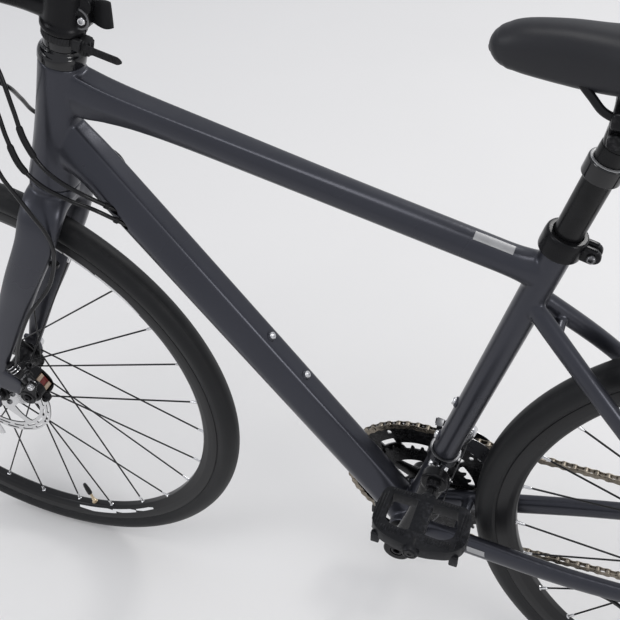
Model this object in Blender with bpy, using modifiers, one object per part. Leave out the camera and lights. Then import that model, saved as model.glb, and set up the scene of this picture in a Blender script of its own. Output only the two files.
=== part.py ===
"""A flat-bar road bicycle, built from named pieces that move on real joints.

Lengths in the constants are millimetres and the scene is in metres, +Z up. The design frame has the bottom
bracket above x = 0 with the frame's mid-plane at y = 0. The front wheel is towards -X, the drive side towards +Y.
"""

import math

import bmesh
import bpy
from mathutils import Matrix, Vector

MM = 0.001

# ---------------------------------------------------------------- driving dimensions (mm, degrees)
SHIFT_X, SHIFT_Y = 81.371, 3.194      # puts the origin below the middle of the whole bicycle
WHEEL_R = 343.0                   # 32-622 tyre
TYRE_W = 31.5
RIM_R, RIM_IN, RIM_HALF = 316.0, 293.0, 11.6
SPOKES, CROSSES, NIPPLE_R, SPOKE_R = 28, 3, 290.4, 1.0
BB_Z = 278.0
REAR_X, FRONT_X = 421.0, -584.0
HEAD_ANGLE, SEAT_ANGLE, RAKE = 71.0, 73.9, 46.5
STEER_REST = 2.2                  # the bars stand turned this far to the left
HEAD_LOW, HEAD_TOP = 396.5, 550.0  # along the steering axis, from the axle's height on it
SEAT_TUBE_R, POST_R, SEAT_TUBE_TOP = 15.0, 13.6, 484.0
CRANK, CRANK_ANGLE, PEDAL_TILT = 170.0, 75.0, -2.0
RING_TEETH, RING_R, RING_Y = 50, 101.1, 49.0
COG_TEETH, COG_R, COG_Y = 17, 34.6, 40.6
COGS = (12, 13, 14, 15, 17, 19, 21, 23)
COG_STEP, COG_FIRST_Y = 4.8, 59.8
PITCH = 12.7
PULLEY_R = 22.5
GUIDE = (418.0, 268.0)            # guide pulley, x and z
TENSION = (374.0, 228.0)          # tension pulley
ROTOR_R, ROTOR_T = 80.0, 1.8
FRONT_ROTOR_Y, REAR_ROTOR_Y = -37.5, -51.5
FRONT_SPOKE_0, REAR_SPOKE_0 = 31.0, 31.7   # direction of one left spoke's nipple, from straight back
BAR_HALF, BAR_R, STEM_LEN, STEM_S = 290.0, 11.1, 90.0, 606.0
BOTTLE_BOSSES = 64.0              # between the two bosses of a bottle cage
GAP = 0.3

# ---------------------------------------------------------------- scene
for old in list(bpy.data.objects):
    bpy.data.objects.remove(old, do_unlink=True)

scene_root = bpy.context.scene.collection
parts = bpy.data.collections.new("road_bike")
cutters = bpy.data.collections.new("cutters")
scene_root.children.link(parts)
scene_root.children.link(cutters)


def finish(name, rgb, roughness, metallic):
    found = bpy.data.materials.get(name)
    if found:
        return found
    made = bpy.data.materials.new(name)
    made.use_nodes = True
    shader = made.node_tree.nodes["Principled BSDF"]
    shader.inputs["Base Color"].default_value = (*rgb, 1)
    shader.inputs["Roughness"].default_value = roughness
    shader.inputs["Metallic"].default_value = metallic
    return made


PAINT = finish("matte_grey_paint", (0.045, 0.045, 0.052), 0.45, 0.3)
BLACK = finish("black_anodised", (0.012, 0.012, 0.013), 0.4, 0.6)
RUBBER = finish("rubber", (0.018, 0.018, 0.019), 0.8, 0.0)
PLASTIC = finish("black_plastic", (0.016, 0.016, 0.017), 0.55, 0.0)
STEEL = finish("bright_steel", (0.55, 0.55, 0.56), 0.25, 1.0)
CHAIN = finish("chain_steel", (0.30, 0.26, 0.20), 0.4, 1.0)
VINYL = finish("saddle_vinyl", (0.014, 0.014, 0.015), 0.6, 0.0)


def vec(p):
    return Vector((p[0] * MM, p[1] * MM, p[2] * MM))


def link(obj, coll=parts):
    coll.objects.link(obj)
    return obj


def baked(obj, keep_name=None):
    """The object as one plain mesh in world space, with doubles welded and its faces turned outwards."""
    bpy.context.view_layer.update()
    graph = bpy.context.evaluated_depsgraph_get()
    mesh = bpy.data.meshes.new_from_object(obj.evaluated_get(graph))
    mesh.transform(obj.matrix_world)
    name = keep_name or obj.name
    bpy.data.objects.remove(obj, do_unlink=True)
    work = bmesh.new()
    work.from_mesh(mesh)
    bmesh.ops.remove_doubles(work, verts=work.verts, dist=2e-6)
    bmesh.ops.dissolve_degenerate(work, edges=work.edges, dist=1e-7)
    bmesh.ops.recalc_face_normals(work, faces=work.faces)
    if work.calc_volume(signed=True) < 0:
        bmesh.ops.reverse_faces(work, faces=work.faces)
    work.to_mesh(mesh)
    work.free()
    mesh.materials.clear()
    return link(bpy.data.objects.new(name, mesh), cutters)


def frame_of(origin, axis, side=(0, 1, 0)):
    """A matrix with local Z along axis and local Y as near side as it can be."""
    z = Vector(axis).normalized()
    y = Vector(side)
    y = (y - z * y.dot(z))
    if y.length < 1e-6:
        y = Vector((1, 0, 0)) - z * z.x
    y.normalize()
    x = y.cross(z)
    m = Matrix((x, y, z)).transposed().to_4x4()
    m.translation = vec(origin)
    return m


def turned(profile, origin, axis, steps=14, closed=False, name="turned"):
    """A turned solid: profile is (radius, height) along the axis, a closed loop for a ring."""
    mesh = bpy.data.meshes.new(name)
    points = [(r * MM, 0, h * MM) for r, h in profile]
    edges = [(i, i + 1) for i in range(len(points) - 1)]
    if closed:
        edges.append((len(points) - 1, 0))
    mesh.from_pydata(points, edges, [])
    obj = link(bpy.data.objects.new(name, mesh), cutters)
    screw = obj.modifiers.new("Screw", "SCREW")
    screw.axis = "Z"
    screw.steps = screw.render_steps = steps
    screw.use_merge_vertices = True
    screw.merge_threshold = 1e-5
    obj.matrix_world = frame_of(origin, axis)
    return baked(obj)


def rod(a, b, radius, sides=8, end_radius=None, name="rod"):
    a, b = Vector(a), Vector(b)
    length = (b - a).length
    work = bmesh.new()
    bmesh.ops.create_cone(
        work, cap_ends=True, segments=sides, radius1=radius * MM,
        radius2=(radius if end_radius is None else end_radius) * MM, depth=length * MM,
    )
    mesh = bpy.data.meshes.new(name)
    work.to_mesh(mesh)
    work.free()
    obj = link(bpy.data.objects.new(name, mesh), cutters)
    obj.matrix_world = frame_of((a + b) / 2, b - a)
    return baked(obj)


def block(size, origin, axis=(0, 0, 1), side=(0, 1, 0), bevel=0.0, segments=1, name="block"):
    """A box of x, y, z size about origin, with local Z along axis and local Y along side."""
    work = bmesh.new()
    bmesh.ops.create_cube(work, size=1.0)
    for v in work.verts:
        v.co = Vector((v.co.x * size[0], v.co.y * size[1], v.co.z * size[2])) * MM
    mesh = bpy.data.meshes.new(name)
    work.to_mesh(mesh)
    work.free()
    obj = link(bpy.data.objects.new(name, mesh), cutters)
    if bevel:
        edge = obj.modifiers.new("Bevel", "BEVEL")
        edge.width = bevel * MM
        edge.segments = segments
    obj.matrix_world = frame_of(origin, axis, side)
    return baked(obj)


def plate(outline, thickness, origin, axis=(0, -1, 0), side=(0, 0, 1), holes=(), name="plate"):
    """A flat outline, extruded by thickness about its own plane. Its y runs along side."""
    curve = bpy.data.curves.new(name, "CURVE")
    curve.dimensions = "2D"
    curve.fill_mode = "BOTH"
    curve.extrude = thickness / 2 * MM
    for loop in (outline, *holes):
        line = curve.splines.new("POLY")
        line.points.add(len(loop) - 1)
        for point, (x, y) in zip(line.points, loop):
            point.co = (x * MM, y * MM, 0, 1)
        line.use_cyclic_u = True
    obj = link(bpy.data.objects.new(name, curve), cutters)
    obj.matrix_world = frame_of(origin, axis, side)
    return baked(obj)


def wire(points, radius, res=2, name="wire"):
    """A round wire through the points, in a curve with a bevel and filled caps."""
    curve = bpy.data.curves.new(name, "CURVE")
    curve.dimensions = "3D"
    curve.bevel_depth = radius * MM
    curve.bevel_resolution = res
    curve.use_fill_caps = True
    line = curve.splines.new("POLY")
    line.points.add(len(points) - 1)
    for point, p in zip(line.points, points):
        point.co = (*vec(p), 1)
    obj = link(bpy.data.objects.new(name, curve), cutters)
    return baked(obj)


def smooth_path(points, steps):
    """Catmull-Rom points through the given ones, evenly counted."""
    pts = [Vector(p) for p in points]
    pts = [pts[0] * 2 - pts[1], *pts, pts[-1] * 2 - pts[-2]]
    out = []
    spans = len(pts) - 3
    for k in range(steps + 1):
        t = k / steps * spans
        i = min(int(t), spans - 1)
        u = t - i
        a, b, c, d = pts[i:i + 4]
        out.append(0.5 * ((2 * b) + (c - a) * u + (2 * a - 5 * b + 4 * c - d) * u * u + (3 * b - a - 3 * c + d) * u ** 3))
    return out


def loft(sections, sides=16, name="loft"):
    """A skin over unlike oval sections: each is (centre, half width, half height, up, squareness)."""
    work = bmesh.new()
    rings = []
    centres = [Vector(s[0]) for s in sections]
    for i, (centre, a, b, up, square) in enumerate(sections):
        ahead = centres[min(i + 1, len(centres) - 1)] - centres[max(i - 1, 0)]
        ahead.normalize()
        v = Vector(up) - ahead * Vector(up).dot(ahead)
        v.normalize()
        u = v.cross(ahead)
        ring = []
        for k in range(sides):
            t = 2 * math.pi * (k + 0.5) / sides
            c, s = math.cos(t), math.sin(t)
            p = 2.0 / square
            x = a * math.copysign(abs(c) ** p, c)
            y = b * math.copysign(abs(s) ** p, s)
            ring.append(work.verts.new((Vector(centre) + u * x + v * y) * MM))
        rings.append(ring)
    for low, high in zip(rings, rings[1:]):
        for k in range(sides):
            j = (k + 1) % sides
            work.faces.new((low[k], low[j], high[j], high[k]))
    work.faces.new(rings[0][::-1])
    work.faces.new(rings[-1])
    bmesh.ops.recalc_face_normals(work, faces=work.faces)
    mesh = bpy.data.meshes.new(name)
    work.to_mesh(mesh)
    work.free()
    return baked(link(bpy.data.objects.new(name, mesh), cutters))


def combine(base, adds=(), cuts=()):
    """One solid: base joined with adds, then cut by cuts, with exact Booleans."""
    for kind, others in (("UNION", adds), ("DIFFERENCE", cuts)):
        for other in others:
            mod = base.modifiers.new(kind.title(), "BOOLEAN")
            mod.operation = kind
            mod.solver = "EXACT"
            mod.object = other
    done = baked(base)
    for other in (*adds, *cuts):
        bpy.data.objects.remove(other, do_unlink=True)
    return done


# ---------------------------------------------------------------- pivots
def pivot(name, origin, axis=(0, 0, 1), side=(0, 1, 0), parent=None):
    empty = link(bpy.data.objects.new(name, None))
    empty.empty_display_size = 0.03
    rest = frame_of(origin, axis, side)
    empty["rest"] = [c for row in rest for c in row]
    empty.parent = parent
    if parent:
        empty.matrix_basis = rest_of(parent).inverted() @ rest
    else:
        empty.matrix_basis = rest
    return empty


def rest_of(empty):
    flat = list(empty["rest"])
    return Matrix([flat[i:i + 4] for i in (0, 4, 8, 12)])


def place(obj, name, parent, material):
    """Names the piece, hangs it on its pivot with its origin there, and gives it its finish."""
    work = bmesh.new()
    work.from_mesh(obj.data)
    bmesh.ops.dissolve_limit(work, angle_limit=math.radians(1.2), verts=work.verts, edges=work.edges)
    bmesh.ops.triangulate(work, faces=work.faces)
    work.to_mesh(obj.data)
    work.free()
    obj.data.transform(rest_of(parent).inverted() @ obj.matrix_world)
    obj.matrix_world = Matrix()
    cutters.objects.unlink(obj)
    link(obj)
    obj.name = obj.data.name = name
    obj.parent = parent
    obj.matrix_basis = Matrix()
    obj.data.materials.append(material)
    obj.data.shade_smooth()
    obj.data.set_sharp_from_angle(angle=math.radians(35))
    return obj


A = math.radians(HEAD_ANGLE)
B = math.radians(SEAT_ANGLE)
STEER_AXIS = Vector((math.cos(A), 0, math.sin(A)))
STEER_BACK = Vector((math.sin(A), 0, -math.cos(A)))
STEER_0 = Vector((FRONT_X, 0, WHEEL_R)) + STEER_BACK * RAKE
SEAT_AXIS = Vector((math.cos(B), 0, math.sin(B)))
SEAT_BACK = Vector((math.sin(B), 0, -math.cos(B)))
BB = Vector((0, 0, BB_Z))


def st(back, y, s):
    """A point by its distance behind the steering axis, its side, and its height along that axis."""
    return STEER_0 + STEER_BACK * back + Vector((0, y, 0)) + STEER_AXIS * s


def se(back, y, s):
    """The same for the seat tube's axis."""
    return BB + SEAT_BACK * back + Vector((0, y, 0)) + SEAT_AXIS * s


root = pivot("road_bike_root", (0, 0, 0))
steering = pivot("steering_pivot", STEER_0, STEER_AXIS, parent=root)
front_wheel = pivot("front_wheel_pivot", (FRONT_X, 0, WHEEL_R), parent=steering)
rear_wheel = pivot("rear_wheel_pivot", (REAR_X, 0, WHEEL_R), parent=root)
crank_set = pivot("crank_pivot", BB, parent=root)

# ---------------------------------------------------------------- wheels
def tyre(centre):
    half, bulge = TYRE_W / 2, WHEEL_R - TYRE_W / 2
    profile = [(307.4, -6.4), (307.4, -9.2), (316.6, -9.4)]
    for degrees in (-130, -80, -38, 0, 38, 80, 130):
        t = math.radians(degrees)
        profile.append((bulge + half * math.cos(t), half * math.sin(t)))
    profile += [(316.6, 9.4), (307.4, 9.2), (307.4, 6.4), (325.0, 11.6), (338.5, 0.0), (325.0, -11.6)]
    return turned(profile, centre, (0, 1, 0), steps=28, closed=True)


def rim(centre):
    h = RIM_HALF
    profile = [
        (RIM_R, -h), (RIM_R, -h + 1.7), (306.0, -h + 1.8), (306.0, h - 1.8), (RIM_R, h - 1.7), (RIM_R, h),
        (302.0, h - 0.6), (RIM_IN, 4.5), (RIM_IN, -4.5), (302.0, -h + 0.6),
    ]
    return turned(profile, centre, (0, 1, 0), steps=28, closed=True)


def spokes(centre, flange_r, flange_y, first, sense):
    """One side's spokes. Trailing and leading spokes cross on one ruled surface, where they are joined."""
    step = 2 * math.pi / (SPOKES // 2)
    c = Vector(centre)
    rods = []
    side = math.copysign(1, flange_y)
    for k in range(SPOKES // 2):
        at = first + k * step
        lean = CROSSES * step * (sense if k % 2 == 0 else -sense)
        layer = 0.45 if k % 2 else -0.45
        rim_end = c + Vector((NIPPLE_R * math.cos(at), side * 1.5 + layer, NIPPLE_R * math.sin(at)))
        hub_end = c + Vector((flange_r * math.cos(at + lean), flange_y + layer, flange_r * math.sin(at + lean)))
        rods.append(rod(hub_end, rim_end, SPOKE_R, 3))
    return combine(rods[0], rods[1:])


def hub(centre, left, right, shell_r, ends, rotor_y):
    """A turned hub shell with two flanges and the rotor's seat at the left."""
    low, high = ends
    bore = 6.6
    profile = [
        (bore, low), (12.0, low), (12.0, rotor_y - 4), (17.0, rotor_y - 4), (17.0, rotor_y + 1.2), (20.0, rotor_y + 1.2), (20.0, rotor_y + 4),
        (15.0, left - 4), (26.0, left - 1.6), (26.0, left + 1.6), (shell_r + 2, left + 6), (shell_r, left + 14), (shell_r, right - 14),
        (shell_r + 2, right - 6), (26.0, right - 1.6), (26.0, right + 1.6), (14.0, right + 3), (12.0, high), (bore, high),
    ]
    return turned(profile, centre, (0, 1, 0), steps=12, closed=True)


def rotor(centre, y):
    """A brake disc with a six-armed spider, one plate with its windows cut through."""
    steps = 28
    ring = [(ROTOR_R * math.cos(2 * math.pi * k / steps), ROTOR_R * math.sin(2 * math.pi * k / steps)) for k in range(steps)]
    hole = [(17.5 * math.cos(2 * math.pi * k / 16), 17.5 * math.sin(2 * math.pi * k / 16)) for k in range(16)]
    windows = []
    for arm in range(6):
        start = 2 * math.pi * arm / 6
        loop = []
        for k in range(4):
            t = start + math.radians(7 + 46 * k / 3)
            loop.append((63 * math.cos(t), 63 * math.sin(t)))
        for k in range(3):
            t = start + math.radians(31 - 20 * k)
            loop.append((31 * math.cos(t), 31 * math.sin(t)))
        windows.append(loop)
    at = Vector(centre) + Vector((0, y, 0))
    return plate(ring, ROTOR_T, at, holes=(hole, *windows))


def skewer(centre, half, plate_t, slot_r):
    """The axle with its lock nuts and the quick-release rod: a bush at the left end and a nut at the right."""
    outer = half + GAP + plate_t
    profile = [
        (0, -outer - 4.5), (7.5, -outer - 4.5), (8.5, -outer - GAP), (slot_r - 0.4, -outer - GAP), (slot_r - 0.4, -half), (9.5, -half), (9.5, -half + 3.1),
        (6.2, -half + 3.1), (6.2, half - 3.1), (9.5, half - 3.1), (9.5, half), (slot_r - 0.4, half), (slot_r - 0.4, outer + GAP), (9.0, outer + GAP), (7.5, outer + 12), (0, outer + 12),
    ]
    return turned(profile, centre, (0, 1, 0), steps=10)


def qr_lever(centre, outer, direction):
    """The quick-release lever: a cam barrel across the left end and a flat curved handle."""
    c = Vector(centre) - Vector((0, outer + 11.5, 0))
    d = Vector(direction).normalized()
    across = d.cross(Vector((0, 1, 0)))
    barrel = rod(c - across * 7, c + across * 7, 6.5, 12)
    handle = loft([
        (c + d * 2 - Vector((0, 0.5, 0)), 5.5, 4.0, (0, 1, 0), 2.6),
        (c + d * 22 - Vector((0, 1.5, 0)), 6.5, 2.6, (0, 1, 0), 2.6),
        (c + d * 42 - Vector((0, 1.0, 0)), 7.5, 2.4, (0, 1, 0), 2.6),
        (c + d * 55 + Vector((0, 0.5, 0)), 5.0, 2.0, (0, 1, 0), 2.6),
    ], 10)
    return combine(barrel, [handle]), c, across


F_C, R_C = (FRONT_X, 0, WHEEL_R), (REAR_X, 0, WHEEL_R)
for tag, centre, wheel in (("front", F_C, front_wheel), ("rear", R_C, rear_wheel)):
    place(tyre(centre), tag + "_tyre", wheel, RUBBER)
    place(rim(centre), tag + "_rim", wheel, BLACK)

HALF_STEP = 180.0 / (SPOKES // 2)
place(spokes(F_C, 22.5, -25.0, math.radians(FRONT_SPOKE_0), 1), "front_spokes_left", front_wheel, BLACK)
place(spokes(F_C, 22.5, 31.5, math.radians(FRONT_SPOKE_0 - HALF_STEP), -1), "front_spokes_right", front_wheel, BLACK)
place(spokes(R_C, 22.5, -37.4, math.radians(REAR_SPOKE_0), 1), "rear_spokes_left", rear_wheel, BLACK)
place(spokes(R_C, 22.5, 14.1, math.radians(REAR_SPOKE_0 - HALF_STEP), -1), "rear_spokes_right", rear_wheel, BLACK)
place(hub(F_C, -21.0, 36.0, 13.0, (-46.5, 46.5), FRONT_ROTOR_Y), "front_hub", front_wheel, BLACK)
place(hub(R_C, -33.0, 19.0, 16.0, (-63.5, 24.2), REAR_ROTOR_Y), "rear_hub", rear_wheel, BLACK)
place(rotor(F_C, FRONT_ROTOR_Y), "front_rotor", front_wheel, STEEL)
place(rotor(R_C, REAR_ROTOR_Y), "rear_rotor", rear_wheel, STEEL)

# ---------------------------------------------------------------- frame
# Where the cables pass the frame's wall: two ports at the left, one at the right, three under the bottom bracket.
CABLE_PORTS = [
    ((-342, -32, 706), (-318, -14, 678)),
    ((-334, -32, 689), (-310, -14, 661)),
    ((-342, 32, 706), (-318, 14, 678)),
    ((-47, -13, 322), (-40, -13, 270)),
    ((-47, 0, 322), (-40, 0, 270)),
    ((-47, 13, 322), (-40, 13, 270)),
]


def dropout(side):
    """A flat rear dropout with its axle slot open downwards."""
    outline = [(-34, -12), (-30, 8), (-22, 26), (-6, 34), (10, 24), (15, 8), (14, -6), (10, -20), (5.6, -22), (5.6, 0)]
    outline += [(5.6 * math.cos(t), 5.6 * math.sin(t)) for t in (math.radians(a) for a in (45, 90, 135))]
    outline += [(-5.6, 0), (-5.6, -20), (-14, -22)]
    if side > 0:
        outline = [(-34, -12), (-30, 8), (-22, 26), (-6, 34), (10, 24), (15, 8), (20, -8), (24, -24), (21, -35), (13, -38), (7, -32), (5.6, -20), (5.6, 0)]
        outline += [(5.6 * math.cos(t), 5.6 * math.sin(t)) for t in (math.radians(a) for a in (45, 90, 135))]
        outline += [(-5.6, 0), (-5.6, -20), (-14, -22)]
    at = Vector((REAR_X, side * 71.0, WHEEL_R))
    made = plate(outline, 6.4, at, axis=(0, -1, 0), side=(0, 0, 1))
    return made


def chainstay(side):
    up = (0, 0, 1)
    return loft([
        ((4, side * 21, 276), 9, 15, up, 2.4),
        ((40, side * 27, 283), 9, 15, up, 2.4),
        ((110, side * 37.5, 291), 9, 14.5, up, 2.3),
        ((200, side * 51, 303), 9, 13, up, 2.2),
        ((300, side * 61, 320), 8.5, 11.5, up, 2.1),
        ((370, side * 68, 336), 6.5, 10, up, 2.1),
        ((398, side * 70.5, 341), 4.2, 9, up, 2.4),
    ], 8)


def seatstay(side):
    up = (0, 0, 1)
    return loft([
        ((114, side * 6.5, 660), 6.5, 8.5, up, 2.2),
        ((130, side * 15, 645), 8.5, 10, up, 2.2),
        ((205, side * 41, 572), 8, 9.5, up, 2.2),
        ((303, side * 56.5, 464), 7.5, 9, up, 2.1),
        ((380, side * 67, 386), 6.5, 8, up, 2.1),
        ((408, side * 70.5, 362), 4.2, 7.5, up, 2.4),
    ], 8)


up_tt = (0.2517, 0, 0.9678)
top_tube = loft([
    ((-374, 0, 818), 17, 27, up_tt, 2.6),
    ((-346, 0, 810.5), 17, 25, up_tt, 2.6),
    ((-318, 0, 805), 17, 20, up_tt, 2.5),
    ((-280, 0, 797), 16.5, 16.5, up_tt, 2.4),
    ((-220, 0, 782.5), 16, 15.3, up_tt, 2.2),
    ((50, 0, 712.5), 15.5, 15.3, up_tt, 2.1),
    ((84, 0, 703.6), 15.2, 15.4, up_tt, 2.1),
    ((102, 0, 699.1), 15.2, 17.4, up_tt, 2.1),
    ((119, 0, 694.8), 14.4, 21.5, up_tt, 2.1),
], 12)
up_dt = (0.791, 0, 0.612)
down_tube = loft([
    ((-400, 0, 762), 19, 34, up_dt, 2.4),
    ((-378, 0, 748), 21, 30, up_dt, 2.3),
    ((-352, 0, 725), 22.5, 26, up_dt, 2.2),
    ((-310, 0, 673), 23.5, 24, up_dt, 2.2),
    ((-50, 0, 336.7), 24, 23, up_dt, 2.2),
    ((-4, 0, 277), 26, 20, up_dt, 2.4),
], 12)
seat_tube = rod(se(0, 0, 4), se(0, 0, SEAT_TUBE_TOP - 2), SEAT_TUBE_R, 16)
head_tube = turned([
    (0, HEAD_LOW), (27.8, HEAD_LOW), (27.8, HEAD_LOW + 6), (26.4, HEAD_LOW + 22), (24.2, HEAD_LOW + 60), (23.0, HEAD_LOW + 100), (23.0, HEAD_TOP), (0, HEAD_TOP),
], STEER_0, STEER_AXIS, 14)
shell = rod((0, -34, BB_Z), (0, 34, BB_Z), 20.5, 16)
bridge_low = rod((66, -33, 292), (66, 33, 292), 7.0, 10)
bridge_top = rod((140, -22, 631), (140, 22, 631), 6.0, 10)
# Flat-topped bottle bosses: two on the down tube's upper side and two on the seat tube's front.
DT_UP = Vector((0.791, 0, 0.612)).normalized()
DT_DOWN = Vector((300, 0, -388)).normalized()
boss_feet = [Vector((-350, 0, 724.7)) + DT_DOWN * (264.0 + BOTTLE_BOSSES * k) for k in range(2)]
bosses = [rod(p + DT_UP * 18, p + DT_UP * 25.0, 6.0, 10) for p in boss_feet]
bosses += [rod(se(-11, 0, 157 + BOTTLE_BOSSES * k), se(-16.6, 0, 157 + BOTTLE_BOSSES * k), 6.0, 10) for k in range(2)]
mount_pad = block((46, 8.0, 14), (352, -67.2, 347), axis=(-0.16, 0, 0.987))
frame = combine(
    down_tube,
    [top_tube, seat_tube, head_tube, shell, chainstay(-1), chainstay(1), bridge_low, seatstay(-1), seatstay(1), bridge_top, dropout(-1), dropout(1), mount_pad, *bosses],
    [
        loft([
            ((-396, 0, 758), 16.5, 30, up_dt, 2.4),
            ((-378, 0, 748), 18.6, 27.5, up_dt, 2.3),
            ((-352, 0, 725), 20.2, 23.6, up_dt, 2.2),
            ((-310, 0, 673), 21.2, 21.6, up_dt, 2.2),
            ((-34, 0, 316), 21.6, 20.6, up_dt, 2.2),
        ], 10),
        *[rod(a, b, 5.2, 8) for a, b in CABLE_PORTS],
        rod(st(0, 0, HEAD_LOW - 5), st(0, 0, HEAD_TOP + 5), 16.5, 12),
        rod(se(0, 0, 215), se(0, 0, SEAT_TUBE_TOP + 8), POST_R + 0.4, 16),
        rod((0, -40, BB_Z), (0, 40, BB_Z), 17.2, 16),
    ],
)
place(frame, "frame", root, PAINT)

collar = turned([(SEAT_TUBE_R + 0.4, 464), (19.6, 464), (20.4, 467), (20.4, 481), (19.0, 486), (14.6, 486), (14.6, SEAT_TUBE_TOP + 0.4), (SEAT_TUBE_R + 0.4, SEAT_TUBE_TOP + 0.4)], BB, SEAT_AXIS, 16, closed=True)
ears = block((13, 17, 15), se(24.5, 0, 474.5), axis=SEAT_AXIS, bevel=2.5)
bolt = rod(se(25.5, -12.5, 474.5), se(25.5, 12.5, 474.5), 4.2, 12)
inside = turned([(0, 455), (SEAT_TUBE_R + 0.4, 455), (SEAT_TUBE_R + 0.4, SEAT_TUBE_TOP + 0.4), (14.6, SEAT_TUBE_TOP + 0.4), (14.6, 495), (0, 495)], BB, SEAT_AXIS, 16)
place(combine(collar, [ears, bolt], [inside]), "seat_collar", root, BLACK)

bottom_bracket = turned([(9.0, -36), (15.5, -36), (19.5, -36), (19.5, -34.3), (16.3, -34.3), (16.3, 34.3), (19.5, 34.3), (19.5, 36), (9.0, 36)], BB, (0, 1, 0), 14, closed=True)
place(bottom_bracket, "bottom_bracket", root, BLACK)

# ---------------------------------------------------------------- crankset
def polar(r, degrees):
    return Vector((r * math.cos(math.radians(degrees)), 0, r * math.sin(math.radians(degrees))))


def crank_arm(side, degrees):
    d = polar(1, degrees)
    n = Vector((0, 1, 0))
    y0, y1 = side * 58.5, side * 69.5
    arm = loft([
        (BB + d * -6 + n * (side * 57), 14.5, 8.5, n, 2.6),
        (BB + d * 25 + n * (side * 59), 13.0, 7.5, n, 2.8),
        (BB + d * 85 + n * (side * 64), 11.0, 6.5, n, 3.0),
        (BB + d * 150 + n * (side * 69), 11.0, 6.5, n, 3.0),
        (BB + d * (CRANK + 8) + n * (side * 69.5), 9.5, 6.0, n, 2.6),
    ], 12)
    hub_boss = rod(BB + n * (side * 47), BB + n * (side * 66), 17.0, 14)
    eye = rod(BB + d * CRANK + n * (side * 62.5), BB + d * CRANK + n * (side * 76.0), 13.0, 12)
    axle = rod(BB + d * CRANK + n * (side * 74), BB + d * CRANK + n * (side * 84), 8.0, 12)
    pin = rod(BB + d * CRANK + n * (side * 82), BB + d * CRANK + n * (side * 152), 5.0, 12)
    return arm, [hub_boss, eye, axle, pin]


arm, extra = crank_arm(-1, CRANK_ANGLE)
spindle_hole = rod((0, -70, BB_Z), (0, -40, BB_Z), 8.8, 16)
place(combine(arm, extra, [spindle_hole]), "crank_left", crank_set, BLACK)

arm, extra = crank_arm(1, CRANK_ANGLE + 180)
spindle = rod((0, -60, BB_Z), (0, 60, BB_Z), 8.5, 16)
spider = []
for k in range(5):
    t = CRANK_ANGLE + 180 + 36 + 72 * k
    d = polar(1, t)
    spider.append(loft([
        (BB + d * 8 + Vector((0, 52, 0)), 11, 4.5, (0, 1, 0), 3.0),
        (BB + d * 57 + Vector((0, 44.9, 0)), 6.5, 2.2, (0, 1, 0), 3.0),
    ], 8))
inner_outline = [(71.5 * math.cos(2 * math.pi * k / 24), 71.5 * math.sin(2 * math.pi * k / 24)) for k in range(24)]
inner_hole = [(46 * math.cos(2 * math.pi * k / 15), 46 * math.sin(2 * math.pi * k / 15)) for k in range(15)]
inner_ring = plate(inner_outline, 2.0, BB + Vector((0, 42.4, 0)), holes=(inner_hole,))
place(combine(arm, [*extra, spindle, *spider, inner_ring]), "crank_right", crank_set, BLACK)

outline = []
for k in range(RING_TEETH):
    for r, off in ((RING_R - 3.4, 0.0), (RING_R + 3.4, 0.5)):
        t = 2 * math.pi * (k + off) / RING_TEETH
        outline.append((r * math.cos(t), r * math.sin(t)))
ring_hole = [(53 * math.cos(2 * math.pi * k / 20), 53 * math.sin(2 * math.pi * k / 20)) for k in range(20)]
ring_windows = []
for k in range(5):
    start = CRANK_ANGLE + 180 + 72 * k
    loop = [((87) * math.cos(math.radians(start + a)), (87) * math.sin(math.radians(start + a))) for a in (-20, -7, 7, 20)]
    loop += [((67) * math.cos(math.radians(start + a)), (67) * math.sin(math.radians(start + a))) for a in (18, 6, -6, -18)]
    ring_windows.append(loop)
place(plate(outline, 2.0, BB + Vector((0, RING_Y, 0)), holes=(ring_hole, *ring_windows)), "chainring_outer", crank_set, BLACK)


def pedal(side, degrees):
    """A resin platform pedal with two windows; its barrel is bored for the spindle from the inner end."""
    c = BB + polar(CRANK, degrees)
    n = Vector((0, 1, 0))
    shape = [(-41, 99), (41, 99), (48, 106), (52, 128), (50, 146), (38, 156), (14, 163), (-12, 163), (-34, 156), (-46, 146), (-48, 128), (-45, 106)]
    win_a = [(-36, 109), (-10, 109), (-10, 142), (-33, 142)]
    win_b = [(10, 109), (33, 109), (36, 142), (13, 142)]
    turn = math.radians(PEDAL_TILT)
    x_axis = Vector((math.cos(turn), 0, math.sin(turn)))
    z_axis = Vector((-math.sin(turn), 0, math.cos(turn)))
    if side > 0:
        body = plate(shape, 15.0, c, axis=z_axis, side=(0, 1, 0), holes=(win_a, win_b))
    else:
        flip = [(x, -y) for x, y in shape]
        body = plate(flip, 15.0, c, axis=z_axis, side=(0, 1, 0), holes=([(x, -y) for x, y in win_a], [(x, -y) for x, y in win_b]))
    barrel = rod(c + n * (side * 91), c + n * (side * 168), 9.2, 14)
    bore = rod(c + n * (side * 88), c + n * (side * 156), 5.6, 12)
    mouth = rod(c + n * (side * 88), c + n * (side * 93), 8.0, 12)
    return combine(body, [barrel], [bore, mouth])


pedal_l = pivot("pedal_left_pivot", BB + polar(CRANK, CRANK_ANGLE), parent=crank_set)
pedal_r = pivot("pedal_right_pivot", BB + polar(CRANK, CRANK_ANGLE + 180), parent=crank_set)
place(pedal(-1, CRANK_ANGLE), "pedal_left", pedal_l, PLASTIC)
place(pedal(1, CRANK_ANGLE + 180), "pedal_right", pedal_r, PLASTIC)

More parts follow.
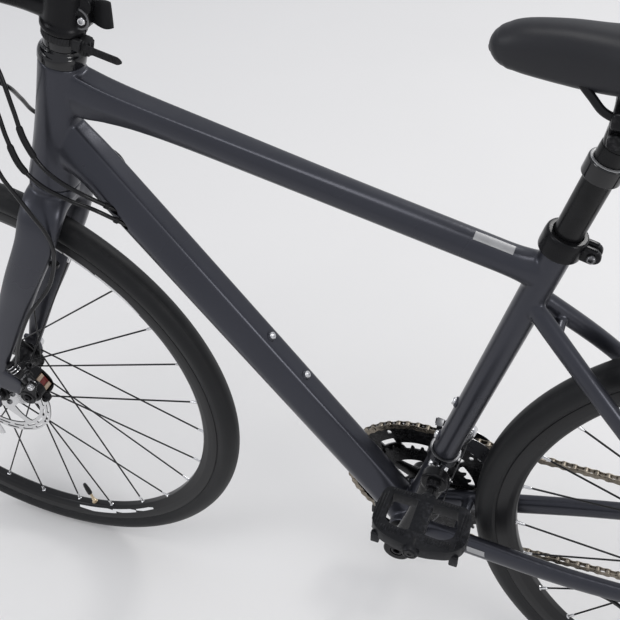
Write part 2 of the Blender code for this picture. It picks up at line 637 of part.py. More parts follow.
# ---------------------------------------------------------------- fork and steering
def fork_blades():
    """Both blades and the arch of the crown, in one skin from the left end to the right end."""
    half = [
        (1, 20, 373, 15, 25), (3, 35, 357, 13, 25), (0, 41, 318, 12, 23),
        (-20, 47, 205, 10, 20), (-33, 50, 135, 8.5, 17), (-40, 52, 80, 7, 14), (-45, 53.2, 35, 4.5, 11), (-46.5, 53.4, 15, 2.9, 9),
    ]
    path = [(x, -y, s, a, b) for x, y, s, a, b in reversed(half)] + [(0, 0, 376, 16, 25)] + half
    return loft([(st(x, y, s), a, b, STEER_BACK, 2.5) for x, y, s, a, b in path], 12)


def fork_end(side):
    outline = [(-11, 22), (-13, 4), (-11, -12), (-4.9, -15), (-4.9, 0)]
    outline += [(4.9 * math.cos(t), 4.9 * math.sin(t)) for t in (math.radians(a) for a in (135, 90, 45))]
    outline += [(4.9, 0), (4.9, -15), (11, -12), (13, 4), (11, 22)]
    return plate(outline, 6.0, Vector((FRONT_X, side * 53.4, WHEEL_R)), axis=(0, -1, 0), side=(0, 0, 1))


crown = turned([(0, 366), (20, 366), (26.5, 382), (27.5, HEAD_LOW - GAP), (0, HEAD_LOW - GAP)], STEER_0, STEER_AXIS, 14)
steerer = turned([(0, 380), (14.3, 380), (14.3, 625), (0, 625)], STEER_0, STEER_AXIS, 14)
caliper_tab = loft([
    (st(-34, -54.6, 60), 3.2, 20, STEER_AXIS, 4.0),
    (st(-14, -54.6, 59), 3.2, 18, STEER_AXIS, 4.0),
    (st(-3, -54.6, 58), 3.2, 14, STEER_AXIS, 4.0),
], 8)
place(combine(crown, [steerer, fork_blades(), fork_end(-1), fork_end(1), caliper_tab]), "fork", steering, PAINT)

cover = turned([
    (14.6, 550.3), (23.2, 550.3), (23.7, 551.2), (23.7, 557.6), (22.6, 561.4), (20.0, 564.0), (19.0, 566.5), (19.0, 585.7), (14.6, 585.7),
], STEER_0, STEER_AXIS, 14, closed=True)
place(cover, "headset_cover", steering, PLASTIC)

band = turned([(19.3, 576.2), (21.4, 576.2), (21.4, 583.8), (19.3, 583.8)], STEER_0, STEER_AXIS, 14, closed=True)
dial = rod(st(26.6, -4.5, 569.6), st(26.6, -4.5, 585.6), 7.2, 16)
clip = block((9, 7, 11), st(20.8, -12.6, 580.1), axis=STEER_AXIS, bevel=1.2, segments=1)
hinge = block((8, 13, 9), st(25.2, -4, 580), axis=STEER_AXIS, bevel=1.2, segments=1)
tail = loft([
    (st(21, -9, 579), 1.2, 4.2, STEER_AXIS, 3.0), (st(33, -11.5, 580), 1.2, 4.2, STEER_AXIS, 3.0),
    (st(50, -11.5, 580.5), 1.2, 4.2, STEER_AXIS, 3.0), (st(66, -10.5, 580.5), 1.2, 2.4, STEER_AXIS, 3.0),
], 8)
around = turned([(0, 560), (19.3, 560), (19.3, 590), (0, 590)], STEER_0, STEER_AXIS, 14)
place(combine(band, [dial, clip, hinge, tail], [around]), "strap_bracket", steering, PLASTIC)

BAR_AT = (-STEM_LEN + 0.7, STEM_S - 11.0)   # the bar's centre, behind the steering axis and along it
SWEEP = math.radians(5.0)


def bar_at(y):
    """The middle of the bar at this side, before steering."""
    run = max(0.0, abs(y) - 60.0)
    return st(BAR_AT[0] + run * math.tan(SWEEP), y, BAR_AT[1] + run * 0.02)


clamp = turned([(0, 586), (20.5, 586), (20.5, 625), (19.5, 627), (0, 627)], STEER_0, STEER_AXIS, 14)
neck = loft([
    (st(-4, 0, 607), 16, 17.5, STEER_AXIS, 2.4), (st(-40, 0, 602.5), 14.5, 15.0, STEER_AXIS, 2.3), (st(-72, 0, 598), 15.5, 15.0, STEER_AXIS, 2.4),
], 14)
bar_clamp = rod(st(BAR_AT[0], -22, BAR_AT[1]), st(BAR_AT[0], 22, BAR_AT[1]), 20.5, 18)
rear_ear = block((14, 17, 34), st(21, 0, 606), axis=STEER_AXIS, bevel=2.0, segments=1)
bolts = [rod(st(23, -11.5, s), st(23, 11.5, s), 3.9, 8) for s in (596, 616)]
stem = combine(clamp, [neck, bar_clamp, rear_ear, *bolts], [
    turned([(0, 580), (14.6, 580), (14.6, 625.4), (0, 625.4)], STEER_0, STEER_AXIS, 14),
    rod(st(BAR_AT[0], -30, BAR_AT[1]), st(BAR_AT[0], 30, BAR_AT[1]), 16.2, 18),
])
place(stem, "stem", steering, BLACK)

stations = [-BAR_HALF + 2, -160, -76, -60, -38, 38, 60, 76, 160, BAR_HALF - 2]
bar = loft([(bar_at(y), BAR_R if abs(y) > 70 else 15.9 if abs(y) < 50 else 14.0, BAR_R if abs(y) > 70 else 15.9 if abs(y) < 50 else 14.0, STEER_AXIS, 2.0) for y in stations], 12)
place(bar, "handlebar", steering, BLACK)


def along(side):
    return (bar_at(side * 280) - bar_at(side * 100)).normalized()


def grip(side):
    start = bar_at(side * 162)
    profile = [(0, 0), (16.2, 0), (15.2, 8), (15.8, 60), (15.2, 115), (16.4, 126), (15.0, 130.5), (0, 130.5)]
    return turned(profile, start, along(side), 14), rod(start - along(side) * 3, start + along(side) * 127.2, BAR_R + GAP, 14)


for side, tag in ((-1, "left"), (1, "right")):
    outer, hole = grip(side)
    place(combine(outer, [], [hole]), "grip_" + tag, steering, RUBBER)

# Hand controls: forwards and down by this much from the bar.
LEVER_DROP = math.radians(34)
CONTROL_Y = 140.0


def control_frame(side):
    """Where the control is clamped, its forward and its upward direction."""
    ahead = -STEER_BACK * math.cos(LEVER_DROP) - STEER_AXIS * math.sin(LEVER_DROP)
    return bar_at(side * CONTROL_Y), ahead, -STEER_BACK * math.sin(LEVER_DROP) + STEER_AXIS * math.cos(LEVER_DROP)


def control(side):
    c, ahead, up = control_frame(side)
    n = along(side)
    ring = rod(c - n * 9, c + n * 9, 15.6, 12)
    body = block((26, 24, 17), c + ahead * 22 - n * 6, axis=up, side=n, bevel=2.0, segments=1)
    pod = block((34, 30, 20), c + ahead * 14 - up * 19 - n * 12, axis=up, side=n, bevel=3.0, segments=1)
    barrel = rod(c + ahead * 27 - n * 16, c + ahead * 27 - n * 34, 5.0, 12)
    upper, lower = (block((18, 16, 3.4), c + ahead * 40 - n * 2 + up * h, axis=up, side=n) for h in (6.6, -6.6))
    pin = rod(c + ahead * 43 - n * 2 - up * 8, c + ahead * 43 - n * 2 + up * 8, 2.4, 10)
    bore = rod(c - n * 30, c + n * 30, BAR_R + GAP, 12)
    bore_in = rod(c + ahead * 27 - n * 30, c + ahead * 27 - n * 40, 2.9, 10)
    return combine(ring, [body, pod, barrel, upper, lower, pin], [bore, bore_in]), c + ahead * 43 - n * 2, up


def brake_lever(side):
    c, ahead, up = control_frame(side)
    n = along(side)
    p = c + ahead * 43 - n * 2
    blade = loft([
        (p - n * 1, 6.0, 4.2, up, 2.8), (p + n * 16 + ahead * 5, 7.0, 4.2, up, 2.8), (p + n * 45 + ahead * 9, 5.5, 5.0, up, 2.6),
        (p + n * 85 + ahead * 4, 5.0, 5.5, up, 2.5), (p + n * 118 + ahead * 3, 5.5, 5.5, up, 2.5), (p + n * 128 + ahead * 6, 4.0, 4.0, up, 2.2),
    ], 10)
    boss = rod(p - up * 4.4, p + up * 4.4, 7.0, 14)
    return combine(boss, [blade], [rod(p - up * 9, p + up * 9, 2.8, 10)])


def shift_lever(side):
    c, ahead, up = control_frame(side)
    n = along(side)
    p = c + ahead * 10 - up * 33 - n * 12
    boss = rod(p - up * 2.0, p + up * 3.6, 9.0, 14)
    paddle = loft([
        (p - up * 0.2, 6.0, 1.8, up, 2.8), (p - ahead * 16 + n * 12, 5.0, 1.8, up, 2.8), (p - ahead * 26 + n * 22 - up * 2, 8.0, 3.4, up, 2.6), (p - ahead * 30 + n * 28 - up * 2.5, 6.0, 2.6, up, 2.6),
    ], 10)
    return combine(boss, [paddle]), p, up


for side, tag in ((-1, "left"), (1, "right")):
    made, at, up = control(side)
    place(made, "control_" + tag, steering, PLASTIC)
    hinge = pivot("brake_lever_" + tag + "_pivot", at, up, parent=steering)
    place(brake_lever(side), "brake_lever_" + tag, hinge, BLACK)
    made, at, up = shift_lever(side)
    hinge = pivot("shift_lever_" + tag + "_pivot", at, up, parent=steering)
    place(made, "shift_lever_" + tag, hinge, PLASTIC)

# ---------------------------------------------------------------- brakes and wheel fastenings
def caliper(axle, rotor_y, angle, out_y):
    """A block over the disc's edge, with a slot for the disc and a round housing outside."""
    r = polar(1, angle)
    t = polar(1, angle + 90)
    c = Vector(axle)
    body = block((40, 22, 32), c + r * 84 + Vector((0, rotor_y, 0)), axis=r, side=(0, 1, 0), bevel=3.0, segments=1)
    housing = rod(c + r * 90 + Vector((0, rotor_y - 10, 0)), c + r * 90 + Vector((0, out_y, 0)), 14.5, 18)
    slot = block((60, 3.6, 40), c + r * 62.6 + Vector((0, rotor_y, 0)), axis=r, side=(0, 1, 0))
    stub = rod(c + r * 90 + Vector((0, out_y + 4, 0)), c + r * 90 + Vector((0, out_y - 7.4, 0)), 4.0, 12)
    return body, housing, stub, slot, r, t


def caliper_arm(axle, angle, out_y, reach):
    """The actuating arm: a ring about the caliper's shaft with a tapered lever."""
    c = Vector(axle) + polar(1, angle) * 90 + Vector((0, out_y - 3.8, 0))
    d = polar(1, reach)
    n = polar(1, reach + 90)
    body = loft([(c, 9, 2.2, (0, 1, 0), 2.8), (c + d * 18, 7, 2.2, (0, 1, 0), 2.8), (c + d * 34, 5, 2.2, (0, 1, 0), 2.8)], 8)
    ring = rod(c - Vector((0, 3.2, 0)), c + Vector((0, 3.2, 0)), 11.0, 16)
    return combine(ring, [body], [rod(c - Vector((0, 9, 0)), c + Vector((0, 9, 0)), 4.3, 12)]), c


FRONT_CALIPER, REAR_CALIPER = 28.0, 160.0
body, housing, stub, slot, r, t = caliper(F_C, FRONT_ROTOR_Y, FRONT_CALIPER, -62.0)
cable_stop = rod(Vector(F_C) + r * 96 + t * 14 + Vector((0, -54, 0)), Vector(F_C) + r * 92 + t * 36 + Vector((0, -56, 0)), 4.0, 12)
place(combine(body, [housing, stub, cable_stop], [slot, rod(Vector(F_C) + r * 93.5 + t * 27 + Vector((0, -55.2, 0)), Vector(F_C) + r * 91 + t * 44 + Vector((0, -56.5, 0)), 2.9, 10)]), "front_caliper", steering, BLACK)
arm, at = caliper_arm(F_C, FRONT_CALIPER, -62.0, 62)
arm_pivot = pivot("front_caliper_arm_pivot", at, (0, 1, 0), (0, 0, 1), parent=steering)
place(arm, "front_caliper_arm", arm_pivot, BLACK)

body, housing, stub, slot, r, t = caliper(R_C, REAR_ROTOR_Y, REAR_CALIPER, -72.0)
foot = block((30, 12, 12), (348, -65, 361.5), axis=(-0.16, 0, 0.987))
cable_stop = rod(Vector(R_C) + r * 96 + t * 8 + Vector((0, -66, 0)), Vector(R_C) + r * 104 + t * 28 + Vector((0, -73, 0)), 4.0, 10)
place(combine(body, [housing, stub, foot, cable_stop], [slot, rod(Vector(R_C) + r * 101 + t * 20.5 + Vector((0, -70.4, 0)), Vector(R_C) + r * 107 + t * 35.5 + Vector((0, -75.6, 0)), 2.9, 10)]), "rear_caliper", root, BLACK)
arm, at = caliper_arm(R_C, REAR_CALIPER, -72.0, 95)
arm_pivot = pivot("rear_caliper_arm_pivot", at, (0, 1, 0), (0, 0, 1), parent=root)
place(arm, "rear_caliper_arm", arm_pivot, BLACK)

place(skewer(F_C, 50.1, 6.0, 4.9), "front_skewer", steering, STEEL)
made, at, across = qr_lever(F_C, 56.4, (0.12, 0, -1))
place(made, "front_qr_lever", pivot("front_qr_pivot", at, across, (0, 1, 0), parent=steering), STEEL)
place(skewer(R_C, 67.5, 6.4, 5.6), "rear_skewer", root, STEEL)
made, at, across = qr_lever(R_C, 74.2, (0.75, 0, 0.66))
place(made, "rear_qr_lever", pivot("rear_qr_pivot", at, across, (0, 1, 0), parent=root), STEEL)

# ---------------------------------------------------------------- seat
post_pivot = pivot("seatpost_pivot", BB, SEAT_AXIS, parent=root)
TILT = se(-6, 0, 597)
post = rod(se(0, 0, 285), se(0, 0, 589), POST_R, 16)
neck = loft([(se(0, 0, 580), 12.5, 12.5, (0, 1, 0), 2.0), (se(-3, 0, 590), 11, 11, (0, 1, 0), 2.2), (TILT, 9, 9, (0, 1, 0), 2.2)], 10)
head = rod(TILT - Vector((0, 12.5, 0)), TILT + Vector((0, 12.5, 0)), 8.4, 16)
pin = rod(TILT - Vector((0, 24, 0)), TILT + Vector((0, 24, 0)), 3.6, 8)
nuts = [rod(TILT + Vector((0, s * 21.3, 0)), TILT + Vector((0, s * 26.5, 0)), 6.5, 8) for s in (-1, 1)]
place(combine(post, [neck, head, pin, *nuts]), "seatpost", post_pivot, BLACK)

ring = turned([(POST_R + GAP, 550), (17.6, 550), (17.6, 567), (POST_R + GAP, 567)], BB, SEAT_AXIS, 16, closed=True)
ear = block((16, 12, 14), se(23, 0, 558.5), axis=SEAT_AXIS, bevel=2.0, segments=1)
screw = rod(se(26, -9, 558.5), se(26, 9, 558.5), 4.0, 12)
place(combine(ring, [ear, screw], [rod(se(0, 0, 545), se(0, 0, 572), POST_R + GAP, 16)]), "seatpost_bracket", post_pivot, PLASTIC)

tilt = pivot("saddle_tilt_pivot", TILT, (0, 1, 0), (0, 0, 1), parent=post_pivot)
RAIL_Z = 872.0
bridge = block((38, 58, 15), (TILT.x + 3, 0, RAIL_Z), bevel=2.0, segments=1)
cheeks = [block((20, 5.6, 30), (TILT.x + 1, s * 17.6, TILT.z + 6), bevel=1.0, segments=1) for s in (-1, 1)]
place(combine(bridge, cheeks, [
    rod(TILT - Vector((0, 30, 0)), TILT + Vector((0, 30, 0)), 4.0, 12),
    rod((TILT.x - 40, -22, RAIL_Z), (TILT.x + 50, -22, RAIL_Z), 4.4, 10),
    rod((TILT.x - 40, 22, RAIL_Z), (TILT.x + 50, 22, RAIL_Z), 4.4, 10),
]), "saddle_clamp", tilt, BLACK)

slide = pivot("saddle_slide_pivot", (TILT.x, 0, RAIL_Z), (1, 0, 0), (0, 1, 0), parent=tilt)
shell = loft([
    ((53.5, 0, 907), 5, 5, (0, 0, 1), 2.2), ((60, 0, 909.5), 12, 12, (0, 0, 1), 2.3), ((80, 0, 913), 18, 20, (0, 0, 1), 2.4), ((112, 0, 911), 20, 24, (0, 0, 1), 2.5),
    ((147, 0, 909), 24, 25, (0, 0, 1), 2.5), ((185, 0, 911), 36, 23, (0, 0, 1), 2.6), ((225, 0, 916), 57, 19, (0, 0, 1), 2.8), ((265, 0, 921), 74, 17.5, (0, 0, 1), 2.9),
    ((298, 0, 924), 76, 16, (0, 0, 1), 2.8), ((317, 0, 925), 64, 12, (0, 0, 1), 2.6), ((323, 0, 925), 50, 7, (0, 0, 1), 2.4),
], 12)
rails = [wire(smooth_path([(84, s * 7, 900), (98, s * 13, 884), (116, s * 20, 873.5), (135, s * 22, RAIL_Z), (205, s * 22, RAIL_Z), (228, s * 25, 879), (248, s * 31, 893), (258, s * 33, 908)], 10), 3.5) for s in (-1, 1)]
place(combine(shell, rails), "saddle", slide, VINYL)

# ---------------------------------------------------------------- cassette and chain
low_y = COG_FIRST_Y - COG_STEP * (len(COGS) - 1)
profile = []
for k in range(len(COGS) - 1, -1, -1):
    y = COG_FIRST_Y - COG_STEP * k
    r = COGS[k] * PITCH / (2 * math.pi) + 3.2
    profile += [(20.0, y - 1.0), (r, y - 1.0), (r, y + 1.0), (20.0, y + 1.0)]
profile = [(15.5, low_y - 1.0), *profile[1:], (17.0, COG_FIRST_Y + 1.0), (17.0, COG_FIRST_Y + 2.2), (7.0, COG_FIRST_Y + 2.2), (7.0, 28.0), (15.5, 28.0)]
cassette_pivot = pivot("cassette_pivot", R_C, parent=root)
place(turned(profile, R_C, (0, 1, 0), 12, closed=True), "cassette", cassette_pivot, STEEL)


def belt(wheels):
    """The closed path over the wheels (x, z, radius, sense, y), sense 1 for clockwise seen from the left side."""
    lines = []
    for a, b in zip(wheels, wheels[1:] + wheels[:1]):
        dx, dz = b[0] - a[0], b[1] - a[1]
        base = math.atan2(dz, dx)
        n = base + math.acos((a[3] * a[2] - b[3] * b[2]) / math.hypot(dx, dz))
        nx, nz = math.cos(n), math.sin(n)
        lines.append(((a[0] + a[3] * a[2] * nx, a[1] + a[3] * a[2] * nz), (b[0] + b[3] * b[2] * nx, b[1] + b[3] * b[2] * nz)))
    points = []
    for i, wheel in enumerate(wheels):
        start, end = lines[i - 1][1], lines[i][0]
        t0 = math.atan2(start[1] - wheel[1], start[0] - wheel[0])
        t1 = math.atan2(end[1] - wheel[1], end[0] - wheel[0])
        turn = -wheel[3]
        sweep = (t1 - t0) * turn % (2 * math.pi)
        steps = max(2, int(sweep * wheel[2] / 24.0))
        for k in range(steps + 1):
            t = t0 + turn * sweep * k / steps
            points.append(("arc", Vector((wheel[0] + wheel[2] * math.cos(t), wheel[4], wheel[1] + wheel[2] * math.sin(t)))))
        nxt = wheels[(i + 1) % len(wheels)]
        a = Vector((lines[i][0][0], wheel[4], lines[i][0][1]))
        b = Vector((lines[i][1][0], nxt[4], lines[i][1][1]))
        spans = max(1, round((b - a).length / 63.5))
        points += [("span", a.lerp(b, k / spans)) for k in range(1, spans)]
    return points


def strip(points, y_off, half_w, half_h):
    """One side of the chain: a band round the whole path, closed on itself."""
    work = bmesh.new()
    rings = []
    count = len(points)
    for i, (_, p) in enumerate(points):
        ahead = points[(i + 1) % count][1] - points[i - 1][1]
        ahead.y = 0
        ahead.normalize()
        out = Vector((-ahead.z, 0, ahead.x))
        rings.append([work.verts.new((p + Vector((0, y_off + dy, 0)) + out * h) * MM) for dy, h in ((-half_w, -half_h), (half_w, -half_h), (half_w, half_h), (-half_w, half_h))])
    for a, b in zip(rings, rings[1:] + rings[:1]):
        for k in range(4):
            j = (k + 1) % 4
            work.faces.new((a[k], a[j], b[j], b[k]))
    bmesh.ops.recalc_face_normals(work, faces=work.faces)
    mesh = bpy.data.meshes.new("strip")
    work.to_mesh(mesh)
    work.free()
    return baked(link(bpy.data.objects.new("strip", mesh), cutters))


path = belt([
    (0.0, BB_Z, RING_R, 1, RING_Y), (REAR_X, WHEEL_R, COG_R, 1, COG_Y), (*GUIDE, PULLEY_R, -1, COG_Y), (*TENSION, PULLEY_R, 1, COG_Y),
])
pins = [rod(p - Vector((0, 3.2, 0)), p + Vector((0, 3.2, 0)), 2.6, 6) for kind, p in path if kind == "span"]
place(combine(strip(path, -2.95, 0.5, 3.8), [strip(path, 2.95, 0.5, 3.8), *pins]), "chain", root, CHAIN)


# ---------------------------------------------------------------- derailleurs
def clevis(at, axis, inner, thick, radius, base, size):
    """Two ears about a pin through 'at', with their bridge at 'base'."""
    a = Vector(axis).normalized()
    at, base = Vector(at), Vector(base)
    away = base - at
    away -= a * away.dot(a)
    reach = away.length
    away.normalize()
    made = []
    for s in (-1, 1):
        mid = at + a * s * (inner + thick / 2)
        made.append(rod(mid - a * thick / 2, mid + a * thick / 2, radius, 10))
        made.append(block((reach + size / 2 - 1, radius * 1.6, thick - 0.7), mid + away * (reach + size / 2 - 1) / 2, axis=a, side=a.cross(away)))
    made.append(block((size, radius * 1.9, inner * 2 + thick * 2 - 0.3), at + away * reach, axis=a, side=a.cross(away)))
    made.append(rod(at - a * (inner + thick), at + a * (inner + thick), 2.2, 8))
    return made


def bar_link(a, b, axis, half, radius):
    """A link between two parallel pins."""
    n = Vector(axis).normalized()
    a, b = Vector(a), Vector(b)
    made = block(((b - a).length, radius * 1.5, half * 2 - 0.6), (a + b) / 2, axis=n, side=n.cross(b - a))
    ends = [rod(p - n * half, p + n * half, radius, 10) for p in (a, b)]
    return combine(made, ends, [rod(p - n * (half + 3), p + n * (half + 3), 2.5, 8) for p in (a, b)])


FD_1 = Vector((46, 30, 428))
FD_2 = FD_1 + Vector((0, 12, -19))
ring = turned([(SEAT_TUBE_R + 0.4, 124), (18.2, 124), (18.2, 139), (SEAT_TUBE_R + 0.4, 139)], BB, SEAT_AXIS, 16, closed=True)
fd_ears = clevis(FD_1, (1, 0, 0), 6.2, 3.0, 5.0, (46, 19.5, 424), 8)
fd_block = block((20, 14, 30), (44, 17, 413))
place(combine(ring, [fd_block, *fd_ears], [rod(se(0, 0, 90), se(0, 0, 190), SEAT_TUBE_R + 0.4, 16)]), "fd_clamp", root, BLACK)
fd_pivot = pivot("fd_link_pivot", FD_1, (1, 0, 0), (0, 0, 1), parent=root)
place(bar_link(FD_1, FD_2, (1, 0, 0), 5.8, 4.6), "fd_link", fd_pivot, STEEL)
cage_pivot = pivot("fd_cage_pivot", FD_2, (1, 0, 0), (0, 0, 1), parent=fd_pivot)


def fd_plate(y, low, high, first, last):
    """One side of the cage: an arc just over the ring's teeth, with a straight top."""
    loop = [polar(low, first + (last - first) * k / 6) for k in range(7)]
    loop = [(p.x, p.z) for p in loop]
    loop += [(p.x, p.z) for p in (polar(high, last), polar(high + 5, first * 0.25 + last * 0.75), polar(high, (first * 2 + last) / 3), polar(high - 4, first))]
    return plate(loop, 1.2, BB + Vector((0, y, 0)))


inner = fd_plate(42.9, 104, 124.5, 82, 42)
outer = fd_plate(54.8, 109.5, 124, 84, 44)
over = block((26, 12.4, 1.6), BB + Vector((37, 48.85, 115.2)), axis=(0.3, 0, 1))
cage_ears = clevis(FD_2, (1, 0, 0), 6.2, 3.0, 4.6, FD_2 + Vector((0, 3.0, -13.5)), 6)
place(combine(inner, [outer, over, *cage_ears]), "fd_cage", cage_pivot, STEEL)

SLANT = Vector((0, -0.6, 0.8))
RD_1 = Vector((419, 88, 302))
RD_2 = RD_1 + Vector((-36, -12, -9))
RD_P = Vector((410, 0, 276))
knuckle = rod((435, 74.6, 313), (435, 96, 313), 9.0, 14)
k_ears = clevis(RD_1, SLANT, 5.3, 3.0, 6.0, RD_1 + Vector((13, 0, 9.0)), 9)
place(combine(knuckle, k_ears), "rd_knuckle", root, BLACK)
rd_pivot = pivot("rd_link_pivot", RD_1, SLANT, parent=root)
place(bar_link(RD_1, RD_2, SLANT, 5.0, 5.6), "rd_link", rd_pivot, BLACK)
rd_body_pivot = pivot("rd_body_pivot", RD_2, SLANT, parent=rd_pivot)
p_ears = clevis(RD_2, SLANT, 5.3, 3.0, 6.0, RD_2 + Vector((8, -8, -10)), 8)
p_shell = rod(RD_P + Vector((0, 49.6, 0)), RD_P + Vector((0, 70, 0)), 12.0, 18)
p_neck = rod(RD_2 + Vector((8, -8, -10)), RD_P + Vector((-2, 62, 0)), 6.0, 10)
place(combine(p_shell, [p_neck, *p_ears], [rod(RD_P + Vector((0, 45, 0)), RD_P + Vector((0, 60, 0)), 6.4, 16)]), "rd_body", rd_body_pivot, BLACK)
rd_cage_pivot = pivot("rd_cage_pivot", RD_P + Vector((0, COG_Y, 0)), (0, 1, 0), (0, 0, 1), parent=rd_body_pivot)


def capsule(a, b, radius, steps=5):
    along_it = math.atan2(b[1] - a[1], b[0] - a[0])
    loop = []
    for c, base in ((a, along_it + math.pi / 2), (b, along_it - math.pi / 2)):
        loop += [(c[0] + radius * math.cos(base + math.pi * k / steps), c[1] + radius * math.sin(base + math.pi * k / steps)) for k in range(steps + 1)]
    return loop


g, t2 = (GUIDE[0], GUIDE[1] - BB_Z), (TENSION[0], TENSION[1] - BB_Z)
outer = plate(capsule(g, t2, 10.0), 1.6, BB + Vector((0, COG_Y + 6.6, 0)))
inner = plate(capsule(g, t2, 8.0), 1.6, BB + Vector((0, COG_Y - 6.0, 0)))
axles = [rod(Vector((x, COG_Y - 8.6, z)), Vector((x, COG_Y + 8.4, z)), 2.6, 8) for x, z in (GUIDE, TENSION)]
boss = rod(RD_P + Vector((0, COG_Y + 6, 0)), RD_P + Vector((0, 59.4, 0)), 6.0, 16)
place(combine(outer, [inner, *axles, boss]), "rd_cage", rd_cage_pivot, BLACK)
for name, (x, z) in (("rd_pulley_upper", GUIDE), ("rd_pulley_lower", TENSION)):
    c = Vector((x, COG_Y, z))
    made = turned([(2.9, -3.6), (6.0, -3.6), (7.0, -1.1), (25.2, -1.0), (25.2, 1.0), (7.0, 1.1), (6.0, 3.6), (2.9, 3.6)], c, (0, 1, 0), 12, closed=True)
    place(made, name, pivot(name + "_pivot", c, (0, 1, 0), (0, 0, 1), parent=rd_cage_pivot), PLASTIC)


# ---------------------------------------------------------------- cables
def steered(p, back=False):
    """The point after (or before) the steering's rest turn."""
    spin = Matrix.Rotation(math.radians(-STEER_REST if back else STEER_REST), 3, STEER_AXIS)
    return STEER_0 + spin @ (Vector(p) - STEER_0)


def bracket_end(side):
    """Where a brake's housing leaves the hand control, and the way it leaves."""
    c, ahead, up = control_frame(side)
    n = along(side)
    return c + ahead * 27 - n * 34.5, -n, c + ahead * 22 - n * 29.5 - up * 19


HOUSING = 2.3
start, way, pod_start = bracket_end(-1)
front_brake = [start, start + way * 22, *[steered(p, True) for p in (
    (-451, -66, 898), (-442, -62, 862), (-430, -66, 805), (-418, -70, 747), (-412, -64, 718), (-404, -60, 692), (-401, -52, 665), (-403, -46, 640), (-412, -42, 612), (-428, -44.5, 575),
)], st(5, -57, 215), st(-6, -60, 150), st(-8, -58, 122), Vector(F_C) + polar(1, FRONT_CALIPER) * 91.6 + polar(1, FRONT_CALIPER + 90) * 40 + Vector((0, -55.4, 0))]
place(wire(smooth_path(front_brake, 21), HOUSING), "front_brake_cable", steering, PLASTIC)

DOWN = Vector((300, 0, -388)).normalized()
ABOVE = Vector((0.791, 0, 0.612))


def through_frame(port, sides, lift, leave):
    """Points from a port at the head, down the inside of the down tube, and out below the bottom bracket."""
    a, b = (Vector(p) for p in CABLE_PORTS[port])
    out_a, out_b = (Vector(p) for p in CABLE_PORTS[leave])
    top = Vector((-350, 0, 724.7))
    inner = [top + DOWN * run + ABOVE * lift + Vector((0, y, 0)) for run, y in zip((110, 200, 300, 400), sides)]
    return [a + (a - b) * 0.3, a.lerp(b, 0.4), b, *inner, out_a, out_a.lerp(out_b, 0.6), out_b + Vector((1, 0, -2)), Vector((-22, out_b.y, 255.5)), Vector((0, out_b.y, 252.8))]


start_r, way_r, pod_r = bracket_end(1)
start_l, way_l, pod_l = bracket_end(-1)
rear_brake = [steered(start_r), steered(start_r + way_r * 24), *[Vector(p) for p in (
    (-468, 48, 904), (-458, 4, 894), (-432, -26, 874), (-408, -39, 850), (-400, -44, 809), (-396, -46, 776), (-385, -44, 745), (-368, -42, 728),
)], *through_frame(0, (-13, -13, -13, -13), 2, 3), *[Vector(p) for p in (
    (24, -16, 256), (60, -24, 264), (110, -32, 271), (200, -46, 285.5), (244, -55, 292), (272, -70, 299), (292, -81, 320), (306.5, -77.0, 343.5),
)]]
place(wire(rear_brake, HOUSING), "rear_brake_cable", root, PLASTIC)

rear_shift = [steered(pod_r), steered(pod_r + way_r * 20), *[Vector(p) for p in (
    (-462, 60, 880), (-462, 10, 866), (-438, -32, 842), (-416, -49, 808), (-411, -53, 780), (-404, -54, 750), (-388, -50, 726), (-364, -43, 708),
)], *through_frame(1, (-8, 0, 8, 12), -9, 5), *[Vector(p) for p in (
    (24, 18, 256), (60, 28, 264.5), (110, 38.5, 272.5), (200, 51, 286), (300, 63, 304), (352, 80, 315), (400, 97, 325), (440, 99, 330), (472, 97, 326), (481, 93, 313), (470, 88, 303), (446, 86, 311),
)]]
place(wire(rear_shift, HOUSING), "rear_shift_cable", root, PLASTIC)

front_shift = [steered(pod_l), steered(pod_l + way_l * 18), *[Vector(p) for p in (
    (-453, -93, 882), (-430, -60, 855), (-415, -30, 827), (-430, 4, 792), (-440, 30, 760), (-424, 46, 738), (-384, 45, 724),
)], *through_frame(2, (12, 8, 3, 0), 8, 4), *[Vector(p) for p in (
    (20, 1, 256), (33, 2, 274), (39, 5, 310), (47, 12, 350), (56, 22, 388), (60, 28, 412),
)]]
place(wire(front_shift, HOUSING), "front_shift_cable", root, PLASTIC)

# ---------------------------------------------------------------- rest positions
steering.matrix_basis = steering.matrix_basis @ Matrix.Rotation(math.radians(STEER_REST), 4, "Z")
root.location = vec((SHIFT_X, SHIFT_Y, 0))
for spare in list(cutters.objects):
    bpy.data.objects.remove(spare, do_unlink=True)
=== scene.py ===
"""The looks of a flat-bar road bicycle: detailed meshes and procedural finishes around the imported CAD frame.

Points are worked out in millimetres in the design frame (bottom bracket at x = 0, mid-plane y = 0, front wheel
towards -X, drive side towards +Y) and go to the row frame in metres when a piece is made.
"""

import math

import bmesh
import bpy
import numpy as np
from mathutils import Matrix, Vector


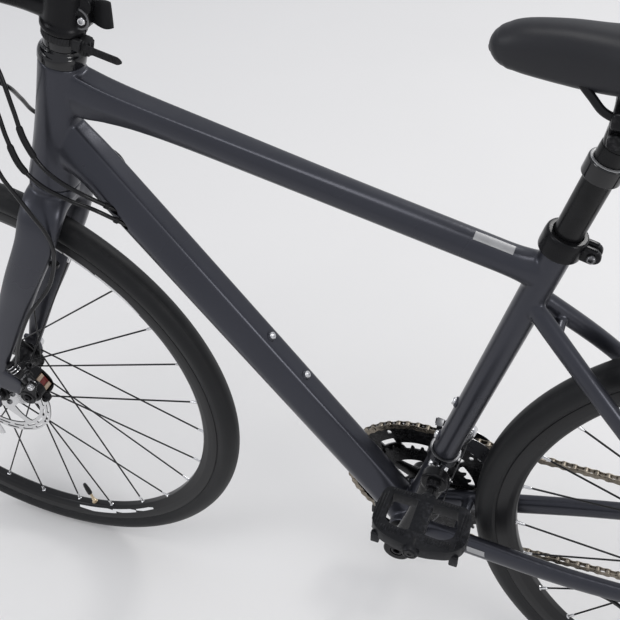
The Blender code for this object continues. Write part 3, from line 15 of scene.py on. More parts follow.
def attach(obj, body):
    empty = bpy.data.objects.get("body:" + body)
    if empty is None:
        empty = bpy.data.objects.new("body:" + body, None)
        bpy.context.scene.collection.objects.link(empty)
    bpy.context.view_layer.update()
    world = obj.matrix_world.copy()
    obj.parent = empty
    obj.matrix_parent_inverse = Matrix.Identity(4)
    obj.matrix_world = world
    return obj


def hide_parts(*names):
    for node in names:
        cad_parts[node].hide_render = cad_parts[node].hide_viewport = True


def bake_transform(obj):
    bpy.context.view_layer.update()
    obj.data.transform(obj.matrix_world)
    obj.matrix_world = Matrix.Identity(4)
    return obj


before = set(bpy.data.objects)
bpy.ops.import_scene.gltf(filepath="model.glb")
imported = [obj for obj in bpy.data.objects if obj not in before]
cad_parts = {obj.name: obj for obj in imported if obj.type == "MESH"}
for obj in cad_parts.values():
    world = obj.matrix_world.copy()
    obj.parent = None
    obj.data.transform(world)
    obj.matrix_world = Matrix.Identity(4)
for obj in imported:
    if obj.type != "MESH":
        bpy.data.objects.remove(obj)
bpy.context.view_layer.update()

# ------------------------------------------------------------------ the CAD's driving dimensions (mm, degrees)
MM = 0.001
SHIFT = np.array([81.371, 3.194, 0.0])
WHEEL_R, TYRE_W = 343.0, 31.5
RIM_R, RIM_IN, RIM_HALF = 316.0, 293.0, 11.6
SPOKES, CROSSES = 28, 3
BB_Z, REAR_X, FRONT_X = 278.0, 421.0, -584.0
HEAD_ANGLE, SEAT_ANGLE, RAKE, STEER_REST = 71.0, 73.9, 46.5, 2.2
HEAD_LOW, HEAD_TOP = 396.5, 550.0
SEAT_TUBE_R, POST_R, SEAT_TUBE_TOP = 15.0, 13.6, 484.0
CRANK, CRANK_ANGLE, PEDAL_TILT = 170.0, 75.0, -2.0
RING_TEETH, RING_R, RING_Y = 50, 101.1, 49.0
COG_R, COG_Y = 34.6, 40.6
COGS, COG_STEP, COG_FIRST_Y, PITCH = (12, 13, 14, 15, 17, 19, 21, 23), 4.8, 59.8, 12.7
PULLEY_R, GUIDE, TENSION = 22.5, (418.0, 268.0), (374.0, 228.0)
FRONT_ROTOR_Y, REAR_ROTOR_Y = -37.5, -51.5
FRONT_SPOKE_0, REAR_SPOKE_0 = 31.0, 31.7
BAR_R, STEM_LEN, STEM_S = 11.1, 90.0, 606.0


def pt(*p):
    return np.array(p, float)


def unit(v):
    v = np.asarray(v, float)
    return v / np.linalg.norm(v)


def spun(axis, degrees):
    """The rotation matrix about an axis."""
    return np.array(Matrix.Rotation(math.radians(degrees), 3, Vector(unit(axis))))


def basis(axis, side=(0, 1, 0)):
    """Columns x, y, z, with z along axis and y as near side as it can be."""
    z = unit(axis)
    y = np.asarray(side, float)
    y = y - z * y.dot(z)
    if np.linalg.norm(y) < 1e-6:
        y = pt(1, 0, 0) - z * z[0]
    y = unit(y)
    return np.column_stack([np.cross(y, z), y, z])


A, B = math.radians(HEAD_ANGLE), math.radians(SEAT_ANGLE)
STEER_AXIS, STEER_BACK = pt(math.cos(A), 0, math.sin(A)), pt(math.sin(A), 0, -math.cos(A))
STEER_0 = pt(FRONT_X, 0, WHEEL_R) + STEER_BACK * RAKE
SEAT_AXIS, SEAT_BACK = pt(math.cos(B), 0, math.sin(B)), pt(math.sin(B), 0, -math.cos(B))
BB = pt(0, 0, BB_Z)
F_C, R_C = pt(FRONT_X, 0, WHEEL_R), pt(REAR_X, 0, WHEEL_R)
STEER_TURN = spun(STEER_AXIS, STEER_REST)


def st(back, y, s):
    """A point by its distance behind the steering axis, its side, and its height along that axis."""
    return STEER_0 + STEER_BACK * back + pt(0, y, 0) + STEER_AXIS * s


def se(back, y, s):
    """The same for the seat tube's axis."""
    return BB + SEAT_BACK * back + pt(0, y, 0) + SEAT_AXIS * s


def steered(p):
    return STEER_0 + (np.asarray(p, float) - STEER_0) @ STEER_TURN.T


def unsteered(p):
    return STEER_0 + (np.asarray(p, float) - STEER_0) @ STEER_TURN


def polar(r, degrees):
    return pt(r * math.cos(math.radians(degrees)), 0, r * math.sin(math.radians(degrees)))


# ------------------------------------------------------------------ shapes: (points, faces)
def grid_faces(rows, cols, wrap_rows, wrap_cols):
    r = np.arange(rows if wrap_rows else rows - 1)
    c = np.arange(cols if wrap_cols else cols - 1)
    r, c = np.meshgrid(r, c, indexing="ij")
    r2, c2 = (r + 1) % rows, (c + 1) % cols
    quads = np.stack([r * cols + c, r * cols + c2, r2 * cols + c2, r2 * cols + c], -1).reshape(-1, 4)
    return [tuple(q) for q in quads.tolist()]


def join(*shapes):
    points, faces, n = [], [], 0
    for v, f in shapes:
        points.append(np.asarray(v, float))
        faces += [tuple(i + n for i in face) for face in f]
        n += len(v)
    return np.vstack(points), faces


def lathe(profile, origin=(0, 0, 0), axis=(0, 0, 1), steps=72, closed=False, side=(0, 1, 0), start=0.0, sweep=360.0):
    """A turned surface; profile is (radius, height) along the axis."""
    prof = np.asarray(profile, float)
    whole = sweep > 359.99
    rows = steps if whole else steps + 1
    t = np.radians(start + np.arange(rows) * sweep / steps)
    v = np.zeros((rows, len(prof), 3))
    v[..., 0] = np.cos(t)[:, None] * prof[None, :, 0]
    v[..., 1] = np.sin(t)[:, None] * prof[None, :, 0]
    v[..., 2] = prof[None, :, 1]
    faces = grid_faces(rows, len(prof), whole, closed)
    if not whole and closed:
        n = len(prof)
        faces += [tuple(range(n)), tuple(range((rows - 1) * n, rows * n))[::-1]]
    return v.reshape(-1, 3) @ basis(axis, side).T + np.asarray(origin, float), faces


def rounded(points, radius, n=3, closed=True):
    """The polyline with its corners turned into arcs. radius is one number or one for each point."""
    p = [np.asarray(q, float) for q in points]
    radii = [radius] * len(p) if np.isscalar(radius) else list(radius)
    out = []
    for i, (q, r) in enumerate(zip(p, radii)):
        if (not closed and i in (0, len(p) - 1)) or r <= 0:
            out.append(q)
            continue
        a, b = p[i - 1] - q, p[(i + 1) % len(p)] - q
        la, lb = np.linalg.norm(a), np.linalg.norm(b)
        if la < 1e-6 or lb < 1e-6:
            out.append(q)
            continue
        a, b = a / la, b / lb
        reach = min(r, la * 0.45, lb * 0.45)
        for k in range(n + 1):
            t = k / n
            out.append(q + a * reach * (1 - t) ** 2 + b * reach * t ** 2)
    return out


def spline(points, per=8):
    """Catmull-Rom rows through rows of numbers."""
    p = np.asarray(points, float)
    p = np.vstack([p[0] * 2 - p[1], p, p[-1] * 2 - p[-2]])
    out = []
    for i in range(1, len(p) - 2):
        a, b, c, d = p[i - 1:i + 3]
        for k in range(per):
            u = k / per
            out.append(0.5 * (2 * b + (c - a) * u + (2 * a - 5 * b + 4 * c - d) * u * u + (3 * b - a - 3 * c + d) * u ** 3))
    out.append(p[-2])
    return np.array(out)


def loft(sections, sides=40, per=6, round_ends=0.0):
    """A skin over oval sections (centre, half width, half height, up, squareness), smoothed between them."""
    rows = np.array([[*c, a, b, *unit(up), sq] for c, a, b, up, sq in sections], float)
    rows = spline(rows, per) if per > 1 else rows
    if round_ends > 0:
        first, last = rows[0].copy(), rows[-1].copy()
        d0, d1 = unit(rows[0][:3] - rows[1][:3]), unit(rows[-1][:3] - rows[-2][:3])
        head, tail = [], []
        for k in (3, 2, 1):
            t = math.radians(90 * k / 3.0)
            for base, d, into in ((first, d0, head), (last, d1, tail)):
                r = base.copy()
                r[:3] = base[:3] + d * round_ends * math.sin(t)
                r[3:5] = base[3:5] - round_ends * (1 - math.cos(t))
                into.append(r)
        rows = np.vstack([np.array(head), rows, np.array(tail[::-1])])
    centres = rows[:, :3]
    t = 2 * math.pi * (np.arange(sides) + 0.5) / sides
    c, s = np.cos(t), np.sin(t)
    v = []
    for i, row in enumerate(rows):
        ahead = unit(centres[min(i + 1, len(rows) - 1)] - centres[max(i - 1, 0)])
        up = row[5:8]
        w = unit(up - ahead * ahead.dot(up))
        u = np.cross(w, ahead)
        p = 2.0 / row[8]
        x = row[3] * np.sign(c) * np.abs(c) ** p
        y = row[4] * np.sign(s) * np.abs(s) ** p
        v.append(row[:3] + x[:, None] * u + y[:, None] * w)
    faces = grid_faces(len(rows), sides, False, True)
    faces += [tuple(range(sides))[::-1], tuple(range((len(rows) - 1) * sides, len(rows) * sides))]
    return np.vstack(v), faces


def facet_loft(sections, sides=120, per=10):
    """A skin over oval sections that turn into flat faces: (centre, half width, half height, up, squareness, upper, lower).
    upper and lower are the share of the flat faces in that half, and the slope of its side face, as its nearness to the
    section's side and top."""
    rows = spline(np.array([[*c, a, b, *unit(up), sq, *upper, *lower] for c, a, b, up, sq, upper, lower in sections], float), per)
    centres = rows[:, :3]
    t = 2 * math.pi * (np.arange(sides) + 0.5) / sides
    c, s = np.cos(t), np.sin(t)
    v = []
    for i, row in enumerate(rows):
        ahead = unit(centres[min(i + 1, len(rows) - 1)] - centres[max(i - 1, 0)])
        w = unit(row[5:8] - ahead * ahead.dot(row[5:8]))
        u = np.cross(w, ahead)
        p = 2.0 / row[8]
        x = row[3] * np.sign(c) * np.abs(c) ** p
        y = row[4] * np.sign(s) * np.abs(s) ** p
        r = np.hypot(x, y)
        dx, dy = np.abs(x / r) + 1e-9, np.abs(y / r) + 1e-9
        near_side, near_top = np.where(s > 0, row[10], row[13]), np.where(s > 0, row[11], row[14])
        faces_at = (dx / row[3]) ** 14 + (dy / row[4]) ** 14 + (near_side * dx / row[3] + near_top * dy / row[4]) ** 14
        flat = faces_at ** (-1 / 14)
        share = np.clip(np.where(s > 0, row[9], row[12]), 0.0, 1.0)
        k = (r * (1 - share) + flat * share) / r
        v.append(row[:3] + (x * k)[:, None] * u + (y * k)[:, None] * w)
    faces = grid_faces(len(rows), sides, False, True)
    faces += [tuple(range(sides))[::-1], tuple(range((len(rows) - 1) * sides, len(rows) * sides))]
    return np.vstack(v), faces


def skin_patch(a, b, up, half_w, half_h, first, last, lift=0.3, thick=0.25, nu=6, nv=10, squareness=2.0):
    """A thin film on an oval tube from a to b, between two angles from its upper side (degrees, left negative)."""
    a, b = np.asarray(a, float), np.asarray(b, float)
    ahead = unit(b - a)
    w = unit(np.asarray(up, float) - ahead * ahead.dot(up))
    u = np.cross(w, ahead)
    layers = []
    for extra in (lift, lift - thick):
        for i in range(nu + 1):
            for j in range(nv + 1):
                t = math.radians(first + (last - first) * j / nv)
                p = 2.0 / squareness
                x, y = math.sin(t), math.cos(t)
                layers.append(a + (b - a) * i / nu + u * (half_w + extra) * math.copysign(abs(x) ** p, x) + w * (half_h + extra) * math.copysign(abs(y) ** p, y))
    m = (nu + 1) * (nv + 1)
    faces = []
    for i in range(nu):
        for j in range(nv):
            q = (i * (nv + 1) + j, i * (nv + 1) + j + 1, (i + 1) * (nv + 1) + j + 1, (i + 1) * (nv + 1) + j)
            faces += [q, tuple(m + k for k in q)[::-1]]
    edge = [j for j in range(nv + 1)] + [i * (nv + 1) + nv for i in range(1, nu + 1)] + [nu * (nv + 1) + j for j in range(nv - 1, -1, -1)] + [i * (nv + 1) for i in range(nu - 1, 0, -1)]
    faces += [(edge[k - 1], edge[k], m + edge[k], m + edge[k - 1]) for k in range(len(edge))]
    return np.array(layers), faces


def by_wall(shape, axis=(0, 1, 0)):
    """The shape's faces across the axis, and those along it, as two shapes."""
    v, f = shape
    v = np.asarray(v)
    flats, walls = [], []
    for face in f:
        n = np.zeros(3)
        for i in range(len(face)):
            n = n + np.cross(v[face[i - 1]] - v[face[0]], v[face[i]] - v[face[0]])
        size = np.linalg.norm(n)
        (flats if size > 0 and abs(n.dot(axis)) / size > 0.7 else walls).append(face)
    return (v, flats), (v, walls)


def tube(points, radius, sides=14, caps=True, flat=1.0):
    """A round tube through the points. radius is one number or one for each point."""
    p = np.asarray(points, float)
    n = len(p)
    r = np.full(n, float(radius)) if np.isscalar(radius) else np.asarray(radius, float)
    ahead = np.gradient(p, axis=0)
    ahead /= np.linalg.norm(ahead, axis=1)[:, None]
    ref = pt(0, 1, 0) if abs(ahead[0][1]) < 0.9 else pt(1, 0, 0)
    u = unit(np.cross(ref, ahead[0]))
    t = 2 * math.pi * np.arange(sides) / sides
    v = []
    for i in range(n):
        u = unit(u - ahead[i] * u.dot(ahead[i]))
        w = np.cross(ahead[i], u)
        v.append(p[i] + r[i] * (np.cos(t)[:, None] * u + flat * np.sin(t)[:, None] * w))
    faces = grid_faces(n, sides, False, True)
    if caps:
        faces += [tuple(range(sides))[::-1], tuple(range((n - 1) * sides, n * sides))]
    return np.vstack(v), faces


def cyl(a, b, r, steps=32, edge=0.4, r2=None):
    """A cylinder or cone from a to b with eased edges."""
    a, b = np.asarray(a, float), np.asarray(b, float)
    h = np.linalg.norm(b - a)
    r2 = r if r2 is None else r2
    e = min(edge, h * 0.4, r * 0.4)
    prof = [(0, 0), (r - e, 0), (r - e * 0.3, e * 0.3), (r, e), (r2, h - e), (r2 - e * 0.3, h - e * 0.3), (r2 - e, h), (0, h)]
    return lathe(prof, a, b - a, steps)


def rbox(size, origin, axis=(0, 0, 1), side=(0, 1, 0), edge=1.0, seg=3):
    """A box of x, y, z size about origin with eased edges: local Z along axis, local Y along side."""
    work = bmesh.new()
    bmesh.ops.create_cube(work, size=1.0)
    for v in work.verts:
        v.co = Vector((v.co.x * size[0], v.co.y * size[1], v.co.z * size[2]))
    if edge > 0:
        bmesh.ops.bevel(work, geom=work.edges[:], offset=min(edge, min(size) * 0.45), segments=seg, profile=0.5, affect="EDGES")
    work.verts.ensure_lookup_table()
    v = np.array([v.co[:] for v in work.verts])
    f = [tuple(x.index for x in face.verts) for face in work.faces]
    work.free()
    return v @ basis(axis, side).T + np.asarray(origin, float), f


def temp(shape):
    mesh = bpy.data.meshes.new("temp")
    mesh.from_pydata((np.asarray(shape[0]) * MM).tolist(), [], shape[1])
    obj = bpy.data.objects.new("temp", mesh)
    bpy.context.scene.collection.objects.link(obj)
    return obj


def settled(obj, weld=2e-6):
    """The object's evaluated mesh as a shape; the object goes."""
    bpy.context.view_layer.update()
    mesh = bpy.data.meshes.new_from_object(obj.evaluated_get(bpy.context.evaluated_depsgraph_get()))
    mesh.transform(obj.matrix_world)
    work = bmesh.new()
    work.from_mesh(mesh)
    if weld:
        bmesh.ops.remove_doubles(work, verts=work.verts, dist=weld)
    bmesh.ops.recalc_face_normals(work, faces=work.faces)
    work.verts.index_update()
    v = np.array([x.co[:] for x in work.verts]) / MM
    f = [tuple(x.index for x in face.verts) for face in work.faces]
    work.free()
    bpy.data.objects.remove(obj, do_unlink=True)
    bpy.data.meshes.remove(mesh)
    return v, f


def closed_up(obj):
    work = bmesh.new()
    work.from_mesh(obj.data)
    bmesh.ops.remove_doubles(work, verts=work.verts, dist=2e-6)
    bmesh.ops.recalc_face_normals(work, faces=work.faces)
    work.to_mesh(obj.data)
    work.free()
    return obj


def boolean(base, cuts=(), adds=(), solver="EXACT"):
    obj = closed_up(temp(base))
    others = []
    for kind, group in (("UNION", adds), ("DIFFERENCE", cuts)):
        for shape in group:
            other = closed_up(temp(shape))
            mod = obj.modifiers.new(kind, "BOOLEAN")
            mod.operation, mod.object, mod.solver = kind, other, solver
            others.append(other)
    done = settled(obj)
    for other in others:
        bpy.data.objects.remove(other, do_unlink=True)
    return done


def welded(shapes, voxel, smooth=6, factor=0.5):
    """The shapes run together into one skin with soft fillets, as a smoothed weld has."""
    obj = closed_up(temp(join(*shapes)))
    mod = obj.modifiers.new("Remesh", "REMESH")
    mod.mode, mod.voxel_size, mod.adaptivity = "VOXEL", voxel * MM, 0.0
    soft = obj.modifiers.new("Smooth", "SMOOTH")
    soft.factor, soft.iterations = factor, smooth
    return settled(obj, weld=0)


def prism(outline, thickness, origin, axis=(0, -1, 0), side=(0, 0, 1), holes=(), edge=0.0, seg=2):
    """A flat outline extruded by thickness about its own plane, with eased edges. Its y runs along side."""
    curve = bpy.data.curves.new("outline", "CURVE")
    curve.dimensions, curve.fill_mode, curve.extrude = "2D", "BOTH", thickness / 2 * MM
    for loop in (outline, *holes):
        line = curve.splines.new("POLY")
        line.points.add(len(loop) - 1)
        for point, q in zip(line.points, loop):
            point.co = (q[0] * MM, q[1] * MM, 0, 1)
        line.use_cyclic_u = True
    obj = bpy.data.objects.new("outline", curve)
    bpy.context.scene.collection.objects.link(obj)
    v, f = settled(obj)
    bpy.data.curves.remove(curve)
    if edge > 0:
        obj = closed_up(temp((v, f)))
        dis = obj.modifiers.new("Flat", "DECIMATE")
        dis.decimate_type, dis.angle_limit = "DISSOLVE", math.radians(1.0)
        mod = obj.modifiers.new("Bevel", "BEVEL")
        mod.width, mod.segments, mod.limit_method, mod.angle_limit = edge * MM, seg, "ANGLE", math.radians(40)
        v, f = settled(obj)
    return v @ basis(axis, side).T + np.asarray(origin, float), f


def circle(r, n, cx=0.0, cy=0.0, start=0.0):
    return [(cx + r * math.cos(start + 2 * math.pi * k / n), cy + r * math.sin(start + 2 * math.pi * k / n)) for k in range(n)]


def placed(shape, origin=(0, 0, 0), axis=(0, 0, 1), side=(0, 1, 0)):
    v, f = shape
    return np.asarray(v) @ basis(axis, side).T + np.asarray(origin, float), f


def socket_bolt(at, axis, r, h, hexr=None, depth=None, steps=36, dome=0.0):
    """A screw's head from 'at' outwards along axis, with a hexagonal socket in it."""
    hexr = hexr or r * 0.52
    depth = depth or h * 0.6
    e = min(0.5, r * 0.16)
    rings = [[(x, y, 0.0) for x, y in circle(r, steps)], [(x, y, h - e - dome) for x, y in circle(r, steps)]]
    rings += [[(x, y, h - e * 0.3 - dome) for x, y in circle(r - e * 0.3, steps)], [(x, y, h) for x, y in circle(r - e - dome, steps)]]
    hexagon = []
    for k in range(steps):
        t = 2 * math.pi * k / steps
        local = (t % (math.pi / 3)) - math.pi / 6
        rr = hexr * math.cos(math.pi / 6) / math.cos(local)
        hexagon.append((rr * math.cos(t), rr * math.sin(t)))
    rings += [[(x * 1.04, y * 1.04, h) for x, y in hexagon], [(x, y, h - 0.2) for x, y in hexagon], [(x, y, h - depth) for x, y in hexagon]]
    v = [p for ring in rings for p in ring] + [(0, 0, h - depth - 0.3), (0, 0, 0)]
    faces = grid_faces(len(rings), steps, False, True)
    base, top = len(rings) * steps - steps, len(rings) * steps
    faces += [(base + k, base + (k + 1) % steps, top) for k in range(steps)]
    faces += [((k + 1) % steps, k, top + 1) for k in range(steps)]
    return placed((np.array(v), faces), at, axis)


def hex_nut(at, axis, across, h, steps=36):
    prof_rings = []
    for scale, z in ((1.0, 0.0), (1.0, h - 0.6), (0.93, h)):
        ring = []
        for k in range(steps):
            t = 2 * math.pi * k / steps
            local = (t % (math.pi / 3)) - math.pi / 6
            rr = min(across / 2 / math.cos(local), across * 0.56) * scale
            ring.append((rr * math.cos(t), rr * math.sin(t), z))
        prof_rings.append(ring)
    v = [p for ring in prof_rings for p in ring] + [(0, 0, h), (0, 0, 0)]
    faces = grid_faces(3, steps, False, True)
    faces += [(2 * steps + k, 2 * steps + (k + 1) % steps, 3 * steps) for k in range(steps)]
    faces += [((k + 1) % steps, k, 3 * steps + 1) for k in range(steps)]
    return placed((np.array(v), faces), at, axis)


# ------------------------------------------------------------------ finishes
def finish_of(name, base, rough, metal=0.0, grain=900.0, bump=0.02, blotch=14.0, vary=0.10, rvary=0.06, coat=0.0,
              coat_rough=0.3, spec=0.5, wear=0.0, wear_rgb=(0.4, 0.4, 0.4), dust=0.0, kind="noise", aniso=0.0):
    """A procedural finish: blotchy colour and gloss, a fine grain in relief, worn edges and a little dust."""
    m = bpy.data.materials.new(name)
    m.use_nodes = True
    tree = m.node_tree
    nodes, links = tree.nodes, tree.links
    shader = nodes["Principled BSDF"]
    shader.inputs["Metallic"].default_value = metal
    shader.inputs["Specular IOR Level"].default_value = spec
    shader.inputs["Coat Weight"].default_value = coat
    shader.inputs["Coat Roughness"].default_value = coat_rough
    shader.inputs["Anisotropic"].default_value = aniso
    coord = nodes.new("ShaderNodeTexCoord")

    def noise(scale, detail=3.0, rough_in=0.55, vector=None):
        n = nodes.new("ShaderNodeTexNoise")
        n.inputs["Scale"].default_value = scale
        n.inputs["Detail"].default_value = detail
        n.inputs["Roughness"].default_value = rough_in
        links.new(vector or coord.outputs["Object"], n.inputs["Vector"])
        return n

    def ranged(source, lo, hi, a=0.3, b=0.7):
        r = nodes.new("ShaderNodeMapRange")
        r.inputs["From Min"].default_value, r.inputs["From Max"].default_value = a, b
        r.inputs["To Min"].default_value, r.inputs["To Max"].default_value = lo, hi
        links.new(source, r.inputs["Value"])
        return r.outputs["Result"]

    def mix(fac, one, two):
        x = nodes.new("ShaderNodeMix")
        x.data_type = "RGBA"
        if isinstance(fac, float):
            x.inputs["Factor"].default_value = fac
        else:
            links.new(fac, x.inputs["Factor"])
        for slot, value in (("A", one), ("B", two)):
            socket = [i for i in x.inputs if i.name == slot and i.type == "RGBA"][0]
            if isinstance(value, tuple):
                socket.default_value = (*value, 1.0)
            else:
                links.new(value, socket)
        return [o for o in x.outputs if o.type == "RGBA"][0]

    broad = noise(blotch)
    colour = mix(ranged(broad.outputs["Fac"], 0.0, 1.0), tuple(c * (1 - vary) for c in base), tuple(min(1.0, c * (1 + vary)) for c in base))
    rough_out = ranged(broad.outputs["Fac"], rough - rvary, rough + rvary)
    if wear > 0:
        geo = nodes.new("ShaderNodeNewGeometry")
        edge = ranged(geo.outputs["Pointiness"], 0.0, 1.0, 0.52, 0.58)
        broken = noise(260.0, 4.0)
        both = nodes.new("ShaderNodeMath")
        both.operation = "MULTIPLY"
        links.new(edge, both.inputs[0])
        links.new(ranged(broken.outputs["Fac"], 0.0, wear, 0.45, 0.7), both.inputs[1])
        colour = mix(both.outputs["Value"], colour, wear_rgb)
    if dust > 0:
        geo = nodes.new("ShaderNodeNewGeometry")
        split = nodes.new("ShaderNodeSeparateXYZ")
        links.new(geo.outputs["Normal"], split.inputs["Vector"])
        up = ranged(split.outputs["Z"], 0.0, 1.0, 0.2, 1.0)
        speck = noise(70.0, 6.0, 0.7)
        both = nodes.new("ShaderNodeMath")
        both.operation = "MULTIPLY"
        links.new(up, both.inputs[0])
        links.new(ranged(speck.outputs["Fac"], 0.0, dust, 0.45, 0.75), both.inputs[1])
        colour = mix(both.outputs["Value"], colour, (0.42, 0.40, 0.38))
    links.new(colour, shader.inputs["Base Color"])
    if kind == "leather":
        cells = nodes.new("ShaderNodeTexVoronoi")
        cells.inputs["Scale"].default_value = grain
        links.new(coord.outputs["Object"], cells.inputs["Vector"])
        height = cells.outputs["Distance"]
    elif kind == "brushed":
        stretch = nodes.new("ShaderNodeMapping")
        stretch.inputs["Scale"].default_value = (0.04, 0.04, 1.0)
        links.new(coord.outputs["Object"], stretch.inputs["Vector"])
        fine = noise(grain, 2.0, 0.6, stretch.outputs["Vector"])
        height = fine.outputs["Fac"]
    elif kind == "rings":
        split = nodes.new("ShaderNodeSeparateXYZ")
        links.new(coord.outputs["Object"], split.inputs["Vector"])
        flat = nodes.new("ShaderNodeCombineXYZ")
        links.new(split.outputs["X"], flat.inputs["X"])
        links.new(split.outputs["Y"], flat.inputs["Y"])
        length = nodes.new("ShaderNodeVectorMath")
        length.operation = "LENGTH"
        links.new(flat.outputs["Vector"], length.inputs[0])
        again = nodes.new("ShaderNodeCombineXYZ")
        links.new(length.outputs["Value"], again.inputs["X"])
        fine = noise(grain, 3.0, 0.7, again.outputs["Vector"])
        height = fine.outputs["Fac"]
    else:
        fine = noise(grain, 3.0, 0.6)
        height = fine.outputs["Fac"]
    links.new(rough_out, shader.inputs["Roughness"])
    relief = nodes.new("ShaderNodeBump")
    relief.inputs["Strength"].default_value = 1.0
    relief.inputs["Distance"].default_value = bump * MM
    links.new(height, relief.inputs["Height"])
    links.new(relief.outputs["Normal"], shader.inputs["Normal"])
    return m


PAINT = finish_of("grey_paint", (0.037, 0.0385, 0.049), 0.29, 0.62, grain=2600, bump=0.010, blotch=9, vary=0.05, rvary=0.03,
                  coat=0.10, coat_rough=0.40, wear=0.10, wear_rgb=(0.16, 0.16, 0.17), dust=0.02)
ANODISED = finish_of("black_anodised", (0.008, 0.008, 0.009), 0.27, 0.40, grain=1800, bump=0.012, blotch=30, vary=0.15, rvary=0.05,
                     spec=0.22, wear=0.25, wear_rgb=(0.13, 0.13, 0.135), dust=0.01)
GLOSS = finish_of("gloss_black", (0.006, 0.006, 0.007), 0.12, 0.0, grain=500, bump=0.006, blotch=40, vary=0.1, rvary=0.04, spec=0.45, coat=0.1, coat_rough=0.08)
POST = finish_of("post_black", (0.006, 0.006, 0.0065), 0.25, 0.10, grain=1500, bump=0.010, blotch=42, vary=0.55, rvary=0.12, spec=0.22, coat=0.04, coat_rough=0.2, dust=0.05)
RESIN = finish_of("black_resin", (0.009, 0.009, 0.010), 0.40, 0.0, grain=1500, bump=0.030, blotch=25, vary=0.12, rvary=0.07, spec=0.24, wear=0.15, wear_rgb=(0.10, 0.10, 0.11), dust=0.02)
PEDAL = finish_of("pedal_resin", (0.0070, 0.0074, 0.0090), 0.38, 0.0, grain=1200, bump=0.030, blotch=25, vary=0.12, rvary=0.08, spec=0.16, wear=0.30, wear_rgb=(0.07, 0.07, 0.08), dust=0.02)
# Bright steel; it also paints the highlight along the front derailleur cage's plate edges.
STEEL_AND_HIGHLIGHT = finish_of("bright_steel", (0.66, 0.66, 0.67), 0.24, 1.0, grain=1600, bump=0.010, blotch=60, vary=0.06, rvary=0.08)
# Dark steel; it also paints the highlight rings on the stem's clamp ear and on the front derailleur band.
DARK_STEEL_AND_HIGHLIGHT = finish_of("dark_steel_and_highlight", (0.15, 0.15, 0.155), 0.32, 0.95, grain=1600, bump=0.010, blotch=60, vary=0.15, rvary=0.08)
EDGE = finish_of("shaded_edge", (0.07, 0.07, 0.072), 0.45, 0.8, grain=1600, bump=0.010, blotch=60, vary=0.15, rvary=0.08)
BAND = finish_of("satin_dark_metal", (0.035, 0.036, 0.041), 0.30, 0.85, grain=2400, bump=0.006, blotch=70, vary=0.15, rvary=0.07)
BLACK_RAIL = finish_of("black_rail", (0.009, 0.009, 0.010), 0.24, 0.3, grain=1400, bump=0.006, blotch=50, vary=0.12, rvary=0.05, spec=0.3)
DISC = finish_of("rotor_steel", (0.66, 0.66, 0.665), 0.22, 1.0, grain=1500, bump=0.012, blotch=40, vary=0.06, rvary=0.08, kind="rings", aniso=0.3)
CHAIN = finish_of("chain_steel", (0.25, 0.22, 0.18), 0.32, 1.0, grain=900, bump=0.010, blotch=90, vary=0.40, rvary=0.12)
BRASS = finish_of("brass", (0.58, 0.48, 0.34), 0.28, 1.0, grain=900, bump=0.010, blotch=60, vary=0.10, rvary=0.06)
TYRE = finish_of("tyre_rubber", (0.0085, 0.0088, 0.0098), 0.50, 0.0, grain=700, bump=0.040, blotch=7, vary=0.14, rvary=0.07, spec=0.24, dust=0.04, kind="rings")
RIM = finish_of("rim_black", (0.010, 0.010, 0.011), 0.30, 0.2, grain=1400, bump=0.010, blotch=10, vary=0.08, rvary=0.04, spec=0.30, dust=0.01)
RUBBER = finish_of("soft_rubber", (0.008, 0.008, 0.009), 0.55, 0.0, grain=900, bump=0.06, blotch=22, vary=0.12, rvary=0.06, spec=0.22, dust=0.02)
VINYL = finish_of("saddle_vinyl", (0.0145, 0.0147, 0.0178), 0.44, 0.0, grain=1300, bump=0.05, blotch=10, vary=0.10, rvary=0.05, spec=0.32, kind="leather", dust=0.01)
CABLE = finish_of("cable_housing", (0.006, 0.006, 0.007), 0.28, 0.0, grain=800, bump=0.012, blotch=35, vary=0.12, rvary=0.08, spec=0.30)
SPOKE = finish_of("black_spoke", (0.010, 0.010, 0.011), 0.34, 0.3, grain=900, bump=0.006, blotch=50, vary=0.15, rvary=0.06, spec=0.3)
WHITE = finish_of("white_mark", (0.80, 0.80, 0.80), 0.42, 0.0, grain=900, bump=0.006, blotch=20, vary=0.03, rvary=0.05)
# The pale label finish; it also paints the highlight ring on the seatpost bracket's top edge.
LABEL_AND_HIGHLIGHT = finish_of("pale_label_and_highlight", (0.33, 0.33, 0.335), 0.34, 0.2, grain=300, bump=0.010, blotch=50, vary=0.10, rvary=0.06)
RED = finish_of("dark_red_resin", (0.13, 0.010, 0.008), 0.36, 0.0, grain=900, bump=0.010, blotch=60, vary=0.2, rvary=0.06)
CREAM = finish_of("cream_resin", (0.36, 0.27, 0.20), 0.40, 0.0, grain=900, bump=0.010, blotch=60, vary=0.1, rvary=0.06)

# ------------------------------------------------------------------ pieces
made = {}


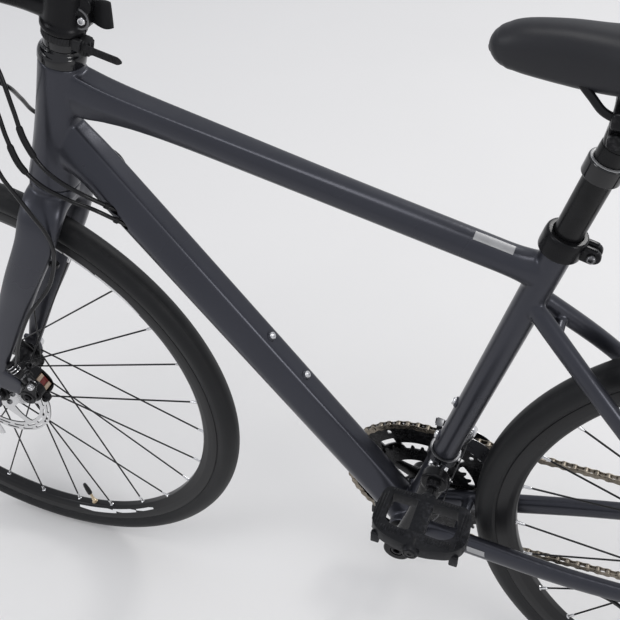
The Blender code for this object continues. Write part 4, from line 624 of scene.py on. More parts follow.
def piece(name, groups, body, replaces=(), slot=None, steer=False, about=None, axis=(0, 0, 1), angle=34, blend=None, side=(0, 1, 0)):
    """One named piece. groups is [(shape, material)]. about and axis give its own frame, so that its pattern follows it."""
    mesh = bpy.data.meshes.new(name)
    shape = join(*[g[0] for g in groups])
    v = np.asarray(shape[0])
    turn, origin = np.eye(3), np.zeros(3)
    if about is not None:
        turn, origin = basis(axis, side), np.asarray(about, float)
        v = (v - origin) @ turn
    world = turn
    where = origin
    if steer:
        world = STEER_TURN @ turn
        where = steered(origin)
    matrix = Matrix(world.tolist()).to_4x4()
    matrix.translation = Vector(((where + SHIFT) * MM).tolist())
    mesh.from_pydata((v * MM).tolist(), [], shape[1])
    counts = [len(g[0][1]) for g in groups]
    mats = []
    for g in groups:
        if g[1] not in mats:
            mats.append(g[1])
    for m in mats:
        mesh.materials.append(m)
    index = np.concatenate([np.full(c, mats.index(g[1]), np.int32) for c, g in zip(counts, groups)])
    if len(index) == len(mesh.polygons):
        mesh.polygons.foreach_set("material_index", index)
    work = bmesh.new()
    work.from_mesh(mesh)
    bmesh.ops.remove_doubles(work, verts=work.verts, dist=1.5e-6)
    bmesh.ops.dissolve_degenerate(work, edges=work.edges, dist=1e-7)
    bmesh.ops.recalc_face_normals(work, faces=work.faces)
    work.to_mesh(mesh)
    work.free()
    mesh.shade_smooth()
    mesh.set_sharp_from_angle(angle=math.radians(angle))
    obj = bpy.data.objects.new(name, mesh)
    bpy.context.scene.collection.objects.link(obj)
    obj.matrix_world = matrix
    if blend:
        bpy.context.view_layer.update()
        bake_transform(obj)
    else:
        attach(obj, body)
    if replaces:
        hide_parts(*replaces)
    made[name] = obj
    return obj


# ------------------------------------------------------------------ camera, light, floor
def camera():
    az, el, roll, focal = math.radians(24.304), math.radians(41.713), math.radians(-4.521), 902.346
    back = pt(math.sin(az) * math.cos(el), -math.cos(az) * math.cos(el), math.sin(el))
    d = -back
    right = unit(np.cross(d, pt(0, 0, 1)))
    up = np.cross(right, d)
    r2 = right * math.cos(roll) + up * math.sin(roll)
    u2 = -right * math.sin(roll) + up * math.cos(roll)
    data = bpy.data.cameras.new("camera")
    data.sensor_width, data.lens = 36.0, focal / 620.0 * 36.0
    data.clip_start, data.clip_end = 0.05, 60.0
    obj = bpy.data.objects.new("camera", data)
    bpy.context.scene.collection.objects.link(obj)
    m = Matrix(np.column_stack([r2, u2, back]).tolist()).to_4x4()
    m.translation = Vector(((pt(180.55, -663.76, 1233.35) + SHIFT) * MM).tolist())
    obj.matrix_world = m
    bpy.context.scene.camera = obj


camera()


def area(name, at, target, size, power, rgb=(1, 1, 1)):
    data = bpy.data.lights.new(name, "AREA")
    data.shape, data.size, data.energy, data.color = "DISK", size, power, rgb
    obj = bpy.data.objects.new(name, data)
    bpy.context.scene.collection.objects.link(obj)
    obj.matrix_world = Matrix.Translation(at) @ (Vector(target) - Vector(at)).to_track_quat("-Z", "Y").to_matrix().to_4x4()


world = bpy.data.worlds.new("studio")
bpy.context.scene.world = world
world.use_nodes = True
world.node_tree.nodes["Background"].inputs["Color"].default_value = (0.93, 0.95, 1.0, 1)
world.node_tree.nodes["Background"].inputs["Strength"].default_value = 0.70
area("over", (0.1, -0.4, 3.4), (0.0, 0.0, 0.4), 1.3, 17.0, (1.0, 0.99, 0.98))
area("left", (-2.6, -2.0, 2.2), (0.0, 0.0, 0.4), 1.4, 20.0, (0.97, 0.98, 1.0))
area("right", (2.9, -1.1, 1.4), (0.0, 0.0, 0.5), 1.0, 22.0, (1.0, 0.99, 0.98))
area("behind", (1.2, 2.6, 2.6), (0.0, 0.0, 0.4), 0.9, 26.0, (1.0, 0.99, 0.97))
bpy.context.scene.view_settings.view_transform = "Standard"

floor_mesh = bpy.data.meshes.new("floor")
floor_mesh.from_pydata([(-9, -9, 0), (9, -9, 0), (9, 9, 0), (-9, 9, 0)], [], [(0, 1, 2, 3)])
floor = bpy.data.objects.new("floor", floor_mesh)
bpy.context.scene.collection.objects.link(floor)
floor_mesh.materials.append(finish_of("floor_finish", (0.80, 0.79, 0.78), 0.6, 0.0, grain=60, bump=0.05, blotch=1.2, vary=0.012, rvary=0.03))


# ------------------------------------------------------------------ wheels
def tyre_shape(centre):
    bulge, half = WHEEL_R - TYRE_W / 2, TYRE_W / 2
    prof = [(310.4, -8.6), (314.0, -9.3), (316.5, -9.9)]
    for a in np.linspace(-139, 139, 97):
        r = half
        for groove, width, depth in ((-58, 1.5, 0.22), (58, 1.5, 0.22), (-26, 0.9, 0.14), (26, 0.9, 0.14)):
            r -= depth * math.exp(-((a - groove) / width) ** 2)
        for rib, width, height in ((-118, 3.0, 0.30), (118, 3.0, 0.30), (-92, 1.6, 0.10), (92, 1.6, 0.10)):
            r += height * math.exp(-((a - rib) / width) ** 2)
        r -= 0.18 * min(1.0, max(0.0, (abs(a) - 56) / 8))
        t = math.radians(a)
        prof.append((bulge + r * math.cos(t), r * math.sin(t)))
    prof += [(316.5, 9.9), (314.0, 9.3), (310.4, 8.6), (316.0, 6.0), (328.0, 11.0), (338.0, 0.0), (328.0, -11.0), (316.0, -6.0)]
    return lathe(prof, centre, (0, 1, 0), 216, closed=True)


def rim_shape(centre):
    h = RIM_HALF
    corners = [(RIM_R, -h), (RIM_R, -h + 1.7), (307.0, -h + 2.0), (303.0, -6), (303.0, 6), (307.0, h - 2.0), (RIM_R, h - 1.7), (RIM_R, h),
               (310.0, h - 0.15), (303.0, h - 0.9), (297.0, 8.2), (293.4, 5.2), (RIM_IN, 3.2), (RIM_IN, -3.2), (293.4, -5.2), (297.0, -8.2), (303.0, -h + 0.9), (310.0, -h + 0.15)]
    return lathe(rounded(corners, 1.2, 3), centre, (0, 1, 0), 180, closed=True)


def rim_marks(centre, bases):
    """Plain pale dashes on both flanks of the rim, in thin film."""
    out = []
    for side in (-1, 1):
        for base in bases:
            for start, sweep, low, high in ((0.0, 13.6, 296.6, 303.4), (12.6, 9.2, 297.0, 302.4), (22.2, 7.4, 297.8, 301.8)):
                n = 24
                v = []
                for k in range(n + 1):
                    u = k / n
                    t = math.radians(base + start + sweep * u)
                    mid = low + (high - low) * 0.45
                    for r in (mid - (mid - low) * min(1.0, (1 - u) * 4.0 + 0.04), mid + (high - mid) * min(1.0, u * 2.6 + 0.04)):
                        flank = float(np.interp(r, [293.4, 297.0, 303.0, 310.0, 316.0], [5.2, 8.2, RIM_HALF - 0.9, RIM_HALF - 0.15, RIM_HALF]))
                        v.append((r * math.cos(t), side * (flank + 0.32), r * math.sin(t)))
                v = np.array(v)
                back = v - pt(0, side * 0.4, 0)
                m = len(v)
                faces = []
                for k in range(n):
                    a, b, c, d = 2 * k, 2 * k + 1, 2 * k + 3, 2 * k + 2
                    faces += [(a, b, c, d), (m + d, m + c, m + b, m + a), (a, d, m + d, m + a), (b, m + b, m + c, c)]
                faces += [(0, m, m + 1, 1), (2 * n, 2 * n + 1, m + 2 * n + 1, m + 2 * n)]
                out.append((np.vstack([v, back]) + np.asarray(centre), faces))
    return join(*out)


def spoke_shapes(centre, flange_r, flange_y, first, sense):
    """One side's spokes with their elbows at the flange and their nipples at the rim."""
    step = 2 * math.pi / (SPOKES // 2)
    side = math.copysign(1, flange_y)
    wires, nipples = [], []
    for k in range(SPOKES // 2):
        at = first + k * step
        lean = CROSSES * step * (sense if k % 2 == 0 else -sense)
        outside = 1 if k % 2 else -1
        rim_at = centre + pt(RIM_IN * math.cos(at), side * 1.6, RIM_IN * math.sin(at))
        hub_at = centre + pt(flange_r * math.cos(at + lean), flange_y + outside * side * 2.2, flange_r * math.sin(at + lean))
        hole = centre + pt(flange_r * math.cos(at + lean), flange_y, flange_r * math.sin(at + lean))
        head = hole - pt(0, outside * side * 2.4, 0)
        d = unit(rim_at - hub_at)
        nip = rim_at - d * 10.5
        bend = [head, hole, hub_at + d * 0.4, hub_at + d * 3.0]
        cross = hub_at + d * (np.linalg.norm(rim_at - hub_at) * 0.22)
        wires.append(tube(spline(bend, 3), 1.22, 8))
        wires.append(tube([hub_at + d * 2.6, cross, nip], 1.15, 8))
        wires.append(cyl(head - pt(0, outside * side * 0.9, 0), head + pt(0, outside * side * 0.2, 0), 1.9, 12, 0.3))
        nipples.append(lathe([(0, -2.0), (3.1, -2.0), (3.1, 0.2), (1.95, 1.4), (1.9, 7.5), (1.5, 10.6), (1.0, 10.9), (0, 10.9)], rim_at, -d, 14))
    return join(*wires), join(*nipples)


def hub_shape(centre, left, right, shell_r, ends, rotor_y):
    low, high = ends
    prof = [
        (6.6, low), (11.2, low), (12.0, low + 0.8), (12.0, rotor_y - 4), (16.2, rotor_y - 4), (17.0, rotor_y - 3.2), (17.0, rotor_y + 1.2), (20.0, rotor_y + 1.2), (20.6, rotor_y + 2), (20.6, rotor_y + 3.6),
        (15.5, left - 5), (16.5, left - 3.4), (25.0, left - 1.7), (26.2, left - 1.0), (26.2, left + 1.0), (25.0, left + 1.7), (shell_r + 4, left + 4), (shell_r + 1.2, left + 8), (shell_r, left + 14),
        (shell_r - 0.6, (left + right) / 2), (shell_r, right - 14), (shell_r + 1.2, right - 8), (shell_r + 4, right - 4), (25.0, right - 1.7), (26.2, right - 1.0), (26.2, right + 1.0), (25.0, right + 1.7),
        (16.0, right + 3.2), (13.6, right + 3.6), (12.0, min(high - 0.8, right + 5)), (12.0, high - 0.8), (11.2, high), (6.6, high),
    ]
    return lathe(prof, centre, (0, 1, 0), 64, closed=True)


def rotor_shape(centre, y):
    """A disc with a vented band and six swept arms."""
    steps = 180
    ring = [((80.0 - 0.55 * (0.5 - 0.5 * math.cos(12 * 2 * math.pi * k / steps))) * math.cos(2 * math.pi * k / steps),
             (80.0 - 0.55 * (0.5 - 0.5 * math.cos(12 * 2 * math.pi * k / steps))) * math.sin(2 * math.pi * k / steps)) for k in range(steps)]
    holes = [circle(17.5, 48)]
    for arm in range(6):
        t0 = math.radians(60 * arm)
        loop = []
        for k in range(15):                         # the band's inner edge
            loop.append(polar(63.2, 60 * arm + 6 + 47 * k / 14))
        for k in range(10):                         # down the next arm's side, swept
            u = k / 9
            loop.append(polar(62.2 + (33.0 - 62.2) * u, 60 * arm + 53 - 3 * u - 22 * u * u))
        for k in range(8):
            loop.append(polar(31.0, 60 * arm + 26 - 22 * k / 7))
        for k in range(10):
            u = k / 9
            loop.append(polar(33.0 + (62.2 - 33.0) * u, 60 * arm + 3.0 - 17 * (1 - (1 - u) ** 1.6) + 19.5 * u))
        holes.append([(p[0], p[2]) for p in rounded([q for q in loop], 1.0, 1)])
        for rr, a0, a1 in ((75.6, 3.0, 15.0), (75.6, 23.0, 35.0), (75.6, 43.0, 55.0), (69.4, 13.0, 25.0), (69.4, 33.0, 45.0), (69.4, 53.0, 65.0)):
            holes.append(arc_slot(rr, 60 * arm + a0, 60 * arm + a1, 1.45))
        holes.append(circle(2.7, 12, *(22 * math.cos(t0), 22 * math.sin(t0))))
    return prism(ring, 1.8, centre + pt(0, y, 0), holes=holes)


def arc_slot(r, first, last, half, n=10, m=6):
    """A slot along an arc, with round ends."""
    loop = []
    for k in range(n + 1):
        q = polar(r + half, first + (last - first) * k / n)
        loop.append((q[0], q[2]))
    for end, way in ((last, 1), (first, -1)):
        if way < 0:
            for k in range(n + 1):
                q = polar(r - half, last + (first - last) * k / n)
                loop.append((q[0], q[2]))
        c, t = polar(r, end), math.radians(end)
        for k in range(1, m):
            a = math.pi * k / m
            radial, along_arc = (math.cos(a) if way > 0 else -math.cos(a)) * half, way * math.sin(a) * half
            loop.append((c[0] + radial * math.cos(t) - along_arc * math.sin(t), c[2] + radial * math.sin(t) + along_arc * math.cos(t)))
    return loop


def wheel(tag, centre, steer, hub_args, spoke_args, rotor_y, first, valve_angle, marks):
    body = tag + "_wheel"
    own = dict(steer=steer, about=centre, axis=(0, 1, 0), side=(0, 0, 1))
    piece(tag + "_tyre_casing", [(tyre_shape(centre), TYRE)], body, [tag + "_tyre"], "tyre_rubber", **own)
    piece(tag + "_rim_hoop", [(rim_shape(centre), RIM)], body, [tag + "_rim"], "anodised", **own)
    piece(tag + "_rim_stripes", [(rim_marks(centre, marks), WHITE)], body, (), "anodised", **own)
    piece(tag + "_hub_shell", [(hub_shape(centre, *hub_args), ANODISED)], body, [tag + "_hub"], "anodised", **own)
    half = math.degrees(math.pi / (SPOKES // 2))
    for side, name, y, start, sense in ((-1, "left", spoke_args[0], first, 1), (1, "right", spoke_args[1], first - half, -1)):
        wires, nipples = spoke_shapes(centre, 22.5, y, math.radians(start), sense)
        piece(f"{tag}_{name}_spoke_set", [(wires, SPOKE), (nipples, STEEL_AND_HIGHLIGHT)], body, [f"{tag}_spokes_{name}"], "black_steel", **own)
    disc, disc_walls = by_wall(rotor_shape(centre, rotor_y))
    bolts = join(*[socket_bolt(centre + polar(22, 60 * k) + pt(0, rotor_y - 0.9, 0), (0, -1, 0), 4.0, 2.2, 1.9, 1.4, 24, 0.4) for k in range(6)])
    spider = lathe([(17.6, 1.0), (28.5, 1.0), (28.5, 1.9), (17.6, 2.6)], centre + pt(0, rotor_y, 0), (0, 1, 0), 48, closed=True)
    piece(tag + "_brake_disc", [(disc, DISC), (disc_walls, EDGE), (bolts, DARK_STEEL_AND_HIGHLIGHT), (spider, ANODISED)], body, [tag + "_rotor"], "bright_steel", **own)
    d = polar(1, valve_angle)
    base = lathe([(0, -6.0), (2.6, -6.0), (2.6, 0.0), (4.4, 0.1), (4.8, 0.7), (4.8, 2.0), (4.2, 2.7), (2.5, 2.8), (2.4, 9.0), (2.1, 9.6), (2.1, 20.0), (2.7, 20.5), (2.7, 23.0), (0, 23.0)], centre + d * RIM_IN, -d, 24)
    threads = join(*[lathe([(2.35, h), (2.75, h + 0.35), (2.35, h + 0.7), (1.9, h + 0.35)], centre + d * RIM_IN, -d, 24, closed=True) for h in np.arange(3.2, 9.0, 0.9)])
    cap = lathe([(0, 21.5), (3.6, 21.5), (3.9, 22.5), (3.8, 31.0), (3.2, 40.0), (2.4, 44.5), (0, 46.0)], centre + d * RIM_IN, -d, 24)
    piece(tag + "_valve", [(base, BRASS), (threads, BRASS), (cap, RESIN)], body, (), "bright_steel", **own)


wheel("front", F_C, True, (-21.0, 36.0, 13.0, (-46.5, 46.5), FRONT_ROTOR_Y), (-21.0, 36.0), FRONT_ROTOR_Y, FRONT_SPOKE_0, -78.6, (-83.8, 36.2, 156.2))
wheel("rear", R_C, False, (-33.0, 19.0, 16.0, (-63.5, 24.2), REAR_ROTOR_Y), (-33.0, 19.0), REAR_ROTOR_Y, REAR_SPOKE_0, 64.0, (-76.0, 4.0))

# ------------------------------------------------------------------ frame
up_tt, up_dt = (0.2517, 0, 0.9678), (0.791, 0, 0.612)
DT_UP, DT_DOWN = unit(up_dt), unit((300, 0, -388))
DT_TOP = pt(-350, 0, 724.7)
CABLE_PORTS = [
    ((-342, -32, 706), (-318, -14, 678)), ((-334, -32, 689), (-310, -14, 661)), ((-342, 32, 706), (-318, 14, 678)),
    ((-47, -13, 322), (-40, -13, 270)), ((-47, 0, 322), (-40, 0, 270)), ((-47, 13, 322), (-40, 13, 270)),
]


def frame_shape():
    def tt(share):
        return (share, 0.944, 0.222), (share, 1.0, 0.458)

    def dt(share):
        return (share, 0.957, 0.503), (0.0, 1.0, 0.5)

    top_tube = facet_loft([
        ((-374, 0, 818), 17, 27, up_tt, 2.6, *tt(0.9)), ((-346, 0, 810.5), 17, 25, up_tt, 2.6, *tt(1.0)), ((-318, 0, 805), 17, 20, up_tt, 2.5, *tt(1.0)),
        ((-280, 0, 797), 16.5, 16.5, up_tt, 2.4, *tt(1.0)), ((-220, 0, 782.5), 16, 15.3, up_tt, 2.2, *tt(0.8)), ((-85, 0, 747.5), 15.8, 15.3, up_tt, 2.1, *tt(0.2)),
        ((50, 0, 712.5), 15.5, 15.3, up_tt, 2.1, *tt(0.0)), ((84, 0, 703.6), 15.2, 15.4, up_tt, 2.1, *tt(0.0)), ((102, 0, 699.1), 15.2, 17.4, up_tt, 2.1, *tt(0.0)), ((119, 0, 694.8), 14.6, 22.5, up_tt, 2.1, *tt(0.0)),
    ])
    down_tube = facet_loft([
        ((-399, 0, 762.4), 19, 38, up_dt, 2.4, *dt(0.8)), ((-376.6, 0, 747.8), 21, 31, up_dt, 2.3, *dt(0.9)), ((-352, 0, 726.6), 22.8, 24.4, up_dt, 2.2, *dt(1.0)),
        ((-310, 0, 673), 23.5, 24, up_dt, 2.2, *dt(1.0)), ((-180, 0, 504.8), 24, 23.5, up_dt, 2.2, *dt(1.0)), ((-50, 0, 336.7), 24, 23, up_dt, 2.2, *dt(0.8)), ((-4, 0, 277), 26, 20, up_dt, 2.4, *dt(0.3)),
    ])
    seat_tube = lathe([(0, 4), (SEAT_TUBE_R, 4), (SEAT_TUBE_R, SEAT_TUBE_TOP - 2), (0, SEAT_TUBE_TOP - 2)], BB, SEAT_AXIS, 64)
    head_tube = lathe([
        (0, HEAD_LOW), (27.2, HEAD_LOW), (27.8, HEAD_LOW + 0.6), (27.8, HEAD_LOW + 6), (26.4, HEAD_LOW + 22), (24.9, HEAD_LOW + 45), (24.0, HEAD_LOW + 66), (23.3, HEAD_LOW + 88), (23.0, HEAD_LOW + 110), (23.0, HEAD_TOP - 0.6), (22.4, HEAD_TOP), (0, HEAD_TOP),
    ], STEER_0, STEER_AXIS, 72)
    shell = cyl((0, -34, BB_Z), (0, 34, BB_Z), 20.5, 64, 0.8)
    stays = []
    for side in (-1, 1):
        up = (0, 0, 1)
        stays.append(loft([
            ((4, side * 21, 276), 9, 15, up, 2.4), ((40, side * 27, 283), 9, 15, up, 2.4), ((110, side * 37.5, 291), 9, 14.5, up, 2.3),
            ((200, side * 51, 303), 9, 13, up, 2.2), ((300, side * 61, 320), 8.5, 11.5, up, 2.1), ((370, side * 68, 336), 6.5, 10, up, 2.1), ((398, side * 70.5, 341), 4.2, 9, up, 2.4),
        ], 40, 8))
        stays.append(loft([
            ((114, side * 6.5, 660), 6.5, 8.5, up, 2.2), ((130, side * 15, 645), 8.5, 10, up, 2.2), ((205, side * 41, 572), 8, 9.5, up, 2.2),
            ((303, side * 56.5, 464), 7.5, 9, up, 2.1), ((380, side * 67, 386), 6.5, 8, up, 2.1), ((408, side * 70.5, 362), 4.2, 7.5, up, 2.4),
        ], 40, 8))
        outline = [(-34, -12), (-30, 8), (-22, 26), (-6, 34), (10, 24), (15, 8), (14, -6), (10, -20), (5.6, -22), (5.6, 0)]
        if side > 0:
            outline = [(-34, -12), (-30, 8), (-22, 26), (-6, 34), (10, 24), (15, 8), (20, -8), (24, -24), (21, -35), (13, -38), (7, -32), (5.6, -20), (5.6, 0)]
        outline += [(5.6 * math.cos(t), 5.6 * math.sin(t)) for t in (math.radians(a) for a in (30, 60, 90, 120, 150))]
        outline += [(-5.6, 0), (-5.6, -20), (-14, -22)]
        stays.append(prism(outline, 6.4, R_C + pt(0, side * 71.0, 0)))
    bridge_low = cyl((66, -33, 292), (66, 33, 292), 7.0, 40)
    bridge_top = cyl((140, -22, 631), (140, 22, 631), 6.0, 40)
    pad = rbox((46, 8.0, 14), (352, -67.2, 347), (-0.16, 0, 0.987), edge=1.5)
    skin = welded([top_tube, down_tube, seat_tube, head_tube, shell, bridge_low, bridge_top, pad, *stays], 1.6, 9)
    return skin


frame_skin = frame_shape()
ports = [cyl(pt(*a), pt(*b), 4.6, 24, 0) for a, b in CABLE_PORTS]
frame_skin = boolean(frame_skin, [
    *ports,
    cyl(se(0, 0, 430), se(0, 0, 500), POST_R + 0.6, 48, 0), cyl((0, -40, BB_Z), (0, 40, BB_Z), 17.4, 48, 0), cyl(st(0, 0, HEAD_LOW - 4), st(0, 0, HEAD_LOW + 30), 16.5, 48, 0),
    cyl(st(0, 0, HEAD_TOP - 30), st(0, 0, HEAD_TOP + 4), 16.5, 48, 0),
])
piece("frame_tubes", [(frame_skin, PAINT)], "frame", ["frame"], "frame_paint", angle=50)

boss_feet = [DT_TOP + DT_DOWN * (264.0 + 64.0 * k) for k in range(2)]
bosses, screws = [], []
for p, n in [(q + DT_UP * 22.4, DT_UP) for q in boss_feet] + [(se(-14.2, 0, 157 + 64 * k), -SEAT_BACK) for k in range(2)]:
    bosses.append(lathe([(0, 0), (6.6, 0), (6.0, 1.6), (5.6, 2.4), (0, 2.4)], p, n, 32))
    screws.append(socket_bolt(p + n * 2.4, n, 4.3, 2.9, 2.2, 1.9, 36, 0.5))
piece("bottle_bosses", [(join(*bosses), PAINT)], "frame", (), "frame_paint")
piece("bottle_screws", [(join(*screws), STEEL_AND_HIGHLIGHT)], "frame", (), "bright_steel")
labels = [
    skin_patch((49.5, 0, 712.6), (87.0, 0, 702.9), up_tt, 15.4, 15.3, -34, 2, 0.45, 0.5, 10, 12, 2.1),
    skin_patch((82, -33.4, 287.9), (104, -36.6, 290.4), (0, 0, 1), 9.0, 14.6, -96, -66, 0.45, 0.5, 8, 8, 2.3),
]
piece("blank_labels", [(join(*labels), LABEL_AND_HIGHLIGHT)], "frame", (), "plastic")


# ------------------------------------------------------------------ fork
def fork_shape():
    half = [
        (1, 20, 373, 15, 25), (3, 35, 357, 13, 25), (0, 41, 318, 12, 23), (-11, 45.5, 258, 11, 21.5),
        (-20, 47, 205, 10, 20), (-33, 50, 135, 8.5, 17), (-40, 52, 80, 7, 14), (-45, 53.2, 35, 4.5, 11), (-46.5, 53.4, 15, 2.9, 9),
    ]
    path = [(x, -y, s, a, b) for x, y, s, a, b in reversed(half)] + [(0, 0, 376, 16, 25)] + half
    blades = loft([(st(x, y, s), a, b, STEER_BACK, 2.5) for x, y, s, a, b in path], 48, 8)
    crown = lathe([(0, 366), (20, 366), (26.5, 382), (27.5, HEAD_LOW - 1.0), (26.9, HEAD_LOW - 0.4), (0, HEAD_LOW - 0.4)], STEER_0, STEER_AXIS, 64)
    tips = []
    for side in (-1, 1):
        outline = [(-11, 22), (-13, 4), (-11, -12), (-4.9, -15), (-4.9, 0)]
        outline += [(4.9 * math.cos(t), 4.9 * math.sin(t)) for t in (math.radians(a) for a in (150, 120, 90, 60, 30))]
        outline += [(4.9, 0), (4.9, -15), (11, -12), (13, 4), (11, 22)]
        tips.append(prism(outline, 6.0, F_C + pt(0, side * 53.4, 0)))
    tab = loft([(st(-34, -54.6, 60), 3.2, 20, STEER_AXIS, 4.0), (st(-14, -54.6, 59), 3.2, 18, STEER_AXIS, 4.0), (st(-3, -54.6, 58), 3.2, 14, STEER_AXIS, 4.0)], 24, 4)
    return welded([blades, crown, tab, *tips], 1.3, 8)


piece("fork_blades", [(fork_shape(), PAINT)], "steering", ["fork"], "frame_paint", steer=True, angle=50)

# ------------------------------------------------------------------ steering parts
def smooth_path(points, turns):
    """Evenly spaced points on a smooth curve through the given ones."""
    p = [np.asarray(q, float) for q in points]
    knots = np.concatenate([[0.0], np.cumsum([max(1e-6, np.linalg.norm(b - a)) ** 0.5 for a, b in zip(p, p[1:])])])
    ext = [p[0] * 2 - p[1], *p, p[-1] * 2 - p[-2]]
    k = np.concatenate([[knots[0] - (knots[1] - knots[0])], knots, [knots[-1] + (knots[-1] - knots[-2])]])
    dense = []
    for i in range(1, len(ext) - 2):
        t0, t1, t2, t3 = k[i - 1], k[i], k[i + 1], k[i + 2]
        for u in np.linspace(t1, t2, 25)[:-1]:
            a1 = ext[i - 1] * (t1 - u) / (t1 - t0) + ext[i] * (u - t0) / (t1 - t0)
            a2 = ext[i] * (t2 - u) / (t2 - t1) + ext[i + 1] * (u - t1) / (t2 - t1)
            a3 = ext[i + 1] * (t3 - u) / (t3 - t2) + ext[i + 2] * (u - t2) / (t3 - t2)
            b1 = a1 * (t2 - u) / (t2 - t0) + a2 * (u - t0) / (t2 - t0)
            b2 = a2 * (t3 - u) / (t3 - t1) + a3 * (u - t1) / (t3 - t1)
            dense.append(b1 * (t2 - u) / (t2 - t1) + b2 * (u - t1) / (t2 - t1))
    dense.append(ext[-2])
    dense = np.array(dense)
    run = np.concatenate([[0.0], np.cumsum(np.linalg.norm(np.diff(dense, axis=0), axis=1))])
    at = np.linspace(0, run[-1], turns)
    return np.column_stack([np.interp(at, run, dense[:, i]) for i in range(3)])


def st_lathe(profile, steps=72, closed=True):
    return lathe(profile, STEER_0, STEER_AXIS, steps, closed=closed)


def st_box(size, back, y, s, edge=1.0, seg=3):
    return rbox(size, st(back, y, s), STEER_AXIS, edge=edge, seg=seg)


STEER = dict(steer=True)
piece("fork_steerer", [(st_lathe([(12.6, 380), (14.3, 380), (14.3, 625), (12.6, 625)], 48), DARK_STEEL_AND_HIGHLIGHT)], "steering", (), "bright_steel", **STEER)
cone = st_lathe(rounded([(14.6, 550.3), (23.0, 550.3), (23.7, 551.0), (23.7, 557.6), (22.6, 561.4), (20.0, 564.0), (19.0, 567.0), (14.6, 567.0)], [0, 0.4, 0.6, 4.0, 3.0, 3.0, 0.5, 0], 6), 96)
spacer = st_lathe(rounded([(14.6, 567.3), (18.8, 567.3), (18.8, 584.6), (14.6, 584.6)], 0.6, 3), 96)
piece("headset_cone", [(cone, GLOSS), (spacer, GLOSS)], "steering", ["headset_cover"], "plastic", **STEER)


def ribbed_band(r_in, r_out, low, high, ribs, depth):
    """A strap round the steering column with fine crosswise teeth outside."""
    rows = ribs * 4
    v = []
    for k in range(rows):
        t = 2 * math.pi * k / rows
        r = r_out if k % 4 in (0, 1) else r_out - depth
        for rr, h in ((r_in, low), (r_out - depth, low), (r, low + 0.8), (r, high - 0.8), (r_out - depth, high), (r_in, high)):
            v.append((rr * math.cos(t), rr * math.sin(t), h))
    return np.array(v) @ basis(STEER_AXIS).T + STEER_0, grid_faces(rows, 6, True, True)


def knob(a, b, r, lobes, depth, n=4):
    """A knurled knob from a to b."""
    loop = []
    for k in range(lobes * n):
        t = 2 * math.pi * k / (lobes * n)
        rr = r - depth * (0.5 - 0.5 * math.cos(lobes * t)) ** 1.5
        loop.append((rr * math.cos(t), rr * math.sin(t)))
    a, b = np.asarray(a, float), np.asarray(b, float)
    h = np.linalg.norm(b - a)
    rings = []
    for z, scale in ((0, 0.86), (0.5, 0.95), (1.1, 1.0), (h - 1.1, 1.0), (h - 0.5, 0.95), (h, 0.86)):
        rings.append([(x * scale, y * scale, z) for x, y in loop])
    m = len(loop)
    v = [p for ring in rings for p in ring]
    faces = grid_faces(6, m, False, True) + [tuple(range(m))[::-1], tuple(range(5 * m, 6 * m))]
    return placed((np.array(v), faces), a, b - a)


strap = ribbed_band(19.1, 21.0, 576.2, 583.8, 44, 0.6)
tail_path = smooth_path([st(21, -9, 579), st(33, -11.5, 580), st(50, -11.5, 580.5), st(66, -10.5, 580.5)], 32)
tail = loft([(p, 1.1, {31: 1.4, 30: 2.9, 29: 3.7}.get(i, 4.2), STEER_AXIS, 3.0) for i, p in enumerate(tail_path)], 20, 1, 0.6)
teeth = []
for p, q in zip(tail_path[2:-4], tail_path[3:-3]):
    ahead = unit(q - p)
    out = unit(np.cross(ahead, STEER_AXIS))
    out = out if out[1] < 0 else -out
    teeth.append(rbox((1.0, 0.9, 6.4), p + out * 1.1, STEER_AXIS, out, 0.3, 1))
    teeth.append(rbox((1.0, 0.9, 6.4), p - out * 1.1, STEER_AXIS, out, 0.3, 1))
housing_box = join(st_box((9, 7, 12), 20.8, -12.6, 580.6, 1.8), st_box((8, 13, 11), 25.2, -4.0, 580, 1.8))
wheel_knob = knob(st(26.6, -4.5, 569.6), st(26.6, -4.5, 585.6), 7.2, 11, 1.3)
piece("strap_bracket_body", [(strap, RESIN), (tail, RESIN), (join(*teeth), RESIN), (housing_box, RESIN), (wheel_knob, RESIN)], "steering", ["strap_bracket"], "plastic", **STEER)

BAR_AT = (-STEM_LEN + 0.7, STEM_S - 11.0)
SWEEP = math.radians(5.0)


def bar_at(y):
    run = max(0.0, abs(y) - 60.0)
    return st(BAR_AT[0] + run * math.tan(SWEEP), y, BAR_AT[1] + run * 0.02)


